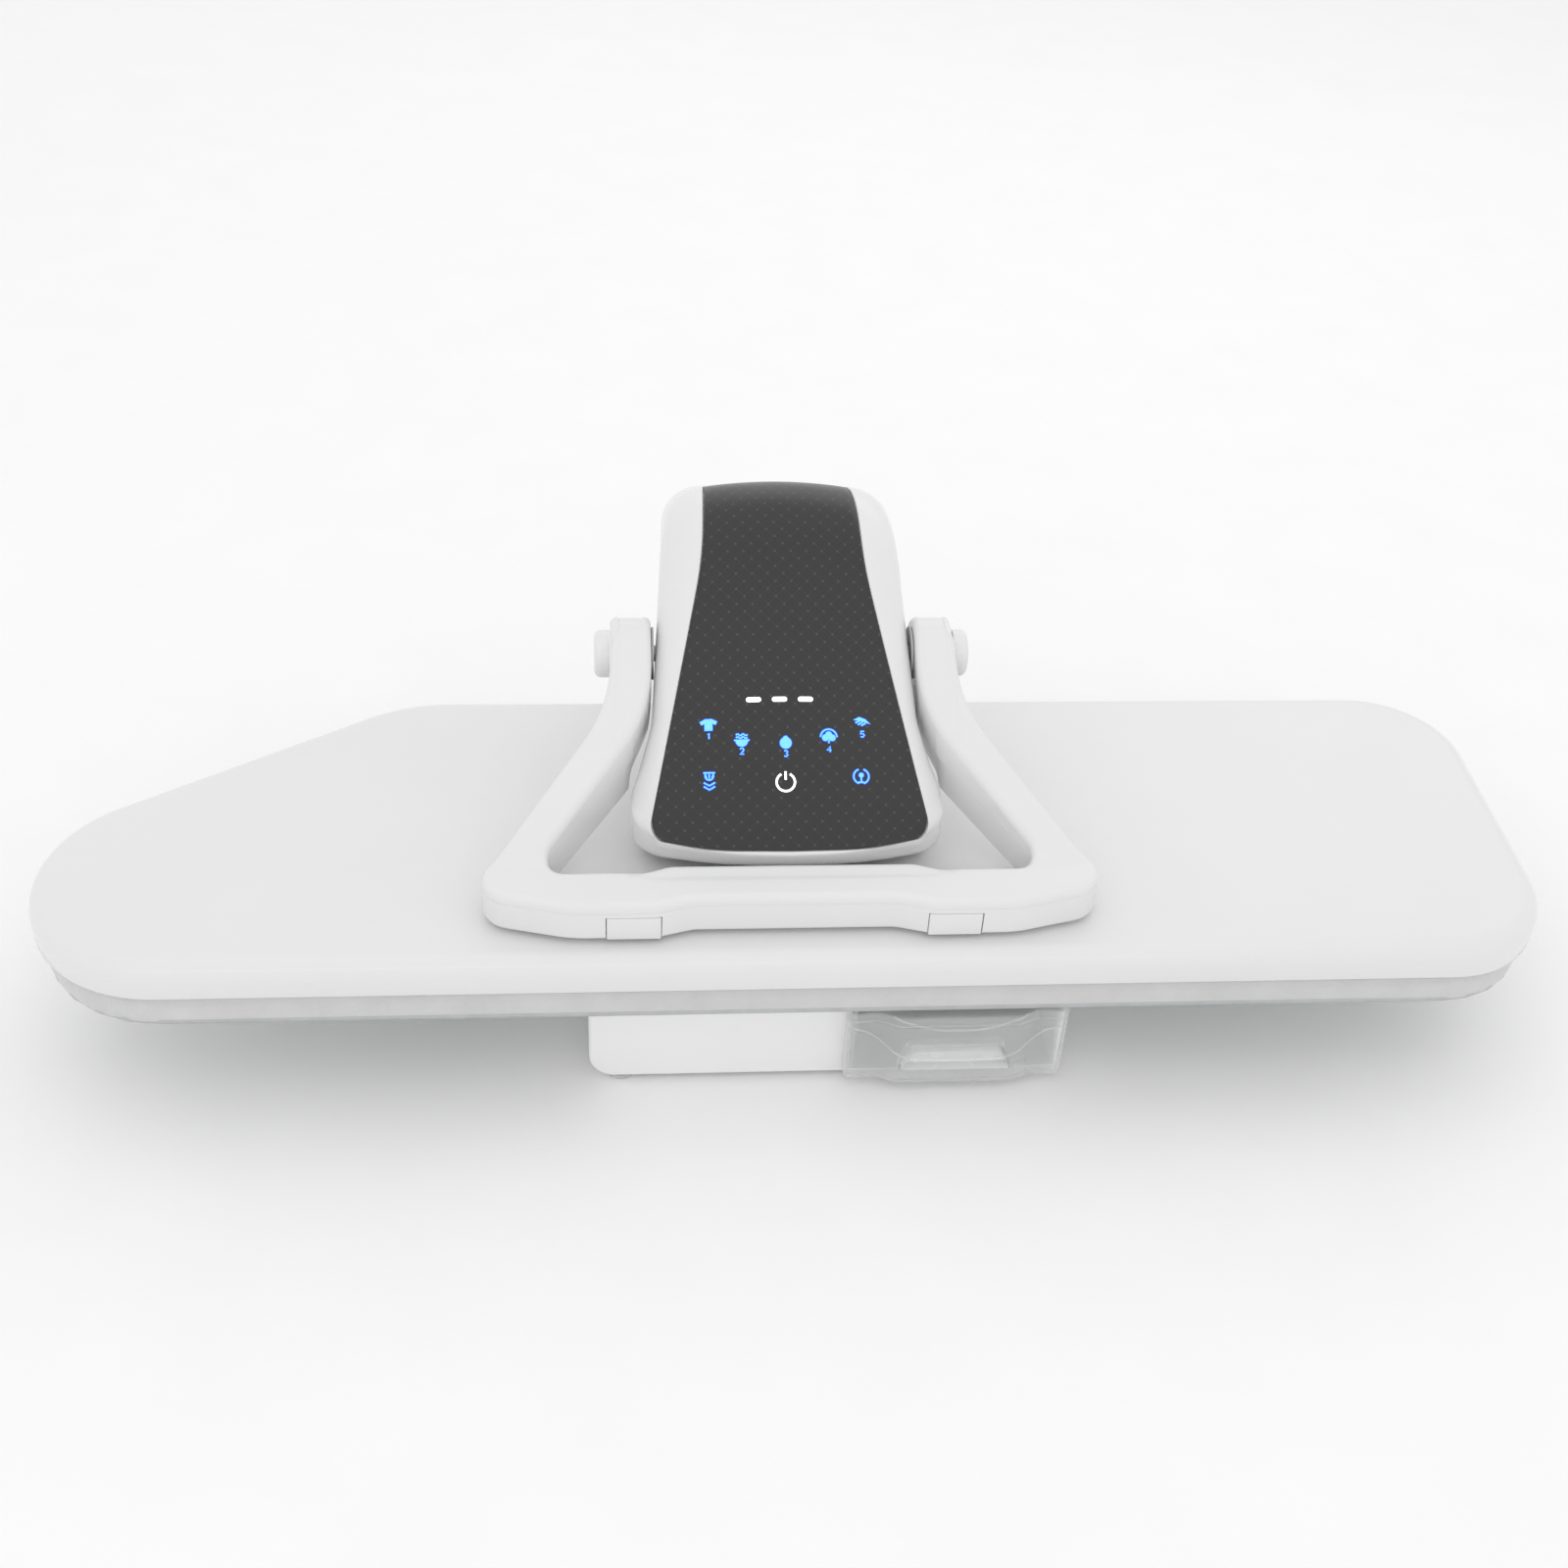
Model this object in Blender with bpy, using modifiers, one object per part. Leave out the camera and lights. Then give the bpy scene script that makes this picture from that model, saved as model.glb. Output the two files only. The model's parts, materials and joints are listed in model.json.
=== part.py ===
"""Table-top steam ironing press: hinged pressing head, swinging handle, drawer-like water tank.

The part stands on its feet at z = 0, with +X to the right, +Y to the back and the origin under its middle.
All sizes are in metres.
"""

import math

import bmesh
import bpy
from mathutils import Matrix, Vector

# Overall sizes
COVER_LENGTH = 0.900
COVER_DEPTH = 0.258
COVER_HEIGHT = 0.0225
COVER_EDGE = 0.0115
COVER_WALL = 0.0025
BASE_DEPTH = 0.3409
BASE_SETBACK = 0.0195
GLAND_FLANGE = 0.0016
TOTAL_DEPTH = BASE_SETBACK + BASE_DEPTH + GLAND_FLANGE
GAP = 0.0003
WELD = 0.00002
OVERRUN = 0.010
INSET_LIMIT_SHARE = 0.3
ARC_STEP = math.radians(15)

# Outline of the pressing cover
BACK_RIGHT_RADIUS = 0.065
FRONT_RIGHT_RADIUS = 0.068
NOSE_RADIUS = 0.082
NOSE_ANGLE = math.radians(33)
SHOULDER_RADIUS = 0.098

# Heights of the stack, from the floor up
FOOT_HEIGHT = 0.0035
BASE_HEIGHT = 0.0616
HEM_THICKNESS = 0.0012
RISER_HEIGHT = 0.0014
BOARD_HEIGHT = 0.0255
SEAM_GAP = 0.0015

# Ironing board
BOARD_INSET = 0.0035
BOARD_EDGE = 0.0045
CLOTH = 0.0012
HEM_WIDTH = 0.014
PAN_WALL = 0.0015
PAN_RIM_DROP = 0.0095
PAD_CROWN_EDGE = 0.0040

# Base
BASE_LEFT = 0.128
BASE_RIGHT = 0.158
BASE_WALL = 0.0028
BASE_CORNER = 0.016
BASE_SMALL_CORNER = 0.005
BASE_END_ROUND = 0.0025
BACK_NOTCH_LEFT = 0.015
BACK_NOTCH_RIGHT = 0.020
BACK_NOTCH_DEPTH = 0.0424
FOOT_RADIUS = 0.009
FOOT_SIDE = 0.019
FOOT_FRONT_INSET = 0.0095
FOOT_BACK_INSET = 0.0195
FOOT_EDGE = 0.004
FOOT_TANK_SHIFT = 0.035
FLOOR_OPENING_INSET = 0.006

# Water tank, held in a bay at the front right of the base
TANK_WIDTH = 0.133
TANK_BODY_LENGTH = 0.1655
TANK_WALL = 0.0022
TANK_CORNER = 0.008
TANK_FRONT_CORNER = 0.005
TANK_FLANGE = 0.0040
TANK_FRONT_THICKNESS = 0.0075
TANK_LOBE_SIDE = 0.0305
TANK_LOBE = 0.0060
TANK_WAVE = 0.0022
TANK_CLEARANCE = 0.0012
TANK_LID_HEIGHT = 0.0080
RECESS_SIDE = 0.0335
RECESS_DEPTH = 0.0065
RECESS_HEIGHT = 0.015
RECESS_RISE = 0.0115
FILLER_RADIUS = 0.0130
FILLER_SETBACK = 0.0395
CAP_RIM = 0.0030
CAP_THICKNESS = 0.0016
CAP_PLUG_DEPTH = 0.0060
CAP_RECESS = 0.0046
VALVE_RADIUS = 0.0070
VALVE_LENGTH = 0.0140
VALVE_HEIGHT = 0.0130
DOCK_RADIUS = 0.0110
DOCK_LENGTH = 0.0240
DOCK_FLANGE = 0.0030
DOCK_SPOUT_RADIUS = 0.0045

# Press hinge, at the back
HINGE_BEHIND = 0.312
HINGE_ABOVE = 0.020
BARREL_RADIUS = 0.040
BARREL_HALF = 0.0480
REAR_STOP = math.radians(38)
CHEEK_GAP = 0.0018
COLUMN_HALF = 0.0675
COLUMN_WALL = 0.0028
COLUMN_GAP = 0.0012
COLUMN_ROUND = 0.004
SHAFT_RADIUS = 0.0070
BUSH_WALL = 0.0020
BUSH_FLANGE = 0.0015
RUNNING = 0.00025
FRAME_PLATE = 0.0030
FRAME_PLATE_X = 0.0605
FRAME_HALF_WIDTH = 0.018
HINGE_CAP_RADIUS = 0.013
HINGE_CAP_DEPTH = 0.0030
HINGE_CAP_FACE = 0.0104
SPRING_WIRE = 0.0011
SPRING_TURNS = 5
SPRING_STEPS = 8
SPRING_PITCH = 0.0062
SPRING_CLEAR = 0.0012

# Pressing head: centre line, top line and widths
ARM_X = -0.0093
LIP_BEHIND = 0.050
LIP_ABOVE = 0.0181
TOP_SLOPE = math.radians(40.05)
BACK_SLOPE = math.radians(29.7)
PEAK_BEHIND = 0.2431
PEAK_RADIUS = 0.060
CROWN_RADIUS = 0.260
CROWN_BEHIND = 0.080
ARM_SEAM_BEHIND = HINGE_BEHIND - BARREL_RADIUS - COLUMN_GAP - GAP
ARM_WALL = 0.0025
ARM_FLOOR_ABOVE = 0.0050
BELT_ABOVE = 0.020
BELT_FRONT = 0.0600
BELT_BOW_FRONT = 0.0610
BELT_CORNER_FRONT = 0.0745
BELT_CORNER_HALF = 0.0925
BELT_WIDEST_BEHIND = 0.105
BELT_WIDEST_HALF = 0.0925
BELT_WAIST_BEHIND = 0.135
BELT_WAIST_HALF = 0.0797
BELT_SEAM_HALF = 0.0700
BELT_WAIST_RADIUS = 0.030
BELT_WIDEST_RADIUS = 0.012
BELT_CORNER_RADIUS = 0.024
BELT_BOW_RADIUS = 0.200
CHIN_FRONT = 0.0780
CHIN_BOW_FRONT = 0.0790
CHIN_CORNER_FRONT = 0.0880
CHIN_INSET = 0.0045
CHIN_CORNER_RADIUS = 0.016
HEAD_BOW_HALF = 0.0450
PANEL_FRONT = 0.0620
PANEL_BOW_FRONT = 0.0625
PANEL_CORNER_FRONT = 0.0680
PANEL_CORNER_HALF = 0.0835
PANEL_CORNER_RADIUS = 0.009
PANEL_NECK_BEHIND = 0.2020
PANEL_NECK_HALF = 0.0485
PANEL_NECK_RADIUS = 0.150
PANEL_SEAM_HALF = 0.0455
LENS_THICKNESS = 0.0020
LENS_FIT = 0.0008
LENS_LEDGE = 0.0040
TRAY_FIT = 0.0010
RING_POINTS = 18
LENS_COLUMNS = 6
SHOULDER_STEPS = 3
CROWN_SHARES = (-1, -0.5, 0, 0.5, 1)

# Pressing plate and what it carries
SHOE_INSET = 0.0035
SHOE_THICKNESS = 0.0060
SHOE_PROUD = 0.0012
STEAM_HOLE_RADIUS = 0.0022
STEAM_HOLE_SPACING = 0.068
STEAM_HOLE_ROW = 0.034
STEAM_HOLE_COUNT = 9
HEATER_RADIUS = 0.0032
HEATER_HALF_LENGTH = 0.260
HEATER_HALF_WIDTH = 0.072
CHAMBER_LENGTH = 0.170
CHAMBER_WIDTH = 0.076
CHAMBER_HEIGHT = 0.0075
CHAMBER_BEHIND = 0.088
CHAMBER_X = 0.155
BLANKET_THICKNESS = 0.0030
BLANKET_INSET = 0.014
COVER_POST_X = 0.264
COVER_POST_NEAR_X = 0.050
COVER_POST_Y = 0.050
COVER_POST_RADIUS = 0.0055
THERMOSTAT_RADIUS = 0.008
THERMOSTAT_HEIGHT = 0.006
THERMOSTAT_CAN_RADIUS = 0.0064
THERMOSTAT_X = 0.048
POST_BEHIND = 0.140
POST_ABOVE = 0.030
POST_HALF = 0.0150
POST_WIDTH = 0.024
POST_FLANGE = 0.0030
POST_FLANGE_HALF = 0.030
OPENING_MARGIN = 0.004
SWIVEL_RADIUS = 0.0040

# Steel channel that carries the head
CHANNEL_HALF = 0.0210
CHANNEL_PLATE = 0.0025
CHANNEL_LOW = 0.0110
CHANNEL_HIGH = 0.0440
CHANNEL_FRONT = 0.124
WEB_BEHIND_POST = 0.036
EAR_HALF_WIDTH = 0.012
HUB_RADIUS = 0.0130

# Handle
PIVOT_BEHIND = 0.180
PIVOT_ABOVE = 0.0876
HANDLE_END_RADIUS = 0.022
HANDLE_INNER_HALF = 0.0796
HANDLE_OUTER_HALF = 0.104
HANDLE_HALF = 0.178
GRIP_END = 0.0260
HANDLE_OUTER_BEND = 0.1355
HANDLE_INNER_BEND = 0.1325
HANDLE_BEND_RADIUS = 0.070
HANDLE_KNEE_RADIUS = 0.045
HANDLE_ELBOW_RADIUS = 0.012
HANDLE_CORNER_RADIUS = 0.0180
HANDLE_CORNER_FRONT = 0.0290
GRIP_FRONT = 0.0158
GRIP_MIDDLE_FRONT = 0.0220
GRIP_WAVE_OUTER = 0.079
GRIP_WAVE_INNER = 0.058
GRIP_WAVE_RADIUS = 0.0225
GRIP_SHOULDER_SIDE = 0.0500
GRIP_BACK = 0.0465
GRIP_MIDDLE_BACK = 0.0515
GRIP_BACK_WAVE_OUTER = 0.086
GRIP_BACK_WAVE_INNER = 0.071
GRIP_LOW = 0.0030
GRIP_HIGH = 0.0290
GRIP_RISE_BEHIND = 0.052
GRIP_UNDER_BEHIND = 0.058
GRIP_CORNER_RADIUS = 0.0100
HANDLE_WALL = 0.0024
HANDLE_EDGE = 0.0030
SWING_CLEARANCE = 0.0012
SWING_STEPS = 8
HANDLE_PART_ABOVE = 0.0230
END_CHAMFER = 0.0090
END_CHAMFER_DROP = 0.0180
PIVOT_SHAFT_RADIUS = 0.0050
PIVOT_CAP_RADIUS = 0.0145
PIVOT_CAP_DEPTH = 0.0100
PIVOT_CAP_SHARES = ((0.62, 1), (0.85, 0.93), (0.97, 0.74), (1, 0.5))
WASHER_RADIUS = 0.0160
WASHER_GAP = 0.0003

# Steam buttons in the grip
BUTTON_X = 0.0920
BUTTON_WIDTH = 0.0310
BUTTON_HEIGHT = 0.0162
BUTTON_DEPTH = 0.0055
BUTTON_CORNER = 0.0020
BUTTON_GAP = 0.0004
BUTTON_TRAVEL = 0.0025
SWITCH_WIDTH = 0.0130
SWITCH_DEPTH = 0.0065
SWITCH_HEIGHT = 0.0110

# Electronics
BOARD_CLEAR = 0.0040
PCB = 0.0016
PCB_HALF = 0.040
PCB_FRONT = 0.078
PCB_BACK = 0.150
DISPLAY_HALF = 0.016
DISPLAY_DEPTH = 0.012
DISPLAY_BEHIND = 0.128
SPEAKER_RADIUS = 0.014
SPEAKER_HEIGHT = 0.008
SPEAKER_X = 0.050
SPEAKER_BEHIND = 0.112

# Pump, boards and hoses in the base
PUMP_RADIUS = 0.0160
PUMP_LENGTH = 0.074
PUMP_X = -0.060
PUMP_FRONT = 0.120
PUMP_NOZZLE_RADIUS = 0.0035
PUMP_NOZZLE_LENGTH = 0.012
PUMP_FOOT_WIDTH = 0.018
PUMP_NECK_RADIUS = 0.0112
PUMP_NECK_LENGTH = 0.0130
POWER_BOARD_LENGTH = 0.090
POWER_BOARD_WIDTH = 0.052
POWER_BOARD_FRONT = 0.200
POWER_BOARD_X = -0.086
POST_SIZE = 0.0080
RELAY_LENGTH = 0.020
RELAY_WIDTH = 0.016
RELAY_HEIGHT = 0.015
HOSE_RADIUS = 0.0040
HOSE_GAP = 0.0018
STEAM_HOSE_RADIUS = 0.0028
GLAND_RADIUS = 0.0085
GLAND_BORE = 0.0042
GLAND_X = -0.100
GLAND_ABOVE = 0.032
SCREW_HEAD_RADIUS = 0.0032
SCREW_HEAD_HEIGHT = 0.0018
SCREW_RADIUS = 0.0015
SCREW_LENGTH = 0.0070
BOSS_RADIUS = 0.0050
BOSS_INSET = 0.057

# Levels and planes worked out from the sizes above
BASE_TOP = FOOT_HEIGHT + BASE_HEIGHT
BOARD_BOTTOM = BASE_TOP + GAP
BOARD_TOP = BOARD_BOTTOM + BOARD_HEIGHT
COVER_BOTTOM = BOARD_TOP + SEAM_GAP
COVER_TOP = COVER_BOTTOM + COVER_HEIGHT
FRONT_Y = -TOTAL_DEPTH / 2
LEFT_X = -COVER_LENGTH / 2


def y_at(behind):
    """World Y of a distance behind the front edge of the cover."""
    return FRONT_Y + behind


def z_at(above):
    """World Z of a height above the top face of the cover."""
    return COVER_TOP + above


HINGE_Y = y_at(HINGE_BEHIND)
HINGE_Z = z_at(HINGE_ABOVE)
PIVOT_Y = y_at(PIVOT_BEHIND)
PIVOT_Z = z_at(PIVOT_ABOVE)
TANK_X = BASE_RIGHT - TANK_WIDTH / 2
TANK_BOTTOM = FOOT_HEIGHT + BASE_WALL + GAP
TANK_TOP = BASE_TOP - BASE_WALL - TANK_CLEARANCE
TANK_FRONT_BACK_Y = y_at(BASE_SETBACK) - GAP
TANK_FRONT_Y = TANK_FRONT_BACK_Y - TANK_FRONT_THICKNESS
TANK_BACK_Y = TANK_FRONT_BACK_Y + TANK_BODY_LENGTH

COLLECTION = bpy.data.collections.new("steam_ironing_press")
CUTTERS = bpy.data.collections.new("cutters")


# Outlines

def rounded(corners, closed=True):
    """Points of a polygon whose corners (x, y, radius) are rounded with arcs."""
    points = []
    count = len(corners)
    for index, (x, y, radius) in enumerate(corners):
        here = Vector((x, y))
        if radius == 0 or (not closed and index in (0, count - 1)):
            points.append((x, y))
            continue
        to_last = (Vector(corners[index - 1][:2]) - here).normalized()
        to_next = (Vector(corners[(index + 1) % count][:2]) - here).normalized()
        half = to_last.angle(to_next) / 2
        reach = radius / math.tan(half)
        middle = here + (to_last + to_next).normalized() * radius / math.sin(half)
        first = here + to_last * reach - middle
        turn = math.pi - 2 * half
        if to_last.x * to_next.y - to_last.y * to_next.x > 0:
            turn = -turn
        steps = max(2, math.ceil(abs(turn) / ARC_STEP))
        for step in range(steps + 1):
            spun = Matrix.Rotation(turn * step / steps, 2) @ first
            points.append(tuple(middle + spun))
    return points


def arc(centre, radius, start, end, steps):
    """Points on a circle from one angle to another."""
    angles = [start + (end - start) * step / steps for step in range(steps + 1)]
    return [(centre[0] + radius * math.cos(a), centre[1] + radius * math.sin(a)) for a in angles]


def inset(points, distance):
    """A counter-clockwise outline moved inwards by a distance."""
    result = []
    count = len(points)
    for index in range(count):
        last, here, after = (Vector(points[(index + k) % count]) for k in (-1, 0, 1))
        one = (here - last).normalized()
        two = (after - here).normalized()
        one_in = Vector((-one.y, one.x))
        two_in = Vector((-two.y, two.x))
        mid = (one_in + two_in).normalized()
        result.append(tuple(here + mid * distance / max(mid.dot(one_in), INSET_LIMIT_SHARE)))
    return result


def resampled(points, count):
    """An open line walked in equal steps."""
    path = [Vector(p) for p in points]
    lengths = [0.0]
    for last, here in zip(path, path[1:]):
        lengths.append(lengths[-1] + (here - last).length)
    result = []
    segment = 0
    for index in range(count):
        target = lengths[-1] * index / (count - 1)
        while segment < len(path) - 2 and lengths[segment + 1] < target:
            segment += 1
        span = lengths[segment + 1] - lengths[segment]
        share = (target - lengths[segment]) / span if span else 0
        result.append(path[segment].lerp(path[segment + 1], min(share, 1)))
    return result


def tangent_point(point, centre, radius, side):
    """Where the line from a point touches a circle, on the side +1 or -1."""
    line = Vector(centre) - Vector(point)
    angle = math.atan2(line.y, line.x) + side * math.asin(radius / line.length)
    reach = math.sqrt(line.length ** 2 - radius ** 2)
    return (point[0] + reach * math.cos(angle), point[1] + reach * math.sin(angle))


def board_outline(distance):
    """Plan of the pressing cover, with one round nose and one slanted edge, moved inwards."""
    depth = COVER_DEPTH
    touch_x = NOSE_RADIUS - NOSE_RADIUS * math.sin(NOSE_ANGLE)
    touch_y = NOSE_RADIUS + NOSE_RADIUS * math.cos(NOSE_ANGLE)
    tip_x = touch_x - touch_y / math.tan(NOSE_ANGLE)
    shoulder_x = touch_x + (depth - touch_y) / math.tan(NOSE_ANGLE)
    corners = [
        (tip_x, 0, NOSE_RADIUS),
        (COVER_LENGTH, 0, FRONT_RIGHT_RADIUS),
        (COVER_LENGTH, depth, BACK_RIGHT_RADIUS),
        (shoulder_x, depth, SHOULDER_RADIUS),
    ]
    plan = [(LEFT_X + x, FRONT_Y + y) for x, y in rounded(corners)]
    return inset(plan, distance) if distance else plan


# Materials

def material(name, colour, roughness, metallic=0.0, alpha=1.0):
    """A plain surface of one colour."""
    made = bpy.data.materials.new(name)
    made.use_nodes = True
    shader = made.node_tree.nodes["Principled BSDF"]
    shader.inputs["Base Color"].default_value = (*colour, 1.0)
    shader.inputs["Roughness"].default_value = roughness
    shader.inputs["Metallic"].default_value = metallic
    shader.inputs["Alpha"].default_value = alpha
    made.diffuse_color = (*colour, alpha)
    return made


WHITE = (0.86, 0.86, 0.86)
FINISHES = {
    "white_gloss": (WHITE, 0.22),
    "white_satin": ((0.80, 0.80, 0.80), 0.45),
    "dark_lens": ((0.05, 0.05, 0.055), 0.12),
    "clear_tank": ((0.82, 0.84, 0.85), 0.05, 0.0, 0.35),
    "silver_cloth": ((0.66, 0.66, 0.67), 0.60),
    "foam": ((0.72, 0.70, 0.62), 0.95),
    "felt": ((0.55, 0.53, 0.50), 0.98),
    "aluminium": ((0.72, 0.73, 0.74), 0.35, 1.0),
    "steel": ((0.55, 0.56, 0.58), 0.38, 1.0),
    "brass": ((0.72, 0.55, 0.28), 0.35, 1.0),
    "rubber": ((0.10, 0.10, 0.10), 0.85),
    "silicone": ((0.78, 0.77, 0.74), 0.50),
    "black_plastic": ((0.06, 0.06, 0.06), 0.45),
    "circuit_board": ((0.05, 0.22, 0.10), 0.50),
}


def finish(owner, kind):
    """Gives an object its own material of one of the finishes."""
    owner.data.materials.append(material(owner.name + "_finish", *FINISHES[kind]))


# Building blocks

def place(name, mesh, kind=None, matrix=None):
    """An object in the part, or a hidden cutter where no finish is named."""
    made = bpy.data.objects.new(name, mesh)
    if matrix is not None:
        made.matrix_world = matrix
    if kind is None:
        CUTTERS.objects.link(made)
        made.hide_render = True
        made.display_type = "WIRE"
    else:
        COLLECTION.objects.link(made)
        finish(made, kind)
    return made


def plane_matrix(plane, middle):
    """Turns a drawing plane into the world: XY from above, YZ from the side, XZ from the front."""
    columns = {
        "XY": ((1, 0, 0), (0, 1, 0), (0, 0, 1)),
        "YZ": ((0, 1, 0), (0, 0, 1), (1, 0, 0)),
        "XZ": ((1, 0, 0), (0, 0, 1), (0, -1, 0)),
    }[plane]
    turn = Matrix(columns).transposed().to_4x4()
    offset = Vector(columns[2]) * (middle if plane != "XZ" else -middle)
    return Matrix.Translation(offset) @ turn


def slab(name, points, low, high, kind=None, plane="XY"):
    """A flat outline with a thickness, from one level to another."""
    curve = bpy.data.curves.new(name + "_outline", "CURVE")
    curve.dimensions = "2D"
    curve.fill_mode = "BOTH"
    curve.extrude = (high - low) / 2
    line = curve.splines.new("POLY")
    line.points.add(len(points) - 1)
    for spot, (x, y) in zip(line.points, points):
        spot.co = (x, y, 0, 1)
    line.use_cyclic_u = True
    drawn = bpy.data.objects.new(name + "_outline", curve)
    bpy.context.scene.collection.objects.link(drawn)
    graph = bpy.context.evaluated_depsgraph_get()
    mesh = bpy.data.meshes.new_from_object(drawn.evaluated_get(graph))
    bpy.data.objects.remove(drawn)
    mesh.materials.clear()
    work = bmesh.new()
    work.from_mesh(mesh)
    bmesh.ops.remove_doubles(work, verts=work.verts, dist=WELD / 2)
    bmesh.ops.dissolve_limit(
        work, angle_limit=math.radians(0.5), verts=work.verts, edges=work.edges,
    )
    bmesh.ops.recalc_face_normals(work, faces=work.faces)
    work.to_mesh(mesh)
    work.free()
    mesh.name = name
    return place(name, mesh, kind, plane_matrix(plane, (low + high) / 2))


def box(name, low, high, kind=None):
    """A block between two corners."""
    size = Vector(high) - Vector(low)
    work = bmesh.new()
    bmesh.ops.create_cube(work, size=1.0)
    bmesh.ops.scale(work, vec=size, verts=work.verts)
    mesh = bpy.data.meshes.new(name)
    work.to_mesh(mesh)
    work.free()
    middle = (Vector(high) + Vector(low)) / 2
    return place(name, mesh, kind, Matrix.Translation(middle))


def rod(name, start, end, radius, kind=None, sides=16):
    """A round bar between two points."""
    start, end = Vector(start), Vector(end)
    work = bmesh.new()
    bmesh.ops.create_cone(
        work, cap_ends=True, segments=sides, radius1=radius, radius2=radius, depth=(end - start).length,
    )
    mesh = bpy.data.meshes.new(name)
    work.to_mesh(mesh)
    work.free()
    turn = (end - start).to_track_quat("Z", "Y").to_matrix().to_4x4()
    made = place(name, mesh, kind, Matrix.Translation((start + end) / 2) @ turn)
    mesh.shade_smooth()
    mesh.set_sharp_from_angle(angle=math.radians(40))
    return made


def turned(name, profile, matrix, kind=None, steps=20, bored=False):
    """A profile of (radius, height) points spun about its axis; a bored one is a closed loop."""
    mesh = bpy.data.meshes.new(name)
    edges = [(i, i + 1) for i in range(len(profile) - 1)]
    if bored:
        edges.append((len(profile) - 1, 0))
    mesh.from_pydata([(r, 0, z) for r, z in profile], edges, [])
    made = place(name, mesh, kind, matrix)
    spin = made.modifiers.new("spin", "SCREW")
    spin.steps = steps
    spin.render_steps = steps
    spin.use_merge_vertices = True
    spin.merge_threshold = WELD
    spin.use_smooth_shade = True
    return made


def facing(point, direction):
    """A matrix at a point whose +Z looks along a direction."""
    turn = Vector(direction).to_track_quat("Z", "Y").to_matrix().to_4x4()
    return Matrix.Translation(Vector(point)) @ turn


def tube(name, points, radius, kind, resolution=2):
    """A hose or bent bar along points."""
    curve = bpy.data.curves.new(name, "CURVE")
    curve.dimensions = "3D"
    curve.bevel_depth = radius
    curve.bevel_resolution = resolution
    curve.use_fill_caps = True
    line = curve.splines.new("POLY")
    line.points.add(len(points) - 1)
    for spot, point in zip(line.points, points):
        spot.co = (*point, 1)
    made = bpy.data.objects.new(name, curve)
    COLLECTION.objects.link(made)
    finish(made, kind)
    return made


def smooth_path(points, per_span):
    """A smooth line through points, straight away from the first and the last."""
    guides = [Vector(p) for p in points]
    guides = [guides[0] * 2 - guides[1]] + guides + [guides[-1] * 2 - guides[-2]]
    result = []
    for a, b, c, d in zip(guides, guides[1:], guides[2:], guides[3:]):
        for step in range(per_span):
            t = step / per_span
            result.append(
                0.5 * (2 * b + (c - a) * t + (2 * a - 5 * b + 4 * c - d) * t ** 2
                       + (3 * b - a - 3 * c + d) * t ** 3)
            )
    result.append(guides[-2])
    return result


def combine(target, other, how="DIFFERENCE"):
    """Cuts, joins or intersects a solid with another."""
    step = target.modifiers.new(other.name, "BOOLEAN")
    step.operation = how
    step.solver = "EXACT"
    step.object = other
    return target


def bevel(target, width, segments=1, angle=math.radians(50)):
    """Rounds the sharp edges of a solid."""
    step = target.modifiers.new("edges", "BEVEL")
    step.width = width
    step.segments = segments
    step.limit_method = "ANGLE"
    step.angle_limit = angle
    step.use_clamp_overlap = True
    return target


def lofted(name, rings, kind=None, closed=True, capped=True):
    """A skin through rows of points; closed rows are rings, and caps close both ends."""
    work = bmesh.new()
    rows = [[work.verts.new(p) for p in ring] for ring in rings]
    for below, above in zip(rows, rows[1:]):
        count = len(below)
        for index in range(count if closed else count - 1):
            after = (index + 1) % count
            work.faces.new((below[index], below[after], above[after], above[index]))
    if capped:
        work.faces.new(list(reversed(rows[0])))
        work.faces.new(rows[-1])
    mesh = bpy.data.meshes.new(name)
    if closed:
        bmesh.ops.recalc_face_normals(work, faces=work.faces)
    work.to_mesh(mesh)
    work.free()
    made = place(name, mesh, kind)
    mesh.shade_smooth()
    mesh.set_sharp_from_angle(angle=math.radians(40))
    return made


def rings_at(outline, levels):
    """Copies of an outline at (inset, height) levels."""
    return [[(x, y, z) for x, y in (inset(outline, d) if d else outline)] for d, z in levels]


def round_edge(edge, low, high, steps=3):
    """Levels that round an edge from a wall at low to a face at high."""
    angles = [math.pi / 2 * step / steps for step in range(steps + 1)]
    rise = high - low
    return [(edge * (1 - math.cos(a)), low + rise * math.sin(a)) for a in angles]


def pillow(name, points, half, edge, kind=None, steps=2):
    """A side view with a width along X, all its edges rounded, centred on the head's middle."""
    rings = []
    for angle in [math.pi / 2 * step / steps for step in range(steps + 1)]:
        rings.append((edge * (1 - math.sin(angle)), -half + edge * (1 - math.cos(angle))))
    rings += [(d, -x) for d, x in reversed(rings)]
    rows = [[(ARM_X + x, y, z) for y, z in (inset(points, d) if d else points)] for d, x in rings]
    return lofted(name, rows, kind)


# Lower board

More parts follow.
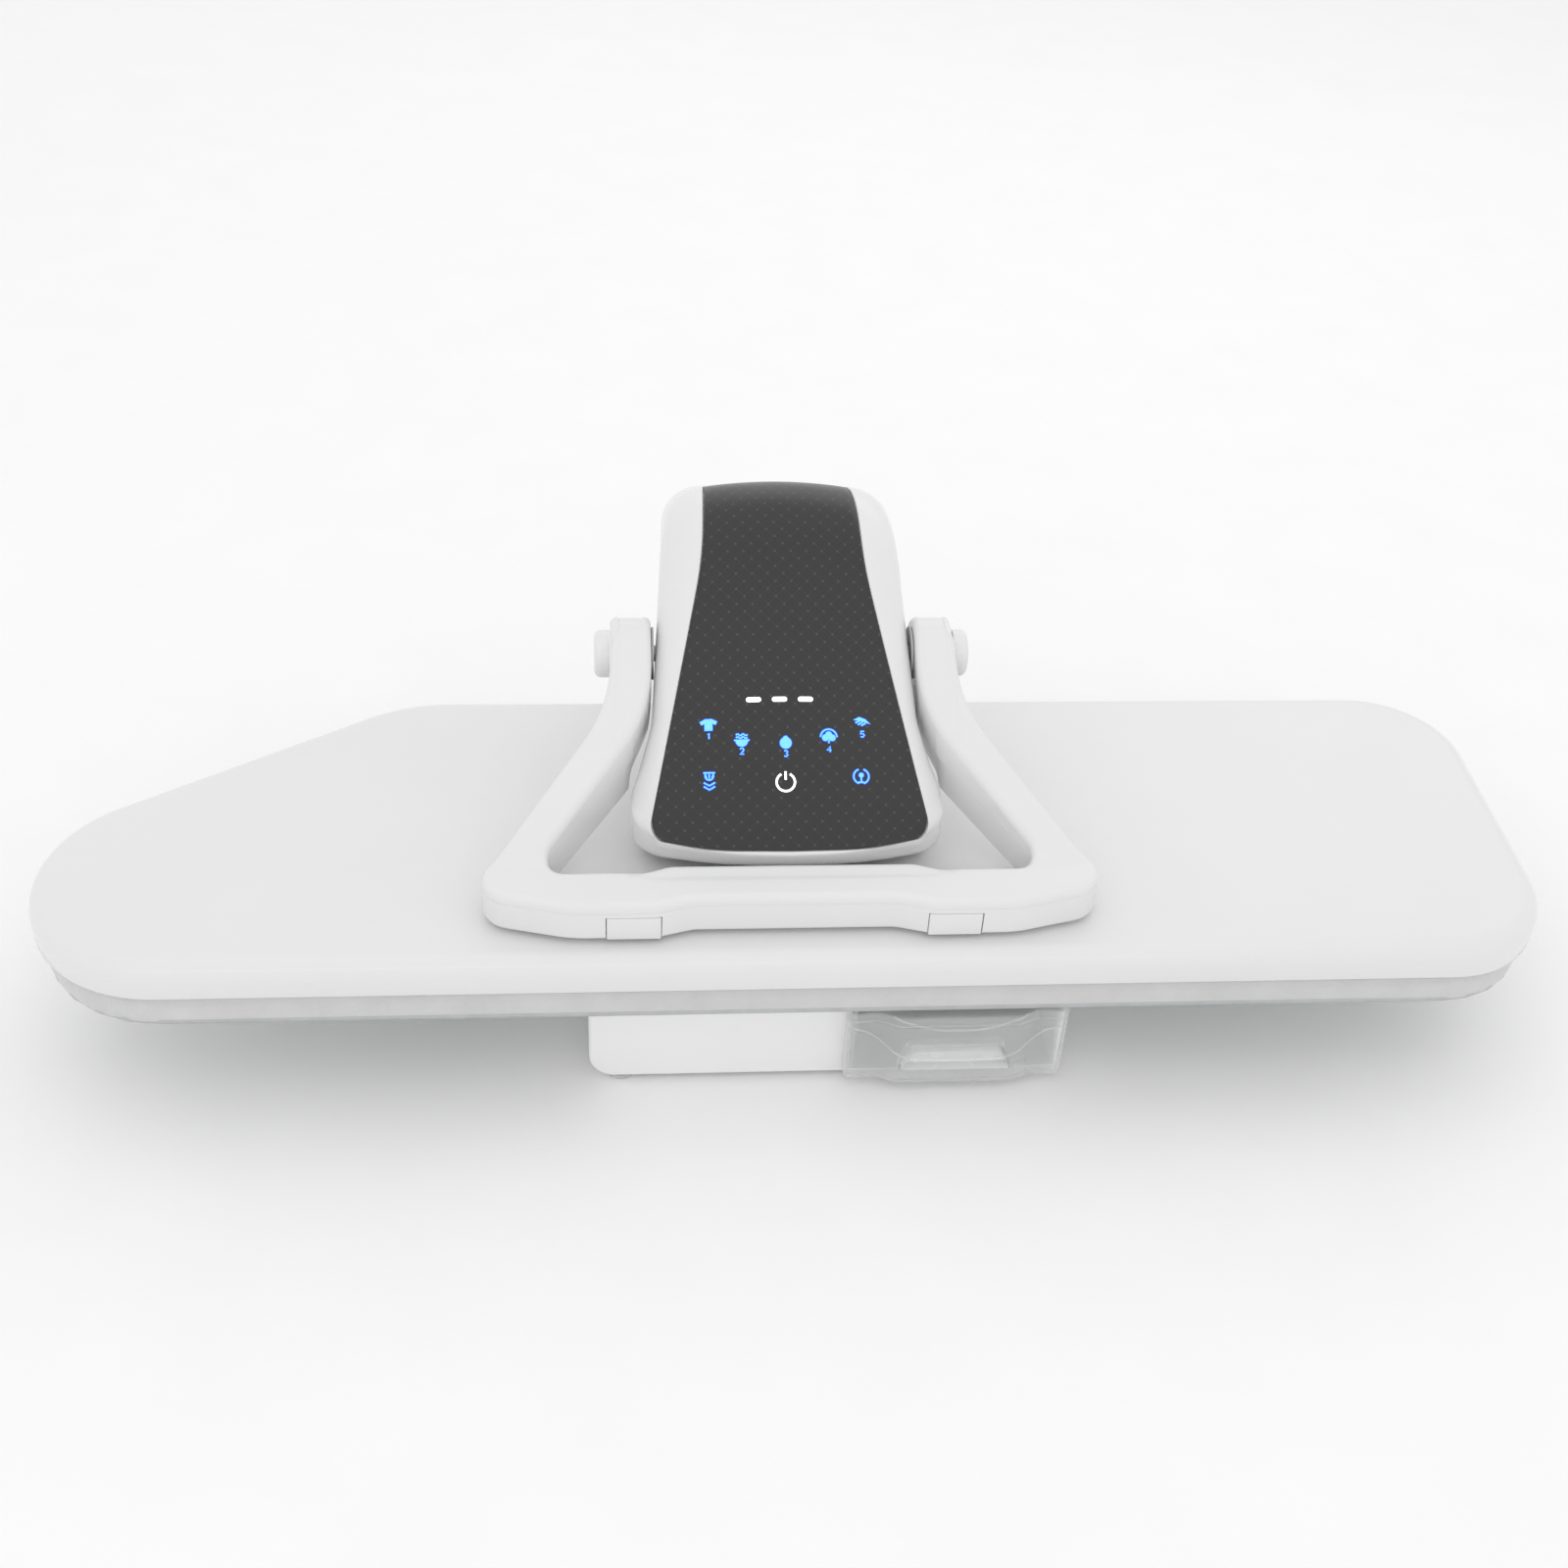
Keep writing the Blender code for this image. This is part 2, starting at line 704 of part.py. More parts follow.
def make_board():
    """The pan, its foam pad and the cloth cover drawn over both."""
    outer = board_outline(BOARD_INSET)
    top = BOARD_TOP
    bottom = BOARD_BOTTOM
    inner_edge = BOARD_EDGE - CLOTH
    outside = [(HEM_WIDTH, bottom)] + [
        (d, z) for d, z in reversed(round_edge(BOARD_EDGE, bottom + BOARD_EDGE, bottom))
    ] + round_edge(BOARD_EDGE, top - BOARD_EDGE, top)
    inside = [
        (d + CLOTH, z) for d, z in reversed(round_edge(inner_edge, top - BOARD_EDGE, top - CLOTH))
    ] + [
        (d + CLOTH, z) for d, z in round_edge(inner_edge, bottom + BOARD_EDGE, bottom + HEM_THICKNESS)
    ] + [(HEM_WIDTH, bottom + HEM_THICKNESS)]
    rows = rings_at(outer, outside)
    cloth = lofted("board_cloth_cover", rows, "silver_cloth", capped=False)
    lining = lofted("board_cloth_lining", rings_at(outer, inside), capped=False)
    close_shell(cloth, lining)

    pan_plan = CLOTH + GAP
    pan_edge = inner_edge - GAP
    pan_top = top - PAN_RIM_DROP
    pan_low = bottom + HEM_THICKNESS + GAP
    rows = [(pan_plan + d, z) for d, z in reversed(round_edge(pan_edge, pan_low + pan_edge, pan_low))]
    rows += [(pan_plan, pan_top), (pan_plan + PAN_WALL, pan_top)]
    rows += [
        (pan_plan + PAN_WALL + d, z)
        for d, z in round_edge(pan_edge - PAN_WALL, pan_low + pan_edge, pan_low + PAN_WALL)
    ]
    lofted("board_pan", rings_at(outer, rows), "steel")

    pad_plan = pan_plan + PAN_WALL + GAP
    pad_edge = pan_edge - PAN_WALL - GAP
    pad_low = pan_low + PAN_WALL + GAP
    pad_top = top - CLOTH - GAP
    rows = [
        (pad_plan + d, z) for d, z in reversed(round_edge(pad_edge, pad_low + pad_edge, pad_low))
    ] + [(pad_plan, pan_top)]
    rows += [(pad_plan + d, z) for d, z in round_edge(PAD_CROWN_EDGE + CLOTH, pan_top + GAP, pad_top)]
    lofted("board_foam_pad", rings_at(outer, rows), "foam")


def close_shell(outer, lining):
    """Joins two open skins whose last and first rows face each other into one closed shell."""
    work = bmesh.new()
    work.from_mesh(outer.data)
    work.from_mesh(lining.data)
    bpy.data.objects.remove(lining)
    loops = [edge for edge in work.edges if edge.is_boundary]
    low = min(vert.co.z for edge in loops for vert in edge.verts)
    hem = [e for e in loops if all(v.co.z < low + HEM_THICKNESS + GAP for v in e.verts)]
    bmesh.ops.bridge_loops(work, edges=hem)
    rest = [edge for edge in work.edges if edge.is_boundary]
    bmesh.ops.holes_fill(work, edges=rest, sides=0)
    bmesh.ops.recalc_face_normals(work, faces=work.faces)
    work.to_mesh(outer.data)
    work.free()


# Base

def base_front_view(distance):
    """The base seen from the front, with its large lower left corner."""
    left, right = -BASE_LEFT + distance, BASE_RIGHT - distance
    low, high = FOOT_HEIGHT + distance, BASE_TOP - distance
    small = BASE_SMALL_CORNER * BASE_SMALL_CORNER / (BASE_SMALL_CORNER + distance)
    large = BASE_CORNER - distance
    return rounded([(left, low, large), (right, low, small), (right, high, small), (left, high, small)])


def front_loft(name, front, back, distance, edge, kind=None):
    """The base's front view with a depth, its two end faces rounded."""
    levels = [(edge, front), (edge / 4, front + edge / 4), (0, front + edge)]
    levels += [(0, back - edge), (edge / 4, back - edge / 4), (edge, back)]
    rows = [[(x, y, z) for x, z in base_front_view(distance + d)] for d, y in levels]
    return lofted(name, rows, kind)


BAY_LEFT = TANK_X - TANK_WIDTH / 2 + TANK_FLANGE - TANK_CLEARANCE
BAY_RIGHT = TANK_X + TANK_WIDTH / 2 - TANK_FLANGE + TANK_CLEARANCE
BAY_BACK = TANK_BACK_Y + TANK_CLEARANCE
BAY_TOP = BASE_TOP - BASE_WALL
BAY_BOTTOM = FOOT_HEIGHT + BASE_WALL
BASE_FRONT_Y = y_at(BASE_SETBACK)
BASE_BACK_Y = BASE_FRONT_Y + BASE_DEPTH
COLUMN_FRONT_Y = y_at(COVER_DEPTH) + HINGE_BEHIND - COVER_DEPTH - BARREL_RADIUS - COLUMN_WALL
VALVE_Z = TANK_BOTTOM + VALVE_HEIGHT
GLAND_Z = FOOT_HEIGHT + GLAND_ABOVE
FLOOR_LEFT = -BASE_LEFT + BACK_NOTCH_LEFT + FLOOR_OPENING_INSET
FLOOR_RIGHT = BAY_LEFT - BASE_WALL - FLOOR_OPENING_INSET
FLOOR_FRONT = BASE_FRONT_Y + FLOOR_OPENING_INSET
FLOOR_BACK = BASE_BACK_Y - FLOOR_OPENING_INSET


def make_base():
    """The housing with its tank bay, its floor plate and its feet."""
    housing = front_loft(
        "base_housing", BASE_FRONT_Y, BASE_BACK_Y, 0, BASE_END_ROUND, "white_satin",
    )
    riser = box(
        "board_riser",
        (-BASE_LEFT + BASE_CORNER, BASE_FRONT_Y + HEM_WIDTH, BASE_TOP - BASE_WALL),
        (BASE_RIGHT - BASE_CORNER, y_at(COVER_DEPTH) - BOARD_INSET - HEM_WIDTH - GAP,
         BASE_TOP + RISER_HEIGHT),
    )
    combine(housing, riser, "UNION")
    room = front_loft(
        "base_room", BASE_FRONT_Y + BASE_WALL, BASE_BACK_Y - BASE_WALL, BASE_WALL, BASE_END_ROUND,
    )
    bay_block = box(
        "bay_block",
        (BAY_LEFT - BASE_WALL, BASE_FRONT_Y - OVERRUN, FOOT_HEIGHT - OVERRUN),
        (BASE_RIGHT + OVERRUN, BAY_BACK + BASE_WALL, BASE_TOP + OVERRUN),
    )
    combine(room, bay_block)
    for side in (-1, 1):
        combine(room, back_notch("notch_wall", side, BASE_WALL))
        combine(housing, back_notch("back_notch", side, 0))
    combine(housing, room)
    bay = box(
        "tank_bay",
        (BAY_LEFT, BASE_FRONT_Y - OVERRUN, BAY_BOTTOM), (BAY_RIGHT, BAY_BACK, BAY_TOP),
    )
    combine(housing, bay)
    opening = box(
        "floor_opening",
        (FLOOR_LEFT, FLOOR_FRONT, FOOT_HEIGHT - OVERRUN), (FLOOR_RIGHT, FLOOR_BACK, BAY_BOTTOM + GAP),
    )
    combine(housing, opening)
    stair = box(
        "column_opening",
        (ARM_X - COLUMN_HALF + COLUMN_WALL, COLUMN_FRONT_Y + COLUMN_WALL, BAY_TOP - OVERRUN),
        (ARM_X + COLUMN_HALF - COLUMN_WALL, BASE_BACK_Y - BASE_WALL - COLUMN_WALL, BASE_TOP + OVERRUN),
    )
    combine(housing, stair)
    dock_hole = rod(
        "dock_hole", (TANK_X, BAY_BACK - OVERRUN, VALVE_Z), (TANK_X, BAY_BACK + OVERRUN, VALVE_Z),
        DOCK_RADIUS - DOCK_FLANGE + GAP,
    )
    combine(housing, dock_hole)
    gland_hole = rod(
        "gland_hole", (GLAND_X, BASE_BACK_Y - OVERRUN, GLAND_Z), (GLAND_X, BASE_BACK_Y + OVERRUN, GLAND_Z),
        GLAND_RADIUS - GLAND_FLANGE + GAP,
    )
    combine(housing, gland_hole)
    floor = box(
        "base_floor_plate",
        (FLOOR_LEFT + GAP, FLOOR_FRONT + GAP, FOOT_HEIGHT),
        (FLOOR_RIGHT - GAP, FLOOR_BACK - GAP, BAY_BOTTOM),
        "white_satin",
    )
    make_floor_screws(housing, floor)
    make_feet()
    turned(
        "cord_gland",
        [(GLAND_BORE, GLAND_FLANGE), (GLAND_RADIUS, GLAND_FLANGE), (GLAND_RADIUS, GAP),
         (GLAND_RADIUS - GLAND_FLANGE, GAP), (GLAND_RADIUS - GLAND_FLANGE, -BASE_WALL - GLAND_FLANGE),
         (GLAND_BORE, -BASE_WALL - GLAND_FLANGE)],
        facing((GLAND_X, BASE_BACK_Y, GLAND_Z), (0, 1, 0)), "rubber", steps=16, bored=True,
    )


def back_notch(name, side, wall):
    """The space beside the narrower back of the base, grown by a wall."""
    start = BASE_BACK_Y - BACK_NOTCH_DEPTH - wall
    end = BASE_BACK_Y + OVERRUN
    if side < 0:
        inner, outer = -BASE_LEFT + BACK_NOTCH_LEFT + wall, -BASE_LEFT - OVERRUN
    else:
        inner, outer = BASE_RIGHT - BACK_NOTCH_RIGHT - wall, BASE_RIGHT + OVERRUN
    low = (min(inner, outer), start, FOOT_HEIGHT - OVERRUN)
    return box(name, low, (max(inner, outer), end, BASE_TOP + OVERRUN))


def make_floor_screws(housing, floor):
    """Three screws that hold the floor plate to posts hanging from the base's ceiling."""
    edge = BOSS_RADIUS + FLOOR_OPENING_INSET
    front, back = FLOOR_FRONT + edge, COLUMN_FRONT_Y - edge
    left, right = FLOOR_LEFT + BOSS_INSET, FLOOR_RIGHT - edge
    places = {"front": (left, front), "back": (left, back), "right": (right, (front + back) / 2)}
    tip = BAY_BOTTOM + SCREW_LENGTH
    low = FOOT_HEIGHT - GAP - SCREW_HEAD_HEIGHT
    for name, (x, y) in places.items():
        boss = rod(
            "floor_boss", (x, y, BAY_BOTTOM + GAP), (x, y, BASE_TOP - BASE_WALL / 2), BOSS_RADIUS,
            sides=12,
        )
        combine(housing, boss, "UNION")
        hole = rod("screw_hole", (x, y, -OVERRUN), (x, y, tip), SCREW_RADIUS + GAP, sides=8)
        combine(housing, hole)
        combine(floor, hole)
        turned(
            "floor_screw_" + name,
            [(0, tip - GAP), (SCREW_RADIUS, tip - GAP), (SCREW_RADIUS, FOOT_HEIGHT - GAP),
             (SCREW_HEAD_RADIUS, FOOT_HEIGHT - GAP), (SCREW_HEAD_RADIUS, low + SCREW_HEAD_HEIGHT / 2),
             (SCREW_RADIUS, low), (0, low)],
            Matrix.Translation((x, y, 0)), "steel", steps=8,
        )


def foot_places():
    """Centres of the four feet."""
    side = FOOT_RADIUS + FOOT_EDGE
    front = BASE_FRONT_Y + FOOT_FRONT_INSET
    back = BASE_BACK_Y - FOOT_BACK_INSET
    return {
        "foot_front_left": (-BASE_LEFT + FOOT_SIDE, front),
        "foot_front_right": (BASE_RIGHT - FOOT_SIDE, front + FOOT_TANK_SHIFT),
        "foot_back_left": (-BASE_LEFT + BACK_NOTCH_LEFT + side, back),
        "foot_back_right": (BASE_RIGHT - BACK_NOTCH_RIGHT - side, back),
    }


def make_feet():
    """Rubber feet under the corners of the base."""
    top = FOOT_HEIGHT - GAP
    for name, (x, y) in foot_places().items():
        edge = top / 3
        turned(
            name,
            [(0, top), (FOOT_RADIUS, top), (FOOT_RADIUS, edge), (FOOT_RADIUS - edge, 0), (0, 0)],
            Matrix.Translation((x, y, 0)), "rubber", steps=16,
        )


def make_base_works():
    """Pump, power board, dock valve and hoses."""
    pump_z = BAY_BOTTOM + PUMP_RADIUS + PUMP_FOOT_WIDTH / 4
    pump_front = y_at(PUMP_FRONT)
    pump_back = pump_front + PUMP_LENGTH
    nozzle = PUMP_NOZZLE_RADIUS
    neck = PUMP_NECK_RADIUS
    half = PUMP_LENGTH / 2
    body = [
        (0, half + PUMP_NOZZLE_LENGTH), (nozzle, half + PUMP_NOZZLE_LENGTH), (nozzle, half),
        (neck, half), (neck, half - PUMP_NECK_LENGTH), (PUMP_RADIUS, half - PUMP_NECK_LENGTH),
        (PUMP_RADIUS, PUMP_NECK_LENGTH - half), (neck, PUMP_NECK_LENGTH - half), (neck, -half),
        (nozzle, -half), (nozzle, -half - PUMP_NOZZLE_LENGTH), (0, -half - PUMP_NOZZLE_LENGTH),
    ]
    middle = (pump_front + pump_back) / 2
    turned("water_pump", body, facing((PUMP_X, middle, pump_z), (0, 1, 0)), "black_plastic", steps=16)
    clamp_half = PUMP_RADIUS + GAP * 6
    cradle = box(
        "pump_cradle",
        (PUMP_X - clamp_half, middle - PUMP_FOOT_WIDTH / 2, BAY_BOTTOM + GAP),
        (PUMP_X + clamp_half, middle + PUMP_FOOT_WIDTH / 2, pump_z),
        "rubber",
    )
    bed = rod(
        "pump_bed", (PUMP_X, middle - PUMP_FOOT_WIDTH, pump_z), (PUMP_X, middle + PUMP_FOOT_WIDTH, pump_z),
        PUMP_RADIUS + GAP,
    )
    combine(cradle, bed)

    board_y = y_at(POWER_BOARD_FRONT)
    board_z = BAY_BOTTOM + GAP + POST_SIZE
    board = box(
        "power_board",
        (POWER_BOARD_X - POWER_BOARD_WIDTH / 2, board_y, board_z),
        (POWER_BOARD_X + POWER_BOARD_WIDTH / 2, board_y + POWER_BOARD_LENGTH, board_z + PCB),
        "circuit_board",
    )
    for side in (-1, 1):
        for end in (POST_SIZE, POWER_BOARD_LENGTH - POST_SIZE):
            x = POWER_BOARD_X + side * (POWER_BOARD_WIDTH / 2 - POST_SIZE)
            leg = rod(
                "board_leg", (x, board_y + end, BAY_BOTTOM + GAP), (x, board_y + end, board_z + PCB / 2),
                POST_SIZE / 3, sides=8,
            )
            combine(board, leg, "UNION")
    for index in range(2):
        start = board_y + RELAY_LENGTH + index * (RELAY_LENGTH + POST_SIZE)
        relay = box(
            "relay", (POWER_BOARD_X - RELAY_WIDTH / 2, start, board_z + PCB / 2),
            (POWER_BOARD_X + RELAY_WIDTH / 2, start + RELAY_LENGTH, board_z + RELAY_HEIGHT),
        )
        combine(board, relay, "UNION")

    dock_y = BAY_BACK + BASE_WALL
    turned(
        "dock_valve",
        [(0, DOCK_LENGTH), (DOCK_SPOUT_RADIUS, DOCK_LENGTH), (DOCK_SPOUT_RADIUS, DOCK_FLANGE),
         (DOCK_RADIUS, DOCK_FLANGE), (DOCK_RADIUS, GAP), (DOCK_RADIUS - DOCK_FLANGE, GAP),
         (DOCK_RADIUS - DOCK_FLANGE, -BASE_WALL), (0, -BASE_WALL)],
        facing((TANK_X, dock_y, VALVE_Z), (0, 1, 0)), "silicone", steps=16,
    )
    suction = [
        (TANK_X, dock_y + DOCK_LENGTH + HOSE_GAP, VALVE_Z),
        (TANK_X, dock_y + DOCK_LENGTH + HOSE_RADIUS * 3, VALVE_Z),
        (TANK_X - DOCK_LENGTH * 2, dock_y + DOCK_LENGTH + HOSE_RADIUS * 7, pump_z + HOSE_RADIUS),
        (PUMP_X + DOCK_LENGTH, dock_y + DOCK_LENGTH + HOSE_RADIUS * 5, pump_z + HOSE_RADIUS),
        (PUMP_X, pump_back + PUMP_NOZZLE_LENGTH + HOSE_RADIUS * 3, pump_z),
        (PUMP_X, pump_back + PUMP_NOZZLE_LENGTH + HOSE_GAP, pump_z),
    ]
    tube("suction_hose", smooth_path(suction, 4), HOSE_RADIUS, "silicone", 1)
    feed_x = PUMP_X + PUMP_RADIUS + HOSE_RADIUS * 3
    feed_top = HINGE_Z - BARREL_RADIUS - COLUMN_GAP - COLUMN_WALL - HOSE_RADIUS * 2
    feed = [
        (PUMP_X, pump_front - PUMP_NOZZLE_LENGTH - HOSE_GAP, pump_z),
        (PUMP_X, pump_front - PUMP_NOZZLE_LENGTH - HOSE_RADIUS * 2, pump_z),
        (feed_x, pump_front - PUMP_NOZZLE_LENGTH - HOSE_RADIUS * 4, pump_z),
        (feed_x, pump_front + PUMP_LENGTH / 2, pump_z + HOSE_RADIUS * 3),
        (feed_x, HINGE_Y - HOSE_RADIUS * 4, pump_z + HOSE_RADIUS * 4),
        (feed_x, HINGE_Y, feed_top - HOSE_RADIUS * 3),
        (feed_x, HINGE_Y, feed_top),
    ]
    tube("feed_hose", smooth_path(feed, 4), HOSE_RADIUS, "silicone", 1)


# Hinge column

def column_view(distance):
    """The column seen from the side: a block with a round top about the hinge."""
    back = BASE_BACK_Y - COLUMN_ROUND
    corners = [(COLUMN_FRONT_Y, BASE_TOP + GAP), (back, BASE_TOP + GAP)]
    around = arc((HINGE_Y, HINGE_Z), BARREL_RADIUS, 0, math.pi, 12)
    view = [corners[1]] + around + [corners[0]]
    return inset(view, distance) if distance else view


def slot_view(distance):
    """The space that the head's barrel turns in, seen from the side."""
    radius = BARREL_RADIUS + COLUMN_GAP + distance
    top = HINGE_Z + BARREL_RADIUS + OVERRUN
    sill = z_at(ARM_FLOOR_ABOVE) - COLUMN_GAP - distance
    start = math.pi + math.asin((HINGE_Z - sill) / radius)
    around = arc((HINGE_Y, HINGE_Z), radius, start, 2 * math.pi, 14)
    ahead = COLUMN_FRONT_Y - OVERRUN
    return around + [(HINGE_Y + radius, top), (ahead, top), (ahead, sill)]


def make_column():
    """The column's housing, its steel frame, the shaft, its bushes, springs and caps."""
    low = BASE_TOP + GAP
    column = pillow("column_housing", column_view(0), COLUMN_HALF, COLUMN_ROUND, "white_gloss")
    foot = box(
        "column_foot_cut", (ARM_X - COLUMN_HALF * 2, COLUMN_FRONT_Y - OVERRUN, low - OVERRUN),
        (ARM_X + COLUMN_HALF * 2, BASE_BACK_Y + OVERRUN, low),
    )
    room = slab(
        "column_room", column_view(COLUMN_WALL),
        ARM_X - COLUMN_HALF + COLUMN_WALL, ARM_X + COLUMN_HALF - COLUMN_WALL, plane="YZ",
    )
    skirt = box(
        "column_room_foot",
        (ARM_X - COLUMN_HALF + COLUMN_WALL, COLUMN_FRONT_Y + COLUMN_WALL, low - OVERRUN),
        (ARM_X + COLUMN_HALF - COLUMN_WALL, BASE_BACK_Y - COLUMN_ROUND - COLUMN_WALL,
         low + COLUMN_WALL * 2),
    )
    combine(room, skirt, "UNION")
    slot_half = BARREL_HALF + CHEEK_GAP
    liner = slab(
        "slot_liner", slot_view(COLUMN_WALL), ARM_X - slot_half - COLUMN_WALL,
        ARM_X + slot_half + COLUMN_WALL, plane="YZ",
    )
    slot = slab("barrel_slot", slot_view(0), ARM_X - slot_half, ARM_X + slot_half, plane="YZ")
    combine(room, liner)
    combine(column, foot)
    combine(column, slot)
    combine(column, room)
    bore = rod(
        "column_bore", (ARM_X - COLUMN_HALF - OVERRUN, HINGE_Y, HINGE_Z),
        (ARM_X + COLUMN_HALF + OVERRUN, HINGE_Y, HINGE_Z), SHAFT_RADIUS + BUSH_WALL + GAP * 2,
    )
    combine(column, bore)

    frame_low = BAY_BOTTOM + GAP
    plate_view = [
        (HINGE_Y + FRAME_HALF_WIDTH, frame_low), *arc((HINGE_Y, HINGE_Z), FRAME_HALF_WIDTH, 0, math.pi, 8),
        (HINGE_Y - FRAME_HALF_WIDTH, frame_low),
    ]
    inner = FRAME_PLATE_X - FRAME_PLATE / 2
    outer = FRAME_PLATE_X + FRAME_PLATE / 2
    frame = slab("column_frame", plate_view, ARM_X - outer, ARM_X - inner, "steel", "YZ")
    twin = slab("frame_twin", plate_view, ARM_X + inner, ARM_X + outer, plane="YZ")
    tie = box(
        "frame_tie", (ARM_X - inner - FRAME_PLATE / 2, HINGE_Y - FRAME_HALF_WIDTH, frame_low),
        (ARM_X + inner + FRAME_PLATE / 2, HINGE_Y + FRAME_HALF_WIDTH, frame_low + FRAME_PLATE),
    )
    combine(frame, twin, "UNION")
    combine(frame, tie, "UNION")
    seat = rod(
        "frame_bore", (ARM_X - COLUMN_HALF, HINGE_Y, HINGE_Z), (ARM_X + COLUMN_HALF, HINGE_Y, HINGE_Z),
        SHAFT_RADIUS + BUSH_WALL + GAP, sides=24,
    )
    combine(frame, seat)

    shaft_half = outer + BUSH_FLANGE
    rod(
        "hinge_shaft", (ARM_X - shaft_half, HINGE_Y, HINGE_Z), (ARM_X + shaft_half, HINGE_Y, HINGE_Z),
        SHAFT_RADIUS, "steel", sides=24,
    )
    for side, name in ((-1, "hinge_bush_left"), (1, "hinge_bush_right")):
        bore_radius = SHAFT_RADIUS + RUNNING
        body_radius = SHAFT_RADIUS + BUSH_WALL
        flange = body_radius + BUSH_WALL
        inward = FRAME_PLATE + GAP
        turned(
            name,
            [(bore_radius, BUSH_FLANGE), (flange, BUSH_FLANGE), (flange, 0), (body_radius, 0),
             (body_radius, -inward), (bore_radius, -inward)],
            facing((ARM_X + side * (inner - BUSH_FLANGE - GAP), HINGE_Y, HINGE_Z), (-side, 0, 0))
            @ Matrix.Translation((0, 0, -BUSH_FLANGE)), "brass", bored=True,
        )
        cap = HINGE_CAP_RADIUS
        plug = SHAFT_RADIUS + BUSH_WALL
        turned(
            "hinge_cap_left" if side < 0 else "hinge_cap_right",
            [(0, HINGE_CAP_DEPTH), (HINGE_CAP_FACE, HINGE_CAP_DEPTH), (cap, HINGE_CAP_DEPTH / 2), (cap, GAP),
             (plug, GAP), (plug, -COLUMN_WALL), (0, -COLUMN_WALL)],
            facing((ARM_X + side * COLUMN_HALF, HINGE_Y, HINGE_Z), (side, 0, 0)), "white_satin",
        )


def make_spring():
    """A wound spring round the shaft, with a leg that bears on the web of the head's channel."""
    radius = SHAFT_RADIUS + SPRING_CLEAR + SPRING_WIRE
    turns = SPRING_TURNS * SPRING_STEPS
    length = SPRING_PITCH * SPRING_TURNS
    points = []
    for step in range(turns + 1):
        angle = math.tau * step / SPRING_STEPS + math.pi
        x = ARM_X + length * (step / turns) - length / 2
        points.append((x, HINGE_Y + radius * math.cos(angle), HINGE_Z + radius * math.sin(angle)))
    tube("head_spring", points, SPRING_WIRE, "steel", 1)


# Pressing head

def top_above(behind):
    """Height of the head's top line above the cover."""
    radius = PEAK_RADIUS
    rise_end = PEAK_BEHIND - radius * math.sin(TOP_SLOPE)
    fall_start = PEAK_BEHIND + radius * math.sin(BACK_SLOPE)
    line_end = LIP_ABOVE + (rise_end - LIP_BEHIND) * math.tan(TOP_SLOPE)
    centre = line_end - radius * math.cos(TOP_SLOPE)
    if behind < rise_end:
        return LIP_ABOVE + (behind - LIP_BEHIND) * math.tan(TOP_SLOPE)
    if behind > fall_start:
        edge = centre + radius * math.cos(BACK_SLOPE)
        return edge - (behind - fall_start) * math.tan(BACK_SLOPE)
    return centre + math.sqrt(radius ** 2 - (behind - PEAK_BEHIND) ** 2)


def crown(x, behind):
    """How far the top falls beside the head's middle: flat at the front, full at the peak."""
    share = (behind - CROWN_BEHIND) / (PEAK_BEHIND - CROWN_BEHIND)
    return max(0, min(share, 1)) * x * x / (2 * CROWN_RADIUS)


def head_line(
    seam_half, waist_half, waist, wide_half, wide, corner_half, corner, bow, front, radius,
):
    """Half of a plan of the head, from its rear seam round to its front centre, in equal steps."""
    corners = [
        (seam_half, ARM_SEAM_BEHIND, 0),
        (waist_half, waist, BELT_WAIST_RADIUS),
        (wide_half, wide, BELT_WIDEST_RADIUS),
        (corner_half, corner, radius),
        (HEAD_BOW_HALF, bow, BELT_BOW_RADIUS),
        (0, front, 0),
    ]
    return resampled(rounded(corners, closed=False), RING_POINTS)


def belt_line():
    """Half of the head's widest plan, at the height of its belt."""
    return head_line(
        BELT_SEAM_HALF, BELT_WAIST_HALF, BELT_WAIST_BEHIND, BELT_WIDEST_HALF, BELT_WIDEST_BEHIND,
        BELT_CORNER_HALF, BELT_CORNER_FRONT, BELT_BOW_FRONT, BELT_FRONT, BELT_CORNER_RADIUS,
    )


def chin_line(distance=0):
    """Half of the plan of the head's bottom edge, moved inwards by a distance."""
    less = CHIN_INSET + distance
    return head_line(
        BELT_SEAM_HALF - less, BELT_WAIST_HALF - less, BELT_WAIST_BEHIND, BELT_WIDEST_HALF - less,
        BELT_WIDEST_BEHIND + less, BELT_CORNER_HALF - less - CHIN_INSET, CHIN_CORNER_FRONT + distance,
        CHIN_BOW_FRONT + distance, CHIN_FRONT + distance, CHIN_CORNER_RADIUS,
    )


def panel_line(distance=0):
    """Half of the plan of the touch lens's edge, moved inwards by a distance."""
    corners = [
        (PANEL_SEAM_HALF - distance, ARM_SEAM_BEHIND, 0),
        (PANEL_NECK_HALF - distance, PANEL_NECK_BEHIND, PANEL_NECK_RADIUS),
        (PANEL_CORNER_HALF - distance, PANEL_CORNER_FRONT + distance, PANEL_CORNER_RADIUS),
        (HEAD_BOW_HALF, PANEL_BOW_FRONT + distance, BELT_BOW_RADIUS),
        (0, PANEL_FRONT + distance, 0),
    ]
    return resampled(rounded(corners, closed=False), RING_POINTS)


def both_sides(half_points):
    """A row across the head from half of it: left side back to front, then right side front to back."""
    left = [(ARM_X - x, y_at(d), z_at(h)) for x, d, h in half_points]
    right = [(ARM_X + x, y_at(d), z_at(h)) for x, d, h in half_points]
    return left + list(reversed(right[:-1]))


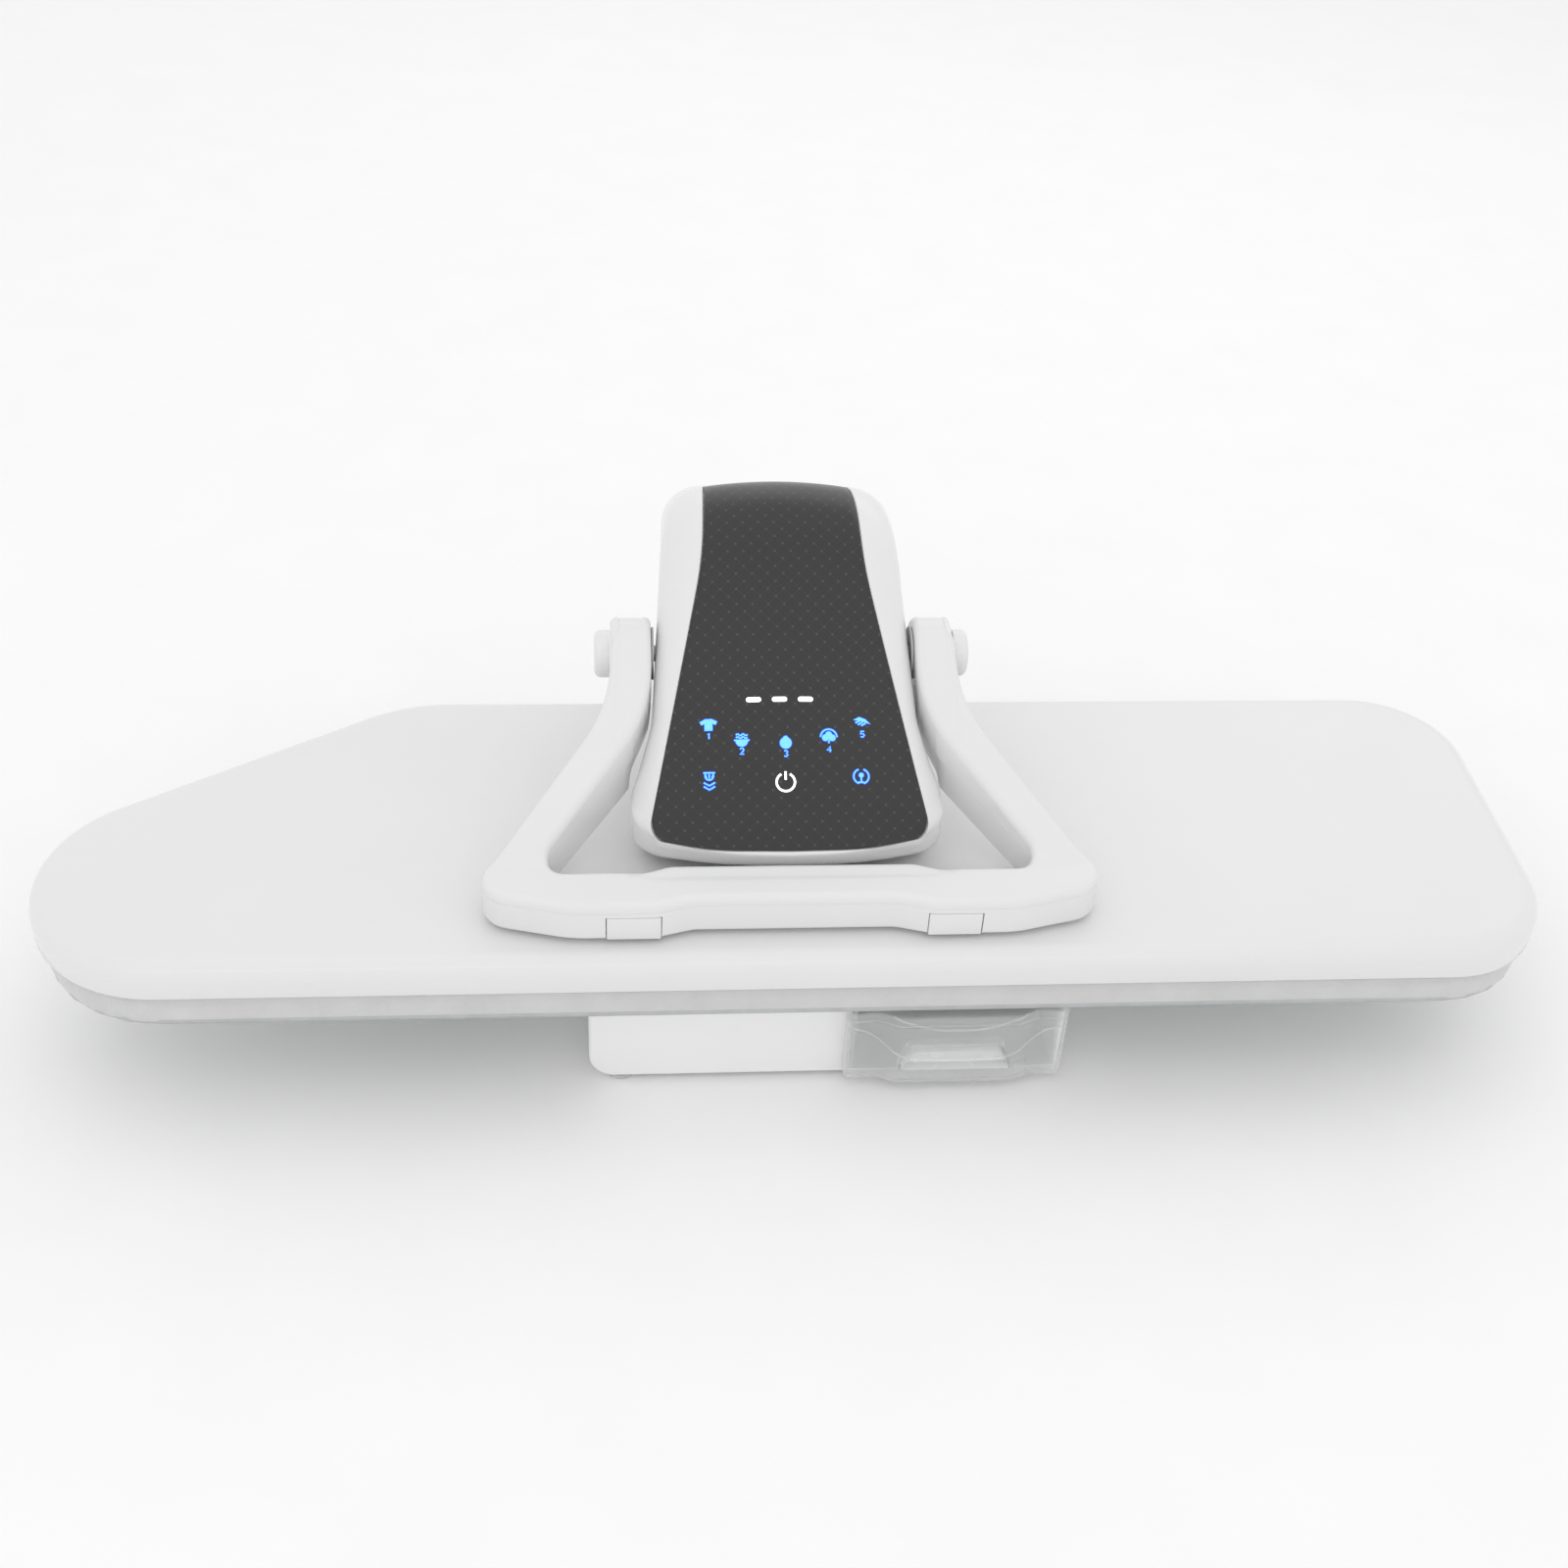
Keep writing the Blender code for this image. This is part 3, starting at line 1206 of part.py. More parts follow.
def make_upper_shell():
    """The head's white top moulding, a band round the dark lens with a ledge under it."""
    sunk = (LENS_THICKNESS + LENS_FIT) / math.cos(TOP_SLOPE)
    sections = []
    lines = zip(belt_line(), chin_line(), chin_line(ARM_WALL), panel_line(), panel_line(LENS_LEDGE))
    for belt, chin, chin_in, panel, ledge in lines:
        edge = top_above(panel.y) - crown(panel.x, panel.y)
        out = belt - panel
        low_edge = min(edge - LENS_THICKNESS, max(edge - out.length, BELT_ABOVE + LENS_THICKNESS))
        rise = edge - low_edge
        belt_in = belt - out.normalized() * ARM_WALL
        ledge_top = top_above(ledge.y) - crown(ledge.x, ledge.y) - sunk
        section = [(chin, ARM_FLOOR_ABOVE), (belt, BELT_ABOVE)]
        section += shoulder(panel, out, low_edge, rise, range(SHOULDER_STEPS + 1))
        section += [(panel, edge - sunk), (ledge, ledge_top), (ledge, ledge_top - ARM_WALL)]
        under = edge - sunk - ARM_WALL
        low_in = min(low_edge, under - LENS_THICKNESS / 2)
        section += shoulder(panel, belt_in - panel, low_in, under - low_in, (SHOULDER_STEPS - 1, 0))
        section += [(belt_in, BELT_ABOVE), (chin_in, ARM_FLOOR_ABOVE)]
        sections.append([(spot.x, spot.y, height) for spot, height in section])
    rows = [both_sides(row) for row in zip(*sections)]
    around = [list(ring) for ring in zip(*rows)]
    shell = lofted("arm_upper_shell", around, "white_gloss")
    pin_hole = rod(
        "pivot_hole", (ARM_X - BELT_WIDEST_HALF, PIVOT_Y, PIVOT_Z),
        (ARM_X + BELT_WIDEST_HALF, PIVOT_Y, PIVOT_Z), PIVOT_SHAFT_RADIUS + GAP,
    )
    combine(shell, pin_hole)


def shoulder(panel, out, low_edge, rise, steps):
    """Points on the quarter round between the head's side and its top."""
    angles = [math.pi / 2 * step / SHOULDER_STEPS for step in steps]
    return [(panel + out * math.cos(a), low_edge + rise * math.sin(a)) for a in angles]


def thicken(target, wall):
    """Gives an open skin a wall on its inner side."""
    step = target.modifiers.new("wall", "SOLIDIFY")
    step.thickness = wall
    step.offset = -1
    step.use_even_offset = True
    step.use_rim = True


def make_lens():
    """The dark touch lens, bent over the top of the head."""
    line = panel_line(LENS_FIT)
    work = bmesh.new()
    rows = []
    for p in line[:-1]:
        row = []
        for column in range(LENS_COLUMNS + 1):
            x = p.x * (2 * column / LENS_COLUMNS - 1)
            height = top_above(p.y) - crown(x, p.y)
            row.append(work.verts.new((ARM_X + x, y_at(p.y), z_at(height))))
        rows.append(row)
    tip = line[-1]
    end = work.verts.new((ARM_X, y_at(tip.y), z_at(top_above(tip.y))))
    for far, near in zip(rows, rows[1:]):
        for column in range(LENS_COLUMNS):
            work.faces.new((near[column], near[column + 1], far[column + 1], far[column]))
    for column in range(LENS_COLUMNS):
        work.faces.new((end, rows[-1][column + 1], rows[-1][column]))
    mesh = bpy.data.meshes.new("touch_lens")
    bmesh.ops.recalc_face_normals(work, faces=work.faces)
    work.to_mesh(mesh)
    work.free()
    lens = place("touch_lens", mesh, "dark_lens")
    mesh.shade_smooth()
    thicken(lens, LENS_THICKNESS)


def make_lower_tray():
    """The head's underside, with an opening for the post that carries the plate."""
    half = chin_line(ARM_WALL + TRAY_FIT)
    plan = [(ARM_X + p.x, y_at(p.y)) for p in half]
    plan = [(ARM_X - p.x, y_at(p.y)) for p in half] + list(reversed(plan[:-1]))
    low = z_at(ARM_FLOOR_ABOVE) + GAP
    tray = slab("arm_lower_tray", plan, low, low + ARM_WALL, "white_satin")
    combine(tray, post_opening("tray_opening"))


def post_opening(name):
    """The opening that the post and the steam hose pass through."""
    half = POST_FLANGE_HALF - OPENING_MARGIN
    deep = POST_WIDTH / 2 + OPENING_MARGIN
    room = STEAM_HOSE_RADIUS * 3
    return box(
        name, (ARM_X - half, y_at(POST_BEHIND) - deep, COVER_BOTTOM),
        (ARM_X + half, y_at(POST_BEHIND) + deep + room, z_at(ARM_FLOOR_ABOVE) + OVERRUN),
    )


def rear_view():
    """The back of the head seen from the side, drawn on past its seam."""
    seam = ARM_SEAM_BEHIND + GAP
    ahead = seam - BARREL_RADIUS
    slope = math.tan(BACK_SLOPE)
    back = HINGE_BEHIND + BARREL_RADIUS
    knee = back - BARREL_RADIUS / 2
    top = top_above(seam)
    top_line = [
        (ahead, top + (seam - ahead) * slope, 0),
        (seam, top, 0),
        (knee, top - (knee - seam) * slope, BARREL_RADIUS),
        (back, HINGE_ABOVE + BARREL_RADIUS, BARREL_RADIUS),
        (back, HINGE_ABOVE, 0),
    ]
    points = rounded(top_line, closed=False)
    reach = math.acos((HINGE_ABOVE - ARM_FLOOR_ABOVE) / BARREL_RADIUS)
    around = arc((HINGE_BEHIND, HINGE_ABOVE), BARREL_RADIUS, 0, -math.pi / 2 - reach, 12)[1:]
    points += around + [(ahead, ARM_FLOOR_ABOVE)]
    return [(y_at(d), z_at(h)) for d, h in reversed(points)]


def rear_body(name, distance, kind=None):
    """The back of the head as one solid, its top crowned, moved inwards by a distance."""
    view = inset(rear_view(), distance) if distance else rear_view()
    edge = BELT_SEAM_HALF - PANEL_SEAM_HALF - distance
    angles = [math.pi / 2 * step / SHOULDER_STEPS for step in range(SHOULDER_STEPS)]
    side = [(edge * (1 - math.sin(a)), PANEL_SEAM_HALF + edge * math.cos(a)) for a in angles]
    rings = [(d, -x) for d, x in side] + [(0, PANEL_SEAM_HALF * share) for share in CROWN_SHARES]
    rings += list(reversed(side))
    full = z_at(top_above(ARM_SEAM_BEHIND)) - HINGE_Z
    rows = []
    for d, x in rings:
        drop = crown(min(abs(x), PANEL_SEAM_HALF), ARM_SEAM_BEHIND)
        ring = inset(view, d) if d else view
        rows.append([(ARM_X + x, y, z - drop * max(0, z - HINGE_Z) / full) for y, z in ring])
    return lofted(name, rows, kind)


def heel_start(radius, wall):
    """A far point on the face that ends the head's heel, and the angle where it meets a circle."""
    far = BARREL_RADIUS * 2
    along = Vector((math.cos(REAR_STOP), math.sin(REAR_STOP)))
    across = Vector((-along.y, along.x))
    point = Vector((HINGE_Y, HINGE_Z)) + along * far + across * wall
    return tuple(point), REAR_STOP + math.asin(wall / radius)


def heel_cut(name, wall):
    """The space behind the barrel that the column's back fills as the head opens."""
    radius = BARREL_RADIUS + GAP / 2 - wall
    behind, start = heel_start(radius, wall)
    around = arc((HINGE_Y, HINGE_Z), radius, start, -REAR_STOP / 2, 10)
    view = [behind, *around, (behind[0], around[-1][1])]
    wide = BELT_SEAM_HALF + OVERRUN
    return slab(name, view, ARM_X - wide, ARM_X + wide, plane="YZ")


def cheek_cut(name, wall, half):
    """The space beside the barrel that the column's cheeks fill, seen from the side."""
    radius = BARREL_RADIUS + COLUMN_GAP + wall
    low = HINGE_Z - BARREL_RADIUS - OVERRUN * 2
    behind, start = heel_start(radius, wall)
    view = [
        behind, *arc((HINGE_Y, HINGE_Z), radius, start, math.pi, 14),
        (HINGE_Y - radius, low), (behind[0], low),
    ]
    wide = BELT_SEAM_HALF + OVERRUN
    left = slab(name, view, ARM_X - wide, ARM_X - half, plane="YZ")
    right = slab(name + "_twin", view, ARM_X + half, ARM_X + wide, plane="YZ")
    combine(left, right, "UNION")
    return left


def make_rear_cover():
    """The back of the head, wide above the cheeks and narrow in the barrel between them."""
    cover = rear_body("arm_rear_cover", 0, "white_gloss")
    seam_y = y_at(ARM_SEAM_BEHIND) + GAP
    ahead = box(
        "seam_cut", (ARM_X - COLUMN_HALF * 2, FRONT_Y, COVER_BOTTOM),
        (ARM_X + COLUMN_HALF * 2, seam_y, z_at(PEAK_BEHIND)),
    )
    combine(cover, ahead)
    combine(cover, cheek_cut("cheek_cut", 0, BARREL_HALF))
    combine(cover, heel_cut("heel_cut", 0))
    room = rear_body("rear_room", ARM_WALL)
    combine(room, cheek_cut("cheek_room", ARM_WALL, BARREL_HALF - ARM_WALL))
    combine(room, heel_cut("heel_room", ARM_WALL))
    combine(cover, room)
    bore = rod(
        "barrel_bore", (ARM_X - COLUMN_HALF, HINGE_Y, HINGE_Z), (ARM_X + COLUMN_HALF, HINGE_Y, HINGE_Z),
        SHAFT_RADIUS + GAP * 2,
    )
    combine(cover, bore)


def make_arm_frame():
    """The steel channel from the hinge to the post, with ears for the handle's shaft."""
    low, high = z_at(CHANNEL_LOW), z_at(CHANNEL_HIGH)
    front = y_at(CHANNEL_FRONT)
    view = [
        (front, low), (HINGE_Y, low), (HINGE_Y + HUB_RADIUS, HINGE_Z), (HINGE_Y, high),
        (PIVOT_Y + EAR_HALF_WIDTH * 2, high), (PIVOT_Y + EAR_HALF_WIDTH, PIVOT_Z),
        *arc((PIVOT_Y, PIVOT_Z), EAR_HALF_WIDTH, 0, math.pi, 6)[1:-1],
        (PIVOT_Y - EAR_HALF_WIDTH, PIVOT_Z), (PIVOT_Y - EAR_HALF_WIDTH * 2, high), (front, high),
    ]
    outer, inner = CHANNEL_HALF, CHANNEL_HALF - CHANNEL_PLATE
    frame = slab("arm_frame", view, ARM_X - outer, ARM_X - inner, "steel", "YZ")
    twin = slab("channel_twin", view, ARM_X + inner, ARM_X + outer, plane="YZ")
    web = box(
        "channel_web", (ARM_X - outer + CHANNEL_PLATE / 2, y_at(POST_BEHIND + WEB_BEHIND_POST), low),
        (ARM_X + outer - CHANNEL_PLATE / 2, HINGE_Y - HUB_RADIUS, low + CHANNEL_PLATE),
    )
    far = BARREL_HALF - ARM_WALL - GAP
    bosses = [
        rod("hinge_boss", (ARM_X + side * inner, HINGE_Y, HINGE_Z), (ARM_X + side * far, HINGE_Y, HINGE_Z),
            HUB_RADIUS, sides=20)
        for side in (-1, 1)
    ]
    for piece in (twin, web, *bosses):
        combine(frame, piece, "UNION")
    for name, spot, radius in (
        ("shaft_bore", (HINGE_Y, HINGE_Z), SHAFT_RADIUS + RUNNING),
        ("pivot_bore", (PIVOT_Y, PIVOT_Z), PIVOT_SHAFT_RADIUS + GAP),
        ("swivel_bore", (y_at(POST_BEHIND), z_at(POST_ABOVE)), SWIVEL_RADIUS + GAP),
    ):
        drill = rod(
            name, (ARM_X - COLUMN_HALF, *spot), (ARM_X + COLUMN_HALF, *spot), radius, sides=24,
        )
        combine(frame, drill)


def make_plate():
    """Cover, hot plate, heater, steam chamber, blanket and the post that carries them."""
    outline = board_outline(0)
    rows = [(0, COVER_BOTTOM)] + round_edge(COVER_EDGE, COVER_TOP - COVER_EDGE, COVER_TOP)
    inner_edge = COVER_EDGE - COVER_WALL
    rows_in = [(COVER_WALL, COVER_BOTTOM)] + [
        (COVER_WALL + d, z)
        for d, z in round_edge(inner_edge, COVER_TOP - COVER_EDGE, COVER_TOP - COVER_WALL)
    ]
    levels = list(reversed(rows_in)) + rows
    cover = lofted("press_cover", rings_at(outline, levels), "white_gloss")
    combine(cover, post_opening("cover_opening"))

    shoe_low = COVER_BOTTOM - SHOE_PROUD
    shoe_top = shoe_low + SHOE_THICKNESS
    plan = board_outline(COVER_WALL + SHOE_INSET)
    shoe = slab("hot_plate", plan, shoe_low, shoe_top, "aluminium")
    cut = None
    for index in range(STEAM_HOLE_COUNT):
        x = ARM_X + (index - (STEAM_HOLE_COUNT - 1) / 2) * STEAM_HOLE_SPACING
        for row in (-1, 0, 1):
            shift = STEAM_HOLE_SPACING / 4 if row else 0
            y = y_at(COVER_DEPTH / 2) + row * STEAM_HOLE_ROW
            drill = rod(
                "steam_hole", (x + shift, y, shoe_low - OVERRUN), (x + shift, y, shoe_top + GAP),
                STEAM_HOLE_RADIUS, sides=6,
            )
            if cut is None:
                cut = drill
            else:
                merge_into(cut, drill)
    combine(shoe, cut)
    seat = shoe_top + GAP
    make_heater(seat)
    chamber_y = y_at(CHAMBER_BEHIND)
    for name, side in (("steam_chamber_left", -1), ("steam_chamber_right", 1)):
        x = ARM_X + side * CHAMBER_X
        lid = box(
            name, (x - CHAMBER_LENGTH / 2, chamber_y, seat),
            (x + CHAMBER_LENGTH / 2, chamber_y + CHAMBER_WIDTH, seat + CHAMBER_HEIGHT), "steel",
        )
        room = box(
            name + "_room",
            (x - CHAMBER_LENGTH / 2 + CHANNEL_PLATE, chamber_y + CHANNEL_PLATE, seat - OVERRUN),
            (x + CHAMBER_LENGTH / 2 - CHANNEL_PLATE, chamber_y + CHAMBER_WIDTH - CHANNEL_PLATE,
             seat + CHAMBER_HEIGHT - CHANNEL_PLATE / 2),
        )
        combine(lid, room)
    blanket_low = COVER_TOP - COVER_WALL - GAP - BLANKET_THICKNESS
    blanket = slab(
        "heat_blanket", board_outline(BLANKET_INSET), blanket_low, blanket_low + BLANKET_THICKNESS, "felt",
    )
    combine(blanket, post_opening("blanket_opening"))
    middle = y_at(COVER_DEPTH / 2)
    spots = [(side * COVER_POST_X, middle) for side in (-1, 1)]
    spots += [(side * COVER_POST_NEAR_X, middle + COVER_POST_Y) for side in (-1, 1)]
    for x, y in spots:
        post = rod(
            "cover_post", (ARM_X + x, y, seat), (ARM_X + x, y, COVER_TOP - COVER_WALL / 2),
            COVER_POST_RADIUS, sides=12,
        )
        combine(cover, post, "UNION")
        hole = rod(
            "post_hole", (ARM_X + x, y, seat), (ARM_X + x, y, COVER_TOP), COVER_POST_RADIUS + GAP * 2,
            sides=12,
        )
        combine(blanket, hole)
    make_post(seat)
    make_steam_hose(seat)


def merge_into(owner, other):
    """Adds another mesh to a cutter as a separate body."""
    work = bmesh.new()
    work.from_mesh(owner.data)
    extra = other.data.copy()
    extra.transform(owner.matrix_world.inverted() @ other.matrix_world)
    work.from_mesh(extra)
    work.to_mesh(owner.data)
    work.free()
    bpy.data.objects.remove(other)


def make_heater(seat):
    """The bent heating bar and the thermostat on the hot plate."""
    middle = y_at(COVER_DEPTH / 2)
    bend = HEATER_HALF_WIDTH
    z = seat + HEATER_RADIUS
    points = []
    left = ARM_X - HEATER_HALF_LENGTH
    right = ARM_X + HEATER_HALF_LENGTH
    points.append((right, middle - bend, z))
    points.append((left, middle - bend, z))
    for step in range(1, 8):
        angle = -math.pi / 2 - math.pi * step / 8
        points.append((left + bend * math.cos(angle), middle + bend * math.sin(angle), z))
    points.append((left, middle + bend, z))
    points.append((right, middle + bend, z))
    tube("heating_bar", points, HEATER_RADIUS, "steel", 1)
    turned(
        "thermostat",
        [(0, THERMOSTAT_HEIGHT), (THERMOSTAT_CAN_RADIUS, THERMOSTAT_HEIGHT),
         (THERMOSTAT_CAN_RADIUS, THERMOSTAT_HEIGHT / 2), (THERMOSTAT_RADIUS, THERMOSTAT_HEIGHT / 2),
         (THERMOSTAT_RADIUS, 0), (0, 0)],
        Matrix.Translation((ARM_X + THERMOSTAT_X, middle, seat)), "black_plastic", steps=16,
    )


def make_post(seat):
    """The post on the hot plate and the pin that hangs it in the head's channel."""
    y, z = y_at(POST_BEHIND), z_at(POST_ABOVE)
    post = box(
        "plate_post", (ARM_X - POST_HALF, y - POST_WIDTH / 2, seat),
        (ARM_X + POST_HALF, y + POST_WIDTH / 2, z + SWIVEL_RADIUS * 2), "aluminium",
    )
    flange = box(
        "post_flange", (ARM_X - POST_FLANGE_HALF, y - POST_WIDTH, seat),
        (ARM_X + POST_FLANGE_HALF, y + POST_WIDTH, seat + POST_FLANGE),
    )
    combine(post, flange, "UNION")
    drill = rod(
        "post_bore", (ARM_X - COLUMN_HALF, y, z), (ARM_X + COLUMN_HALF, y, z), SWIVEL_RADIUS + GAP,
        sides=20,
    )
    combine(post, drill)
    reach = CHANNEL_HALF + SWIVEL_RADIUS
    rod("swivel_pin", (ARM_X - reach, y, z), (ARM_X + reach, y, z), SWIVEL_RADIUS, "steel")


def make_steam_hose(seat):
    """The hose that brings water from the hinge down to the hot plate's chambers."""
    y = y_at(POST_BEHIND) + POST_WIDTH / 2 + STEAM_HOSE_RADIUS * 3
    height = z_at(CHANNEL_LOW) + CHANNEL_PLATE + STEAM_HOSE_RADIUS * 2
    guides = [
        (ARM_X, HINGE_Y - SHAFT_RADIUS * 2 - HOSE_RADIUS, HINGE_Z + STEAM_HOSE_RADIUS * 2),
        (ARM_X, HINGE_Y - SHAFT_RADIUS * 5, HINGE_Z + STEAM_HOSE_RADIUS),
        (ARM_X, y + STEAM_HOSE_RADIUS * 6, height),
        (ARM_X, y + STEAM_HOSE_RADIUS, height - STEAM_HOSE_RADIUS * 2),
        (ARM_X, y, z_at(0)),
        (ARM_X, y, seat + POST_FLANGE + HOSE_GAP),
    ]
    tube("steam_hose", smooth_path(guides, 3), STEAM_HOSE_RADIUS, "silicone", 1)


def sloped_box(name, behind, half, length, low, high, kind):
    """A block lying parallel to the head's sloping top, below it."""
    made = box(name, (-half, -length / 2, -high), (half, length / 2, -low), kind)
    turn = Matrix.Rotation(TOP_SLOPE, 4, "X")
    spot = Matrix.Translation((ARM_X, y_at(behind), z_at(top_above(behind))))
    made.matrix_world = spot @ turn @ made.matrix_world
    return made


def make_electronics():
    """Control board, display and speaker under the touch lens."""
    length = (PCB_BACK - PCB_FRONT) / math.cos(TOP_SLOPE)
    crown_room = crown(PCB_HALF, PCB_BACK) + LENS_THICKNESS + BOARD_CLEAR
    middle = (PCB_BACK + PCB_FRONT) / 2
    sloped_box("control_board", middle, PCB_HALF, length, crown_room, crown_room + PCB, "circuit_board")
    display_low = LENS_THICKNESS + GAP + crown(DISPLAY_HALF, PCB_BACK)
    sloped_box(
        "display_module", DISPLAY_BEHIND, DISPLAY_HALF, DISPLAY_DEPTH, display_low, crown_room - GAP,
        "black_plastic",
    )
    tray_top = z_at(ARM_FLOOR_ABOVE) + GAP * 2 + ARM_WALL
    turned(
        "speaker",
        [(0, SPEAKER_HEIGHT), (SPEAKER_RADIUS / 2, SPEAKER_HEIGHT),
         (SPEAKER_RADIUS / 2, SPEAKER_HEIGHT / 2), (SPEAKER_RADIUS, SPEAKER_HEIGHT / 3),
         (SPEAKER_RADIUS, 0), (0, 0)],
        Matrix.Translation((ARM_X - SPEAKER_X, y_at(SPEAKER_BEHIND), tray_top)), "black_plastic", steps=16,
    )


# Handle

def handle_plan(distance):
    """The handle seen from above: two arms that spread towards a wide grip with a recessed middle."""
    end = PIVOT_BEHIND + HANDLE_END_RADIUS
    inner_x = HANDLE_HALF - GRIP_END
    slope = (inner_x - HANDLE_INNER_HALF) / (HANDLE_INNER_BEND - GRIP_BACK)
    outer_reach = HANDLE_OUTER_BEND - (HANDLE_HALF - HANDLE_OUTER_HALF) / slope
    shoulder_x = HANDLE_HALF - GRIP_SHOULDER_SIDE
    half = [
        (HANDLE_OUTER_HALF, end, 0),
        (HANDLE_OUTER_HALF, HANDLE_OUTER_BEND, HANDLE_BEND_RADIUS),
        (HANDLE_HALF, outer_reach, HANDLE_ELBOW_RADIUS),
        (HANDLE_HALF, HANDLE_CORNER_FRONT, HANDLE_CORNER_RADIUS),
        (shoulder_x, GRIP_FRONT, HANDLE_BEND_RADIUS),
        (GRIP_WAVE_OUTER, GRIP_FRONT, GRIP_WAVE_RADIUS),
        (GRIP_WAVE_INNER, GRIP_MIDDLE_FRONT, GRIP_WAVE_RADIUS),
    ]
    inner = [
        (GRIP_BACK_WAVE_INNER, GRIP_MIDDLE_BACK, GRIP_WAVE_RADIUS),
        (GRIP_BACK_WAVE_OUTER, GRIP_BACK, GRIP_WAVE_RADIUS),
        (inner_x, GRIP_BACK, GRIP_CORNER_RADIUS),
        (HANDLE_INNER_HALF, HANDLE_INNER_BEND, HANDLE_BEND_RADIUS),
        (HANDLE_INNER_HALF, end, 0),
    ]
    front = half + [(-x, d, r) for x, d, r in reversed(half)]
    back = [(-x, d, r) for x, d, r in reversed(inner)] + inner
    points = list(reversed(rounded([(ARM_X + x, y_at(d), r) for x, d, r in front + back])))
    return inset(points, distance) if distance else points


def handle_side(distance):
    """The handle seen from the side: a flat grip, then arms that climb to the round pivot end."""
    radius = HANDLE_END_RADIUS - distance
    centre = (PIVOT_BEHIND, PIVOT_ABOVE)
    low_knee = (GRIP_UNDER_BEHIND, GRIP_LOW + distance)
    high_knee = (GRIP_RISE_BEHIND, GRIP_HIGH - distance)
    touch_low = tangent_point(low_knee, centre, radius, -1)
    touch_high = tangent_point(high_knee, centre, radius, 1)
    start = math.atan2(touch_low[1] - centre[1], touch_low[0] - centre[0])
    end = math.atan2(touch_high[1] - centre[1], touch_high[0] - centre[0])
    lower = rounded(
        [(-OVERRUN, low_knee[1], 0), (*low_knee, HANDLE_KNEE_RADIUS), (*touch_low, 0)], closed=False,
    )
    upper = rounded(
        [(*touch_high, 0), (*high_knee, HANDLE_KNEE_RADIUS / 2), (-OVERRUN, high_knee[1], 0)],
        closed=False,
    )
    points = lower + arc(centre, radius, start, end, 10)[1:-1] + upper
    return [(y_at(d), z_at(h)) for d, h in points]


def handle_parting(distance):
    """The line between the handle's two shells, seen from the side, and all that lies above it."""
    knee = (GRIP_RISE_BEHIND, HANDLE_PART_ABOVE + distance)
    far = (PIVOT_BEHIND + HANDLE_END_RADIUS + OVERRUN, PIVOT_ABOVE + OVERRUN + distance)
    high = PIVOT_ABOVE + HANDLE_END_RADIUS + OVERRUN
    line = [(-OVERRUN * 2, knee[1], 0), (*knee, HANDLE_KNEE_RADIUS / 2), (*far, 0)]
    points = rounded(line, closed=False) + [(far[0], high), (-OVERRUN * 2, high)]
    return [(y_at(d), z_at(h)) for d, h in points]


def handle_body(name, distance, kind=None):
    """The handle as one solid, moved inwards by a distance."""
    wide = HANDLE_HALF + OVERRUN
    body = slab(
        name, handle_plan(distance), z_at(-OVERRUN / 2), z_at(PIVOT_ABOVE + HANDLE_END_RADIUS + OVERRUN),
        kind,
    )
    side = slab(name + "_side", handle_side(distance), ARM_X - wide, ARM_X + wide, plane="YZ")
    combine(body, side, "INTERSECT")
    tip = PIVOT_ABOVE + HANDLE_END_RADIUS - distance
    far = HANDLE_OUTER_HALF + END_CHAMFER - distance
    near = HANDLE_OUTER_HALF - END_CHAMFER - distance / 2
    knee = tip - END_CHAMFER_DROP
    front_view = [
        (-wide, -OVERRUN), (wide, -OVERRUN), (wide, knee - END_CHAMFER / 2), (far, knee),
        (near, tip), (near, tip + OVERRUN * 2), (-near, tip + OVERRUN * 2), (-near, tip),
        (-far, knee), (-wide, knee - END_CHAMFER / 2),
    ]
    view = [(ARM_X + x, z_at(h)) for x, h in front_view]
    front = slab(name + "_front", view, FRONT_Y - OVERRUN, PIVOT_Y + HANDLE_END_RADIUS * 2, plane="XZ")
    combine(body, front, "INTERSECT")
    return body


def swing_space(name, distance):
    """The space that the head fills as the handle swings past it, spun about the pivot."""
    far = PIVOT_BEHIND - BELT_CORNER_FRONT
    half = []
    for step in range(SWING_STEPS + 1):
        radius = far * step / SWING_STEPS
        half.append((radius, head_half_at(PIVOT_BEHIND - radius) + SWING_CLEARANCE + distance))
    profile = [(r, x) for r, x in half] + [(r, -x) for r, x in reversed(half)]
    return turned(name, profile, facing((ARM_X, PIVOT_Y, PIVOT_Z), (1, 0, 0)), steps=24)


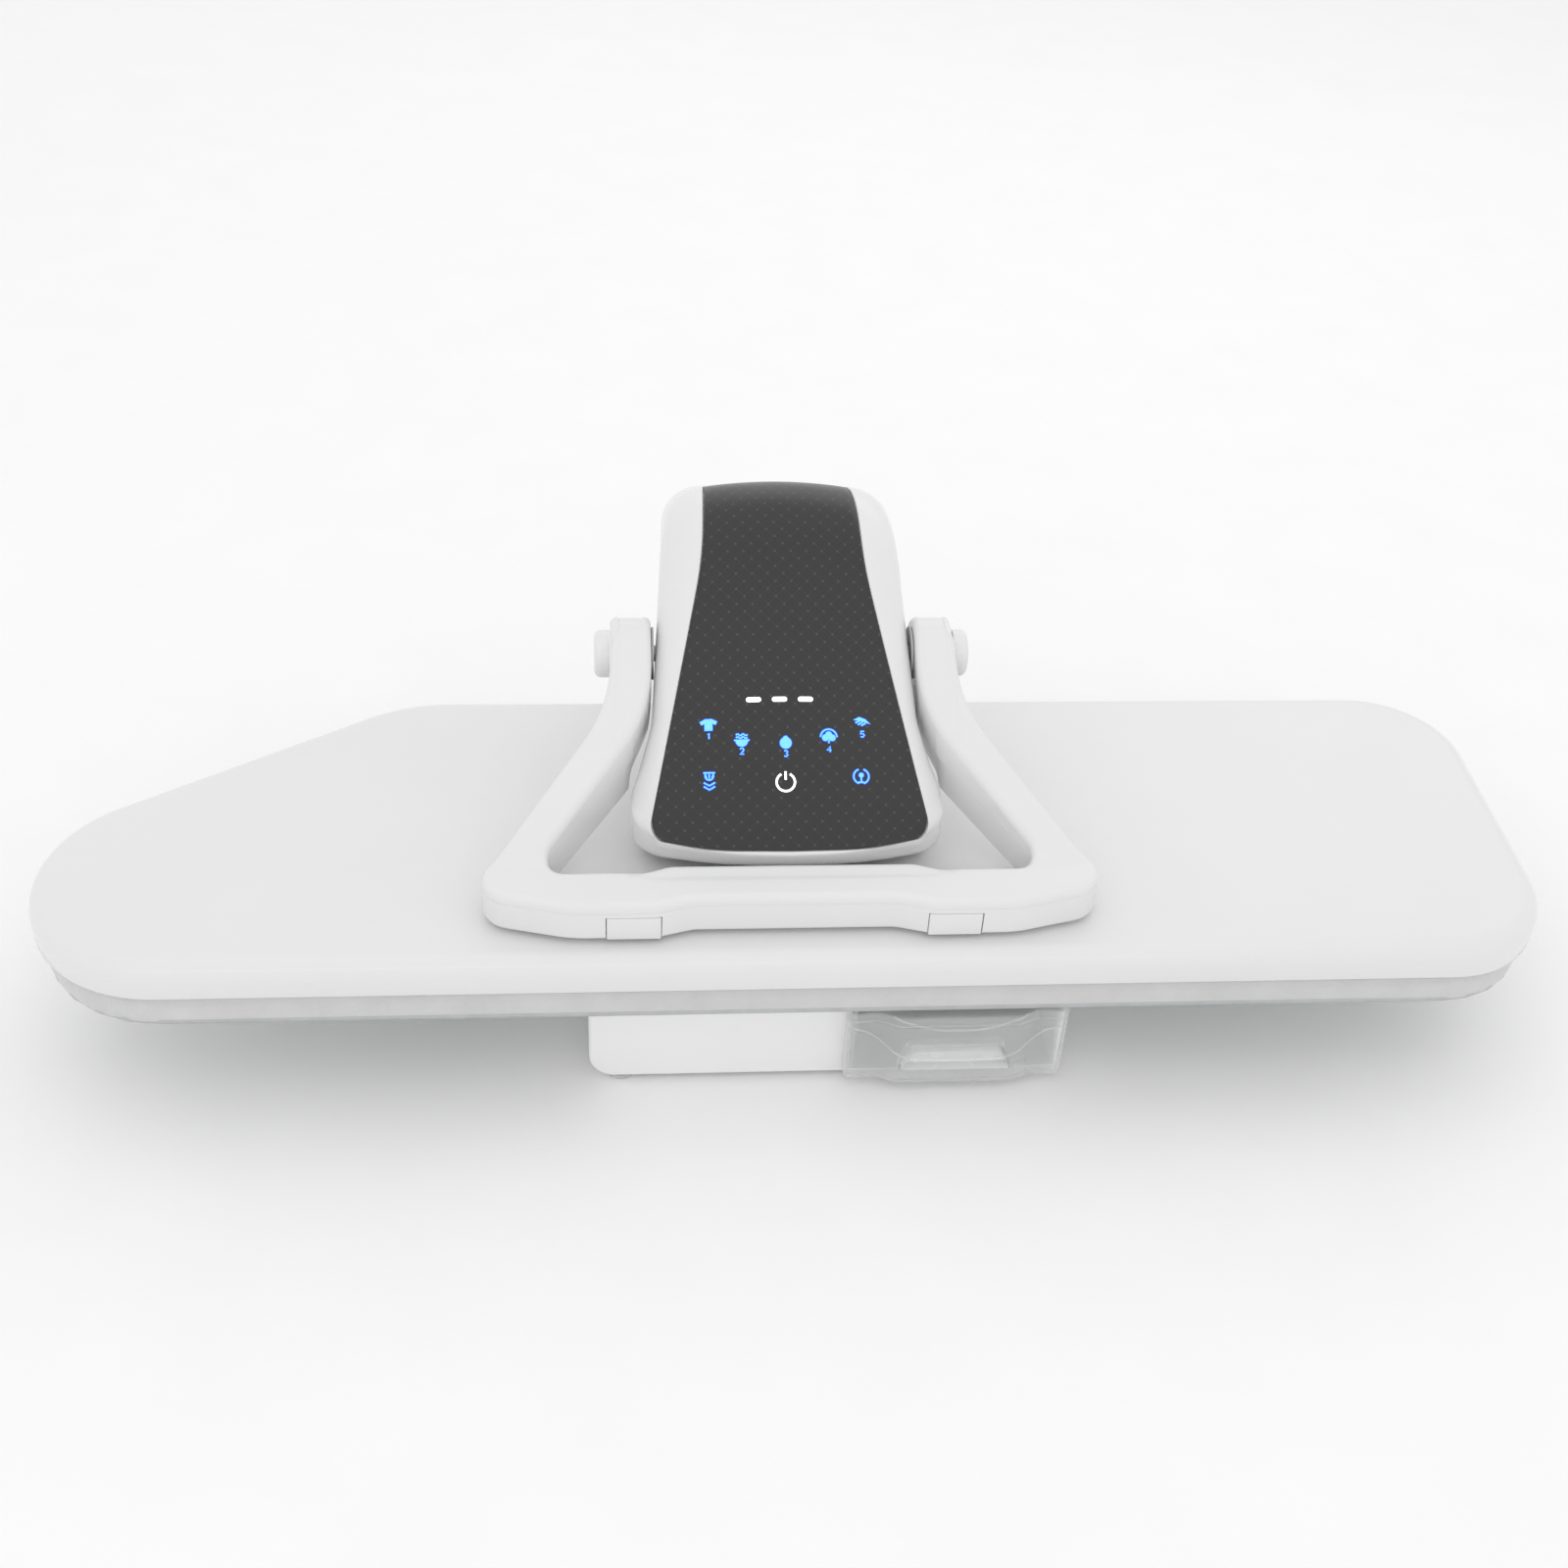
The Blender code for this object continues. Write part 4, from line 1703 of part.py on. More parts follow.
def make_handle():
    """Upper and lower shells of the handle, with pivots, caps, washers and switches."""
    wide = HANDLE_HALF + OVERRUN
    room = handle_body("handle_room", HANDLE_WALL)
    combine(room, swing_space("swing_wall", HANDLE_WALL))
    swing = swing_space("swing_space", 0)
    bore = rod(
        "handle_bore", (ARM_X - wide, PIVOT_Y, PIVOT_Z), (ARM_X + wide, PIVOT_Y, PIVOT_Z),
        PIVOT_SHAFT_RADIUS + GAP,
    )
    pockets = [button_pocket(side) for side in (-1, 1)]
    low_part = slab(
        "part_above", handle_parting(0), ARM_X - wide, ARM_X + wide, plane="YZ",
    )
    high_part = slab(
        "part_shifted", handle_parting(GAP), ARM_X - wide, ARM_X + wide, plane="YZ",
    )
    lower = handle_body("handle_lower_shell", 0, "white_gloss")
    bevel(lower, HANDLE_EDGE)
    combine(lower, low_part)
    combine(lower, room)
    combine(lower, bore)
    combine(lower, swing)
    for pocket in pockets:
        combine(lower, pocket)
    upper = handle_body("handle_upper_shell", 0, "white_gloss")
    bevel(upper, HANDLE_EDGE)
    combine(upper, high_part, "INTERSECT")
    combine(upper, room)
    combine(upper, bore)
    combine(upper, swing)
    make_pivot()
    for side, name in ((-1, "left"), (1, "right")):
        make_button(side, name)


BUTTON_TOP = z_at(GRIP_LOW + BUTTON_HEIGHT)


def button_pocket(side):
    """The window in the grip that a steam button moves in."""
    half = BUTTON_WIDTH / 2 + BUTTON_GAP
    x = ARM_X + side * BUTTON_X
    front = y_at(GRIP_FRONT)
    return box(
        "button_pocket_left" if side < 0 else "button_pocket_right",
        (x - half, front - OVERRUN, z_at(-OVERRUN / 2)),
        (x + half, front + BUTTON_DEPTH + BUTTON_TRAVEL + BUTTON_GAP, BUTTON_TOP + BUTTON_GAP),
    )


def make_button(side, name):
    """A steam button and the small switch behind it."""
    x = ARM_X + side * BUTTON_X
    front = y_at(GRIP_FRONT) - GAP
    low = z_at(GRIP_LOW) + GAP
    button = box(
        "steam_button_" + name, (x - BUTTON_WIDTH / 2, front, low),
        (x + BUTTON_WIDTH / 2, front + BUTTON_DEPTH, BUTTON_TOP), "white_gloss",
    )
    bevel(button, BUTTON_CORNER / 2)
    back = front + BUTTON_DEPTH + BUTTON_TRAVEL + GAP * 3
    box(
        "steam_switch_" + name,
        (x - SWITCH_WIDTH / 2, back, z_at(GRIP_LOW + HANDLE_WALL) + GAP),
        (x + SWITCH_WIDTH / 2, back + SWITCH_DEPTH, z_at(GRIP_LOW + HANDLE_WALL) + GAP + SWITCH_HEIGHT),
        "black_plastic",
    )


def make_pivot():
    """The shaft that the handle swings on, with washers inside and round caps outside."""
    reach = HANDLE_OUTER_HALF - GAP
    rod(
        "handle_shaft", (ARM_X - reach, PIVOT_Y, PIVOT_Z), (ARM_X + reach, PIVOT_Y, PIVOT_Z),
        PIVOT_SHAFT_RADIUS, "steel", sides=20,
    )
    for side, name in ((-1, "left"), (1, "right")):
        cap = PIVOT_CAP_RADIUS
        depth = PIVOT_CAP_DEPTH
        turned(
            "pivot_cap_" + name,
            [(0, depth)] + [(cap * r, depth * h) for r, h in PIVOT_CAP_SHARES] + [(cap, GAP), (0, GAP)],
            facing((ARM_X + side * HANDLE_OUTER_HALF, PIVOT_Y, PIVOT_Z), (side, 0, 0)), "white_gloss",
        )
        wall = head_half_at(PIVOT_BEHIND - WASHER_RADIUS)
        thick = HANDLE_INNER_HALF - wall - WASHER_GAP * 2
        bore = PIVOT_SHAFT_RADIUS + GAP
        turned(
            "pivot_washer_" + name,
            [(bore, thick), (WASHER_RADIUS, thick), (WASHER_RADIUS, 0), (bore, 0)],
            facing((ARM_X + side * (wall + WASHER_GAP), PIVOT_Y, PIVOT_Z), (side, 0, 0)), "silicone",
            steps=16, bored=True,
        )


def head_half_at(behind):
    """Half width of the head's belt at a distance behind the front."""
    line = belt_line()
    for far, near in zip(line, line[1:]):
        if near.y <= behind <= far.y:
            return near.x + (far.x - near.x) * (behind - near.y) / (far.y - near.y)
    return BELT_SEAM_HALF


# Water tank

def tank_plan(distance):
    """The tank from above: a front block with a bulging middle and a narrower body behind it."""
    half = TANK_WIDTH / 2
    body = half - TANK_FLANGE
    lobe = half - TANK_LOBE_SIDE
    front, step, back = TANK_FRONT_Y, TANK_FRONT_BACK_Y, TANK_BACK_Y
    bulge = TANK_LOBE * 2
    corners = [
        (body, back, TANK_CORNER), (-body, back, TANK_CORNER), (-body, step, 0), (-half, step, 0),
        (-half, front - TANK_WAVE, TANK_FRONT_CORNER), (-lobe - bulge, front, bulge),
        (-lobe, front - TANK_LOBE, bulge), (lobe, front - TANK_LOBE, bulge), (lobe + bulge, front, bulge),
        (half, front - TANK_WAVE, TANK_FRONT_CORNER), (half, step, 0), (body, step, 0),
    ]
    points = rounded([(TANK_X + x, y, r) for x, y, r in corners])
    return inset(points, distance) if distance else points


def tank_body(name, distance, kind=None):
    """The tank as one solid, moved inwards by a distance."""
    return slab(name, tank_plan(distance), TANK_BOTTOM + distance, TANK_TOP - distance, kind)


def make_tank():
    """Tub, lid, filler cap, valve and suction pipe of the water tank."""
    part = TANK_TOP - TANK_LID_HEIGHT
    wide = TANK_WIDTH
    room = tank_body("tank_room", TANK_WALL)
    above = box(
        "above_parting", (TANK_X - wide, TANK_FRONT_Y - wide, part),
        (TANK_X + wide, TANK_BACK_Y + wide, TANK_TOP + wide),
    )
    below = box(
        "below_parting", (TANK_X - wide, TANK_FRONT_Y - wide, -wide),
        (TANK_X + wide, TANK_BACK_Y + wide, part + GAP),
    )
    combine(room, recess_block("recess_wall", TANK_WALL))
    tub = tank_body("tank_tub", 0, "clear_tank")
    combine(tub, above)
    combine(tub, room)
    combine(tub, recess_block("finger_recess", 0))
    lid = tank_body("tank_lid", 0, "clear_tank")
    combine(lid, below)
    combine(lid, room)
    filler_y = TANK_FRONT_BACK_Y + FILLER_SETBACK
    hole = rod(
        "filler_hole", (TANK_X, filler_y, TANK_TOP - OVERRUN), (TANK_X, filler_y, TANK_TOP + OVERRUN),
        FILLER_RADIUS, sides=20,
    )
    combine(lid, hole)
    valve_hole = rod(
        "valve_hole", (TANK_X, TANK_BACK_Y - OVERRUN, VALVE_Z), (TANK_X, TANK_BACK_Y + OVERRUN, VALVE_Z),
        VALVE_RADIUS - TANK_WALL / 2,
    )
    combine(tub, valve_hole)
    plug = FILLER_RADIUS - GAP
    rim = FILLER_RADIUS + CAP_RIM
    dish = plug - CAP_THICKNESS
    cap = turned(
        "filler_cap",
        [(0, -CAP_RECESS), (dish, -CAP_RECESS), (dish, CAP_THICKNESS / 2), (rim, CAP_THICKNESS / 2),
         (rim, GAP), (plug, GAP), (plug, -CAP_PLUG_DEPTH), (0, -CAP_PLUG_DEPTH)],
        Matrix.Translation((TANK_X, filler_y, TANK_TOP)), "white_satin", steps=20,
    )
    bar = box(
        "cap_bar",
        (TANK_X - dish - CAP_THICKNESS / 2, filler_y - CAP_THICKNESS, TANK_TOP - CAP_RECESS - GAP),
        (TANK_X + dish + CAP_THICKNESS / 2, filler_y + CAP_THICKNESS, TANK_TOP),
    )
    combine(cap, bar, "UNION")
    seat = VALVE_RADIUS - TANK_WALL / 2 - GAP
    turned(
        "tank_valve",
        [(0, GAP), (seat, GAP), (seat, -TANK_WALL), (VALVE_RADIUS, -TANK_WALL - GAP),
         (VALVE_RADIUS, -VALVE_LENGTH), (0, -VALVE_LENGTH)],
        facing((TANK_X, TANK_BACK_Y, VALVE_Z), (0, 1, 0)), "silicone", steps=16,
    )


def recess_block(name, distance):
    """The finger recess, a trapezium in the lower front, grown by a distance."""
    half = TANK_WIDTH / 2 - RECESS_SIDE + distance
    low = TANK_BOTTOM + RECESS_RISE - distance
    high = low + RECESS_HEIGHT + 2 * distance
    view = [
        (TANK_X - half, low), (TANK_X + half, low),
        (TANK_X + half - RECESS_DEPTH, high), (TANK_X - half + RECESS_DEPTH, high),
    ]
    front = TANK_FRONT_Y - TANK_LOBE - OVERRUN
    return slab(name, view, front, TANK_FRONT_Y - TANK_LOBE + RECESS_DEPTH + distance, plane="XZ")


# Axes that the moving pieces hang on

def axis_empty(name, point):
    """An empty on a joint's axis."""
    made = bpy.data.objects.new(name, None)
    made.location = point
    COLLECTION.objects.link(made)
    return made


def hang(empty, names):
    """Parents pieces to an empty without moving them."""
    for name in names:
        piece = bpy.data.objects[name]
        piece.parent = empty
        piece.matrix_parent_inverse = Matrix.Translation(empty.location).inverted()


HEAD_PIECES = (
    "press_cover", "hot_plate", "heating_bar", "thermostat", "steam_chamber_left", "steam_chamber_right",
    "heat_blanket", "plate_post", "swivel_pin", "arm_frame", "arm_upper_shell", "arm_lower_tray",
    "arm_rear_cover", "touch_lens", "control_board", "display_module", "speaker", "handle_shaft",
    "pivot_washer_left", "pivot_washer_right", "steam_hose",
)
HANDLE_PIECES = (
    "handle_lower_shell", "handle_upper_shell", "pivot_cap_left", "pivot_cap_right",
    "steam_switch_left", "steam_switch_right",
)
TANK_PIECES = ("tank_tub", "tank_lid", "tank_valve")


def make_axes():
    """Empties on the joints' axes, with the pieces that move about them."""
    hang(axis_empty("press_hinge_axis", (ARM_X, HINGE_Y, HINGE_Z)), HEAD_PIECES)
    hang(axis_empty("handle_pivot_axis", (ARM_X, PIVOT_Y, PIVOT_Z)), HANDLE_PIECES)
    hang(axis_empty("tank_slide_axis", (TANK_X, TANK_FRONT_Y, TANK_BOTTOM)), TANK_PIECES)


def main():
    """Clears the scene and builds every piece."""
    for old in list(bpy.data.objects):
        bpy.data.objects.remove(old, do_unlink=True)
    bpy.context.scene.collection.children.link(COLLECTION)
    bpy.context.scene.collection.children.link(CUTTERS)
    make_board()
    make_base()
    make_base_works()
    make_column()
    make_upper_shell()
    make_lens()
    make_lower_tray()
    make_rear_cover()
    make_arm_frame()
    make_spring()
    make_plate()
    make_electronics()
    make_handle()
    make_tank()
    make_axes()


main()
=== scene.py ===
"""Looks of a table-top steam ironing press: finer shells, a padded board, a lit touch panel and all finishes.

Lengths are metres in the model's own frame: the floor at z = 0, +X to the right, +Y to the back.
"""

import json
import math

import bmesh
import bpy
from mathutils import Matrix, Vector


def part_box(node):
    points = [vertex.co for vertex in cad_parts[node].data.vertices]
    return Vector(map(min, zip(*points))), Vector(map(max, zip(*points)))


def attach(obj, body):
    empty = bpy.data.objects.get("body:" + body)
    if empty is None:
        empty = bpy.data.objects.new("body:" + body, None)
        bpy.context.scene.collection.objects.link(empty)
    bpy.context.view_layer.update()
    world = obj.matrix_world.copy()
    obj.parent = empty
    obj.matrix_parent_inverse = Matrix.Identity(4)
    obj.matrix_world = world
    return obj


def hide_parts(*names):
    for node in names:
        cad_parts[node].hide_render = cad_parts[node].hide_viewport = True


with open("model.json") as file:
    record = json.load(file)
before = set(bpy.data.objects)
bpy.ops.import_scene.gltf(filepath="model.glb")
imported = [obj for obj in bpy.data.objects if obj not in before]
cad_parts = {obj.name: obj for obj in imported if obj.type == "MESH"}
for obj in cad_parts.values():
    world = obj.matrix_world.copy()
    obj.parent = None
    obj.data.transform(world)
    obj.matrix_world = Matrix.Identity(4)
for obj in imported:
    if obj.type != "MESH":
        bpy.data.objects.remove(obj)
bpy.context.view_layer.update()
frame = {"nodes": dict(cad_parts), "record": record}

# Sizes of the model that this script repeats
COVER_LENGTH = 0.900
COVER_DEPTH = 0.258
COVER_EDGE = 0.0115
COVER_WALL = 0.0025
GAP = 0.0003
OVERRUN = 0.010
LIP = 0.0006
WELD = 0.00001
SPIN_WELD = 0.000005
SIDES = ((-1, "left"), (1, "right"))
ARC_STEP = math.radians(4)
BACK_RIGHT_RADIUS = 0.065
FRONT_RIGHT_RADIUS = 0.068
NOSE_RADIUS = 0.082
NOSE_ANGLE = math.radians(33)
SHOULDER_RADIUS = 0.098
FRONT_Y = -0.181
LEFT_X = -COVER_LENGTH / 2
COVER_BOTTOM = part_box("press_cover")[0].z
COVER_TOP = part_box("press_cover")[1].z
ARM_X = -0.0093
TOP_SLOPE = math.radians(40.05)


def y_at(behind):
    """World Y of a distance behind the front edge of the cover."""
    return FRONT_Y + behind


def z_at(above):
    """World Z of a height above the top face of the cover."""
    return COVER_TOP + above


# Outlines

def rounded(corners, closed=True):
    """Points of a polygon whose corners (x, y, radius) are rounded with arcs."""
    points = []
    count = len(corners)
    for index, (x, y, radius) in enumerate(corners):
        here = Vector((x, y))
        if radius == 0 or (not closed and index in (0, count - 1)):
            points.append((x, y))
            continue
        to_last = (Vector(corners[index - 1][:2]) - here).normalized()
        to_next = (Vector(corners[(index + 1) % count][:2]) - here).normalized()
        half = to_last.angle(to_next) / 2
        reach = radius / math.tan(half)
        middle = here + (to_last + to_next).normalized() * radius / math.sin(half)
        first = here + to_last * reach - middle
        turn = math.pi - 2 * half
        if to_last.x * to_next.y - to_last.y * to_next.x > 0:
            turn = -turn
        steps = max(3, math.ceil(abs(turn) / ARC_STEP))
        for step in range(steps + 1):
            spun = Matrix.Rotation(turn * step / steps, 2) @ first
            points.append(tuple(middle + spun))
    return points


def quarter(steps):
    """The angles of a quarter turn in equal steps."""
    return [math.pi / 2 * step / steps for step in range(steps + 1)]


def arc(centre, radius, start, end, steps):
    """Points on a circle from one angle to another."""
    angles = [start + (end - start) * step / steps for step in range(steps + 1)]
    return [(centre[0] + radius * math.cos(a), centre[1] + radius * math.sin(a)) for a in angles]


def inset(points, distance):
    """A counter-clockwise outline moved inwards by a distance."""
    if not distance:
        return points
    result = []
    count = len(points)
    for index in range(count):
        last, here, after = (Vector(points[(index + k) % count]) for k in (-1, 0, 1))
        one = (here - last).normalized()
        two = (after - here).normalized()
        one_in = Vector((-one.y, one.x))
        two_in = Vector((-two.y, two.x))
        mid = (one_in + two_in).normalized()
        result.append(tuple(here + mid * distance / max(mid.dot(one_in), 0.3)))
    return result


def resampled(points, count):
    """An open line walked in equal steps."""
    path = [Vector(p) for p in points]
    lengths = [0.0]
    for last, here in zip(path, path[1:]):
        lengths.append(lengths[-1] + (here - last).length)
    result = []
    segment = 0
    for index in range(count):
        target = lengths[-1] * index / (count - 1)
        while segment < len(path) - 2 and lengths[segment + 1] < target:
            segment += 1
        span = lengths[segment + 1] - lengths[segment]
        share = (target - lengths[segment]) / span if span else 0
        result.append(path[segment].lerp(path[segment + 1], min(share, 1)))
    return result


def tangent_point(point, centre, radius, side):
    """Where the line from a point touches a circle, on the side +1 or -1."""
    line = Vector(centre) - Vector(point)
    angle = math.atan2(line.y, line.x) + side * math.asin(radius / line.length)
    reach = math.sqrt(line.length ** 2 - radius ** 2)
    return (point[0] + reach * math.cos(angle), point[1] + reach * math.sin(angle))


def height_on(line, along):
    """The second value of a line of points at a place along the first."""
    if along <= line[0][0]:
        return line[0][1]
    for (a, low), (b, high) in zip(line, line[1:]):
        if a <= along <= b and b > a:
            return low + (high - low) * (along - a) / (b - a)
    return line[-1][1]


def between(points, start, end, count):
    """The stretch of a line between its points nearest to two places, in equal steps."""
    def nearest(place):
        return min(range(len(points)), key=lambda i: (Vector(points[i]) - Vector(place)).length)
    first, last = nearest(start), nearest(end)
    return resampled(points[first:last + 1], count)


def densified(points, step=0.0015):
    """A line with extra points, so that none is further than a step from the next."""
    result = []
    for a, b in zip(points, points[1:]):
        count = max(1, math.ceil((Vector(b) - Vector(a)).length / step))
        result += [tuple(Vector(a).lerp(Vector(b), k / count)) for k in range(count)]
    return result + [points[-1]]


def paired(corners, marks, counts):
    """A rounded open line in stretches between marks, each with a fixed number of steps."""
    line = densified(rounded(corners, closed=False))
    places = [corners[0][:2], *marks, corners[-1][:2]]
    result = []
    for first, last, count in zip(places, places[1:], counts):
        result += between(line, first, last, count + 1)[(1 if result else 0):]
    return result


def round_marks(before, corner, after):
    """Where the round of a corner starts, its middle, and where it ends."""
    here, radius = Vector(corner[:2]), corner[2]
    back, ahead = (Vector(before[:2]) - here).normalized(), (Vector(after[:2]) - here).normalized()
    reach = radius / math.tan(back.angle(ahead) / 2)
    return [here + back * reach, here, here + ahead * reach]


def board_outline(distance):
    """Plan of the pressing cover, with one round nose and one slanted edge, moved inwards."""
    depth = COVER_DEPTH
    touch_x = NOSE_RADIUS - NOSE_RADIUS * math.sin(NOSE_ANGLE)
    touch_y = NOSE_RADIUS + NOSE_RADIUS * math.cos(NOSE_ANGLE)
    tip_x = touch_x - touch_y / math.tan(NOSE_ANGLE)
    shoulder_x = touch_x + (depth - touch_y) / math.tan(NOSE_ANGLE)
    corners = [
        (tip_x, 0, NOSE_RADIUS),
        (COVER_LENGTH, 0, FRONT_RIGHT_RADIUS),
        (COVER_LENGTH, depth, BACK_RIGHT_RADIUS),
        (shoulder_x, depth, SHOULDER_RADIUS),
    ]
    return inset([(LEFT_X + x, FRONT_Y + y) for x, y in rounded(corners)], distance)


# Building blocks

def placed(name, data):
    """A new object in the scene."""
    made = bpy.data.objects.new(name, data)
    bpy.context.scene.collection.objects.link(made)
    return made


def link(name, mesh, body, look, nodes=(), sharp=35):
    """A finished object, smooth but for sharp edges, that rides on a body in place of CAD nodes."""
    made = placed(name, mesh)
    mesh.materials.clear()
    mesh.materials.append(look)
    mesh.shade_smooth()
    mesh.set_sharp_from_angle(angle=math.radians(sharp))
    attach(made, body)
    if nodes:
        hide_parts(*nodes)
    return made


def to_mesh(work, name, outwards=True):
    """Ends an edit mesh as a mesh, with its faces turned outwards if asked."""
    if outwards:
        bmesh.ops.recalc_face_normals(work, faces=work.faces)
    mesh = bpy.data.meshes.new(name)
    work.to_mesh(mesh)
    work.free()
    return mesh


def loft_mesh(name, rings, closed=True, capped=True, looped=False):
    """A skin through rows of points; closed rows are rings, looped ones join the last to the first."""
    work = bmesh.new()
    rows = [[work.verts.new(p) for p in ring] for ring in rings]
    pairs = list(zip(rows, rows[1:]))
    if looped:
        pairs.append((rows[-1], rows[0]))
    for below, above in pairs:
        count = len(below)
        for index in range(count if closed else count - 1):
            after = (index + 1) % count
            work.faces.new((below[index], below[after], above[after], above[index]))
    if capped:
        work.faces.new(list(reversed(rows[0])))
        work.faces.new(rows[-1])
    return to_mesh(work, name)


def cut(mesh, *meshes, how="DIFFERENCE"):
    """A mesh less, or with, other solids."""
    target = placed("cut_target", mesh)
    others = [placed("cutter", other) for other in meshes]
    for other in others:
        step = target.modifiers.new("cut", "BOOLEAN")
        step.operation = how
        step.solver = "EXACT"
        step.object = other
    result = baked(target)
    for other in others:
        bpy.data.objects.remove(other)
    return result


def baked(target):
    """The mesh of an object with its modifiers applied; the object is removed."""
    graph = bpy.context.evaluated_depsgraph_get()
    mesh = bpy.data.meshes.new_from_object(target.evaluated_get(graph))
    bpy.data.objects.remove(target)
    return mesh


def softened(mesh, width, segments=3, angle=40):
    """A mesh whose sharp edges are rounded."""
    target = placed("bevel_target", mesh)
    step = target.modifiers.new("edges", "BEVEL")
    step.width = width
    step.segments = segments
    step.limit_method = "ANGLE"
    step.angle_limit = math.radians(angle)
    step.use_clamp_overlap = True
    step.miter_outer = "MITER_ARC"
    return baked(target)


def plane_matrix(plane, middle):
    """Turns a drawing plane into the world: XY from above, YZ from the side, XZ from the front."""
    columns = {
        "XY": ((1, 0, 0), (0, 1, 0), (0, 0, 1)),
        "YZ": ((0, 1, 0), (0, 0, 1), (1, 0, 0)),
        "XZ": ((1, 0, 0), (0, 0, 1), (0, -1, 0)),
    }[plane]
    turn = Matrix(columns).transposed().to_4x4()
    offset = Vector(columns[2]) * (middle if plane != "XZ" else -middle)
    return Matrix.Translation(offset) @ turn


def slab_mesh(name, outlines, low, high, plane="XY"):
    """A flat outline, with any holes, and a thickness from one level to another."""
    curve = bpy.data.curves.new(name, "CURVE")
    curve.dimensions = "2D"
    curve.fill_mode = "BOTH"
    curve.extrude = (high - low) / 2
    for points in outlines:
        line = curve.splines.new("POLY")
        line.points.add(len(points) - 1)
        for spot, (x, y) in zip(line.points, points):
            spot.co = (x, y, 0, 1)
        line.use_cyclic_u = True
    mesh = baked(placed(name, curve))
    mesh.transform(plane_matrix(plane, (low + high) / 2))
    work = bmesh.new()
    work.from_mesh(mesh)
    bmesh.ops.remove_doubles(work, verts=work.verts, dist=WELD)
    bmesh.ops.dissolve_limit(work, angle_limit=math.radians(0.5), verts=work.verts, edges=work.edges)
    bpy.data.meshes.remove(mesh)
    return to_mesh(work, name)


def box_mesh(name, low, high):
    """A block between two corners."""
    work = bmesh.new()
    bmesh.ops.create_cube(work, size=1.0)
    bmesh.ops.scale(work, vec=Vector(high) - Vector(low), verts=work.verts)
    bmesh.ops.translate(work, vec=(Vector(high) + Vector(low)) / 2, verts=work.verts)
    return to_mesh(work, name)


def rod_mesh(name, start, end, radius, sides=48):
    """A round bar between two points."""
    start, end = Vector(start), Vector(end)
    work = bmesh.new()
    bmesh.ops.create_cone(
        work, cap_ends=True, segments=sides, radius1=radius, radius2=radius, depth=(end - start).length,
    )
    turn = (end - start).to_track_quat("Z", "Y").to_matrix().to_4x4()
    bmesh.ops.transform(work, matrix=Matrix.Translation((start + end) / 2) @ turn, verts=work.verts)
    return to_mesh(work, name)


def cross_rod(name, reach, y, z, radius):
    """A round bar along X through the head's middle."""
    return rod_mesh(name, (ARM_X - reach, y, z), (ARM_X + reach, y, z), radius)


def facing(point, direction):
    """A matrix at a point whose +Z looks along a direction."""
    turn = Vector(direction).to_track_quat("Z", "Y").to_matrix().to_4x4()
    return Matrix.Translation(Vector(point)) @ turn


def turned_mesh(name, profile, matrix, sides=64, bored=False):
    """A profile of (radius, height) points spun about its axis; a bored one is a closed loop."""
    rows = []
    for step in range(sides):
        angle = math.tau * step / sides
        rows.append([(r * math.cos(angle), r * math.sin(angle), z) for r, z in profile])
    work = bmesh.new()
    mesh = loft_mesh(name, rows, closed=bored, capped=False, looped=True)
    mesh.transform(matrix)
    work.from_mesh(mesh)
    bmesh.ops.remove_doubles(work, verts=work.verts, dist=SPIN_WELD)
    bpy.data.meshes.remove(mesh)
    return to_mesh(work, name)


def rounded_profile(points, radius):
    """A turned profile whose inner corners are rounded."""
    corners = [(x, y, radius if 0 < index < len(points) - 1 else 0) for index, (x, y) in enumerate(points)]
    return [tuple(p) for p in rounded(corners, closed=False)]


def join_meshes(name, *meshes):
    """Several meshes as one, as separate skins."""
    work = bmesh.new()
    for mesh in meshes:
        work.from_mesh(mesh)
        bpy.data.meshes.remove(mesh)
    return to_mesh(work, name, outwards=False)


def round_edge(edge, low, high, steps):
    """Levels that round an edge from a wall at low to a face at high."""
    return [(edge * (1 - math.cos(a)), low + (high - low) * math.sin(a)) for a in quarter(steps)]


def rings_at(outline, levels):
    """Copies of an outline at (inset, height) levels."""
    return [[(x, y, z) for x, y in inset(outline, d)] for d, z in levels]


# Finishes

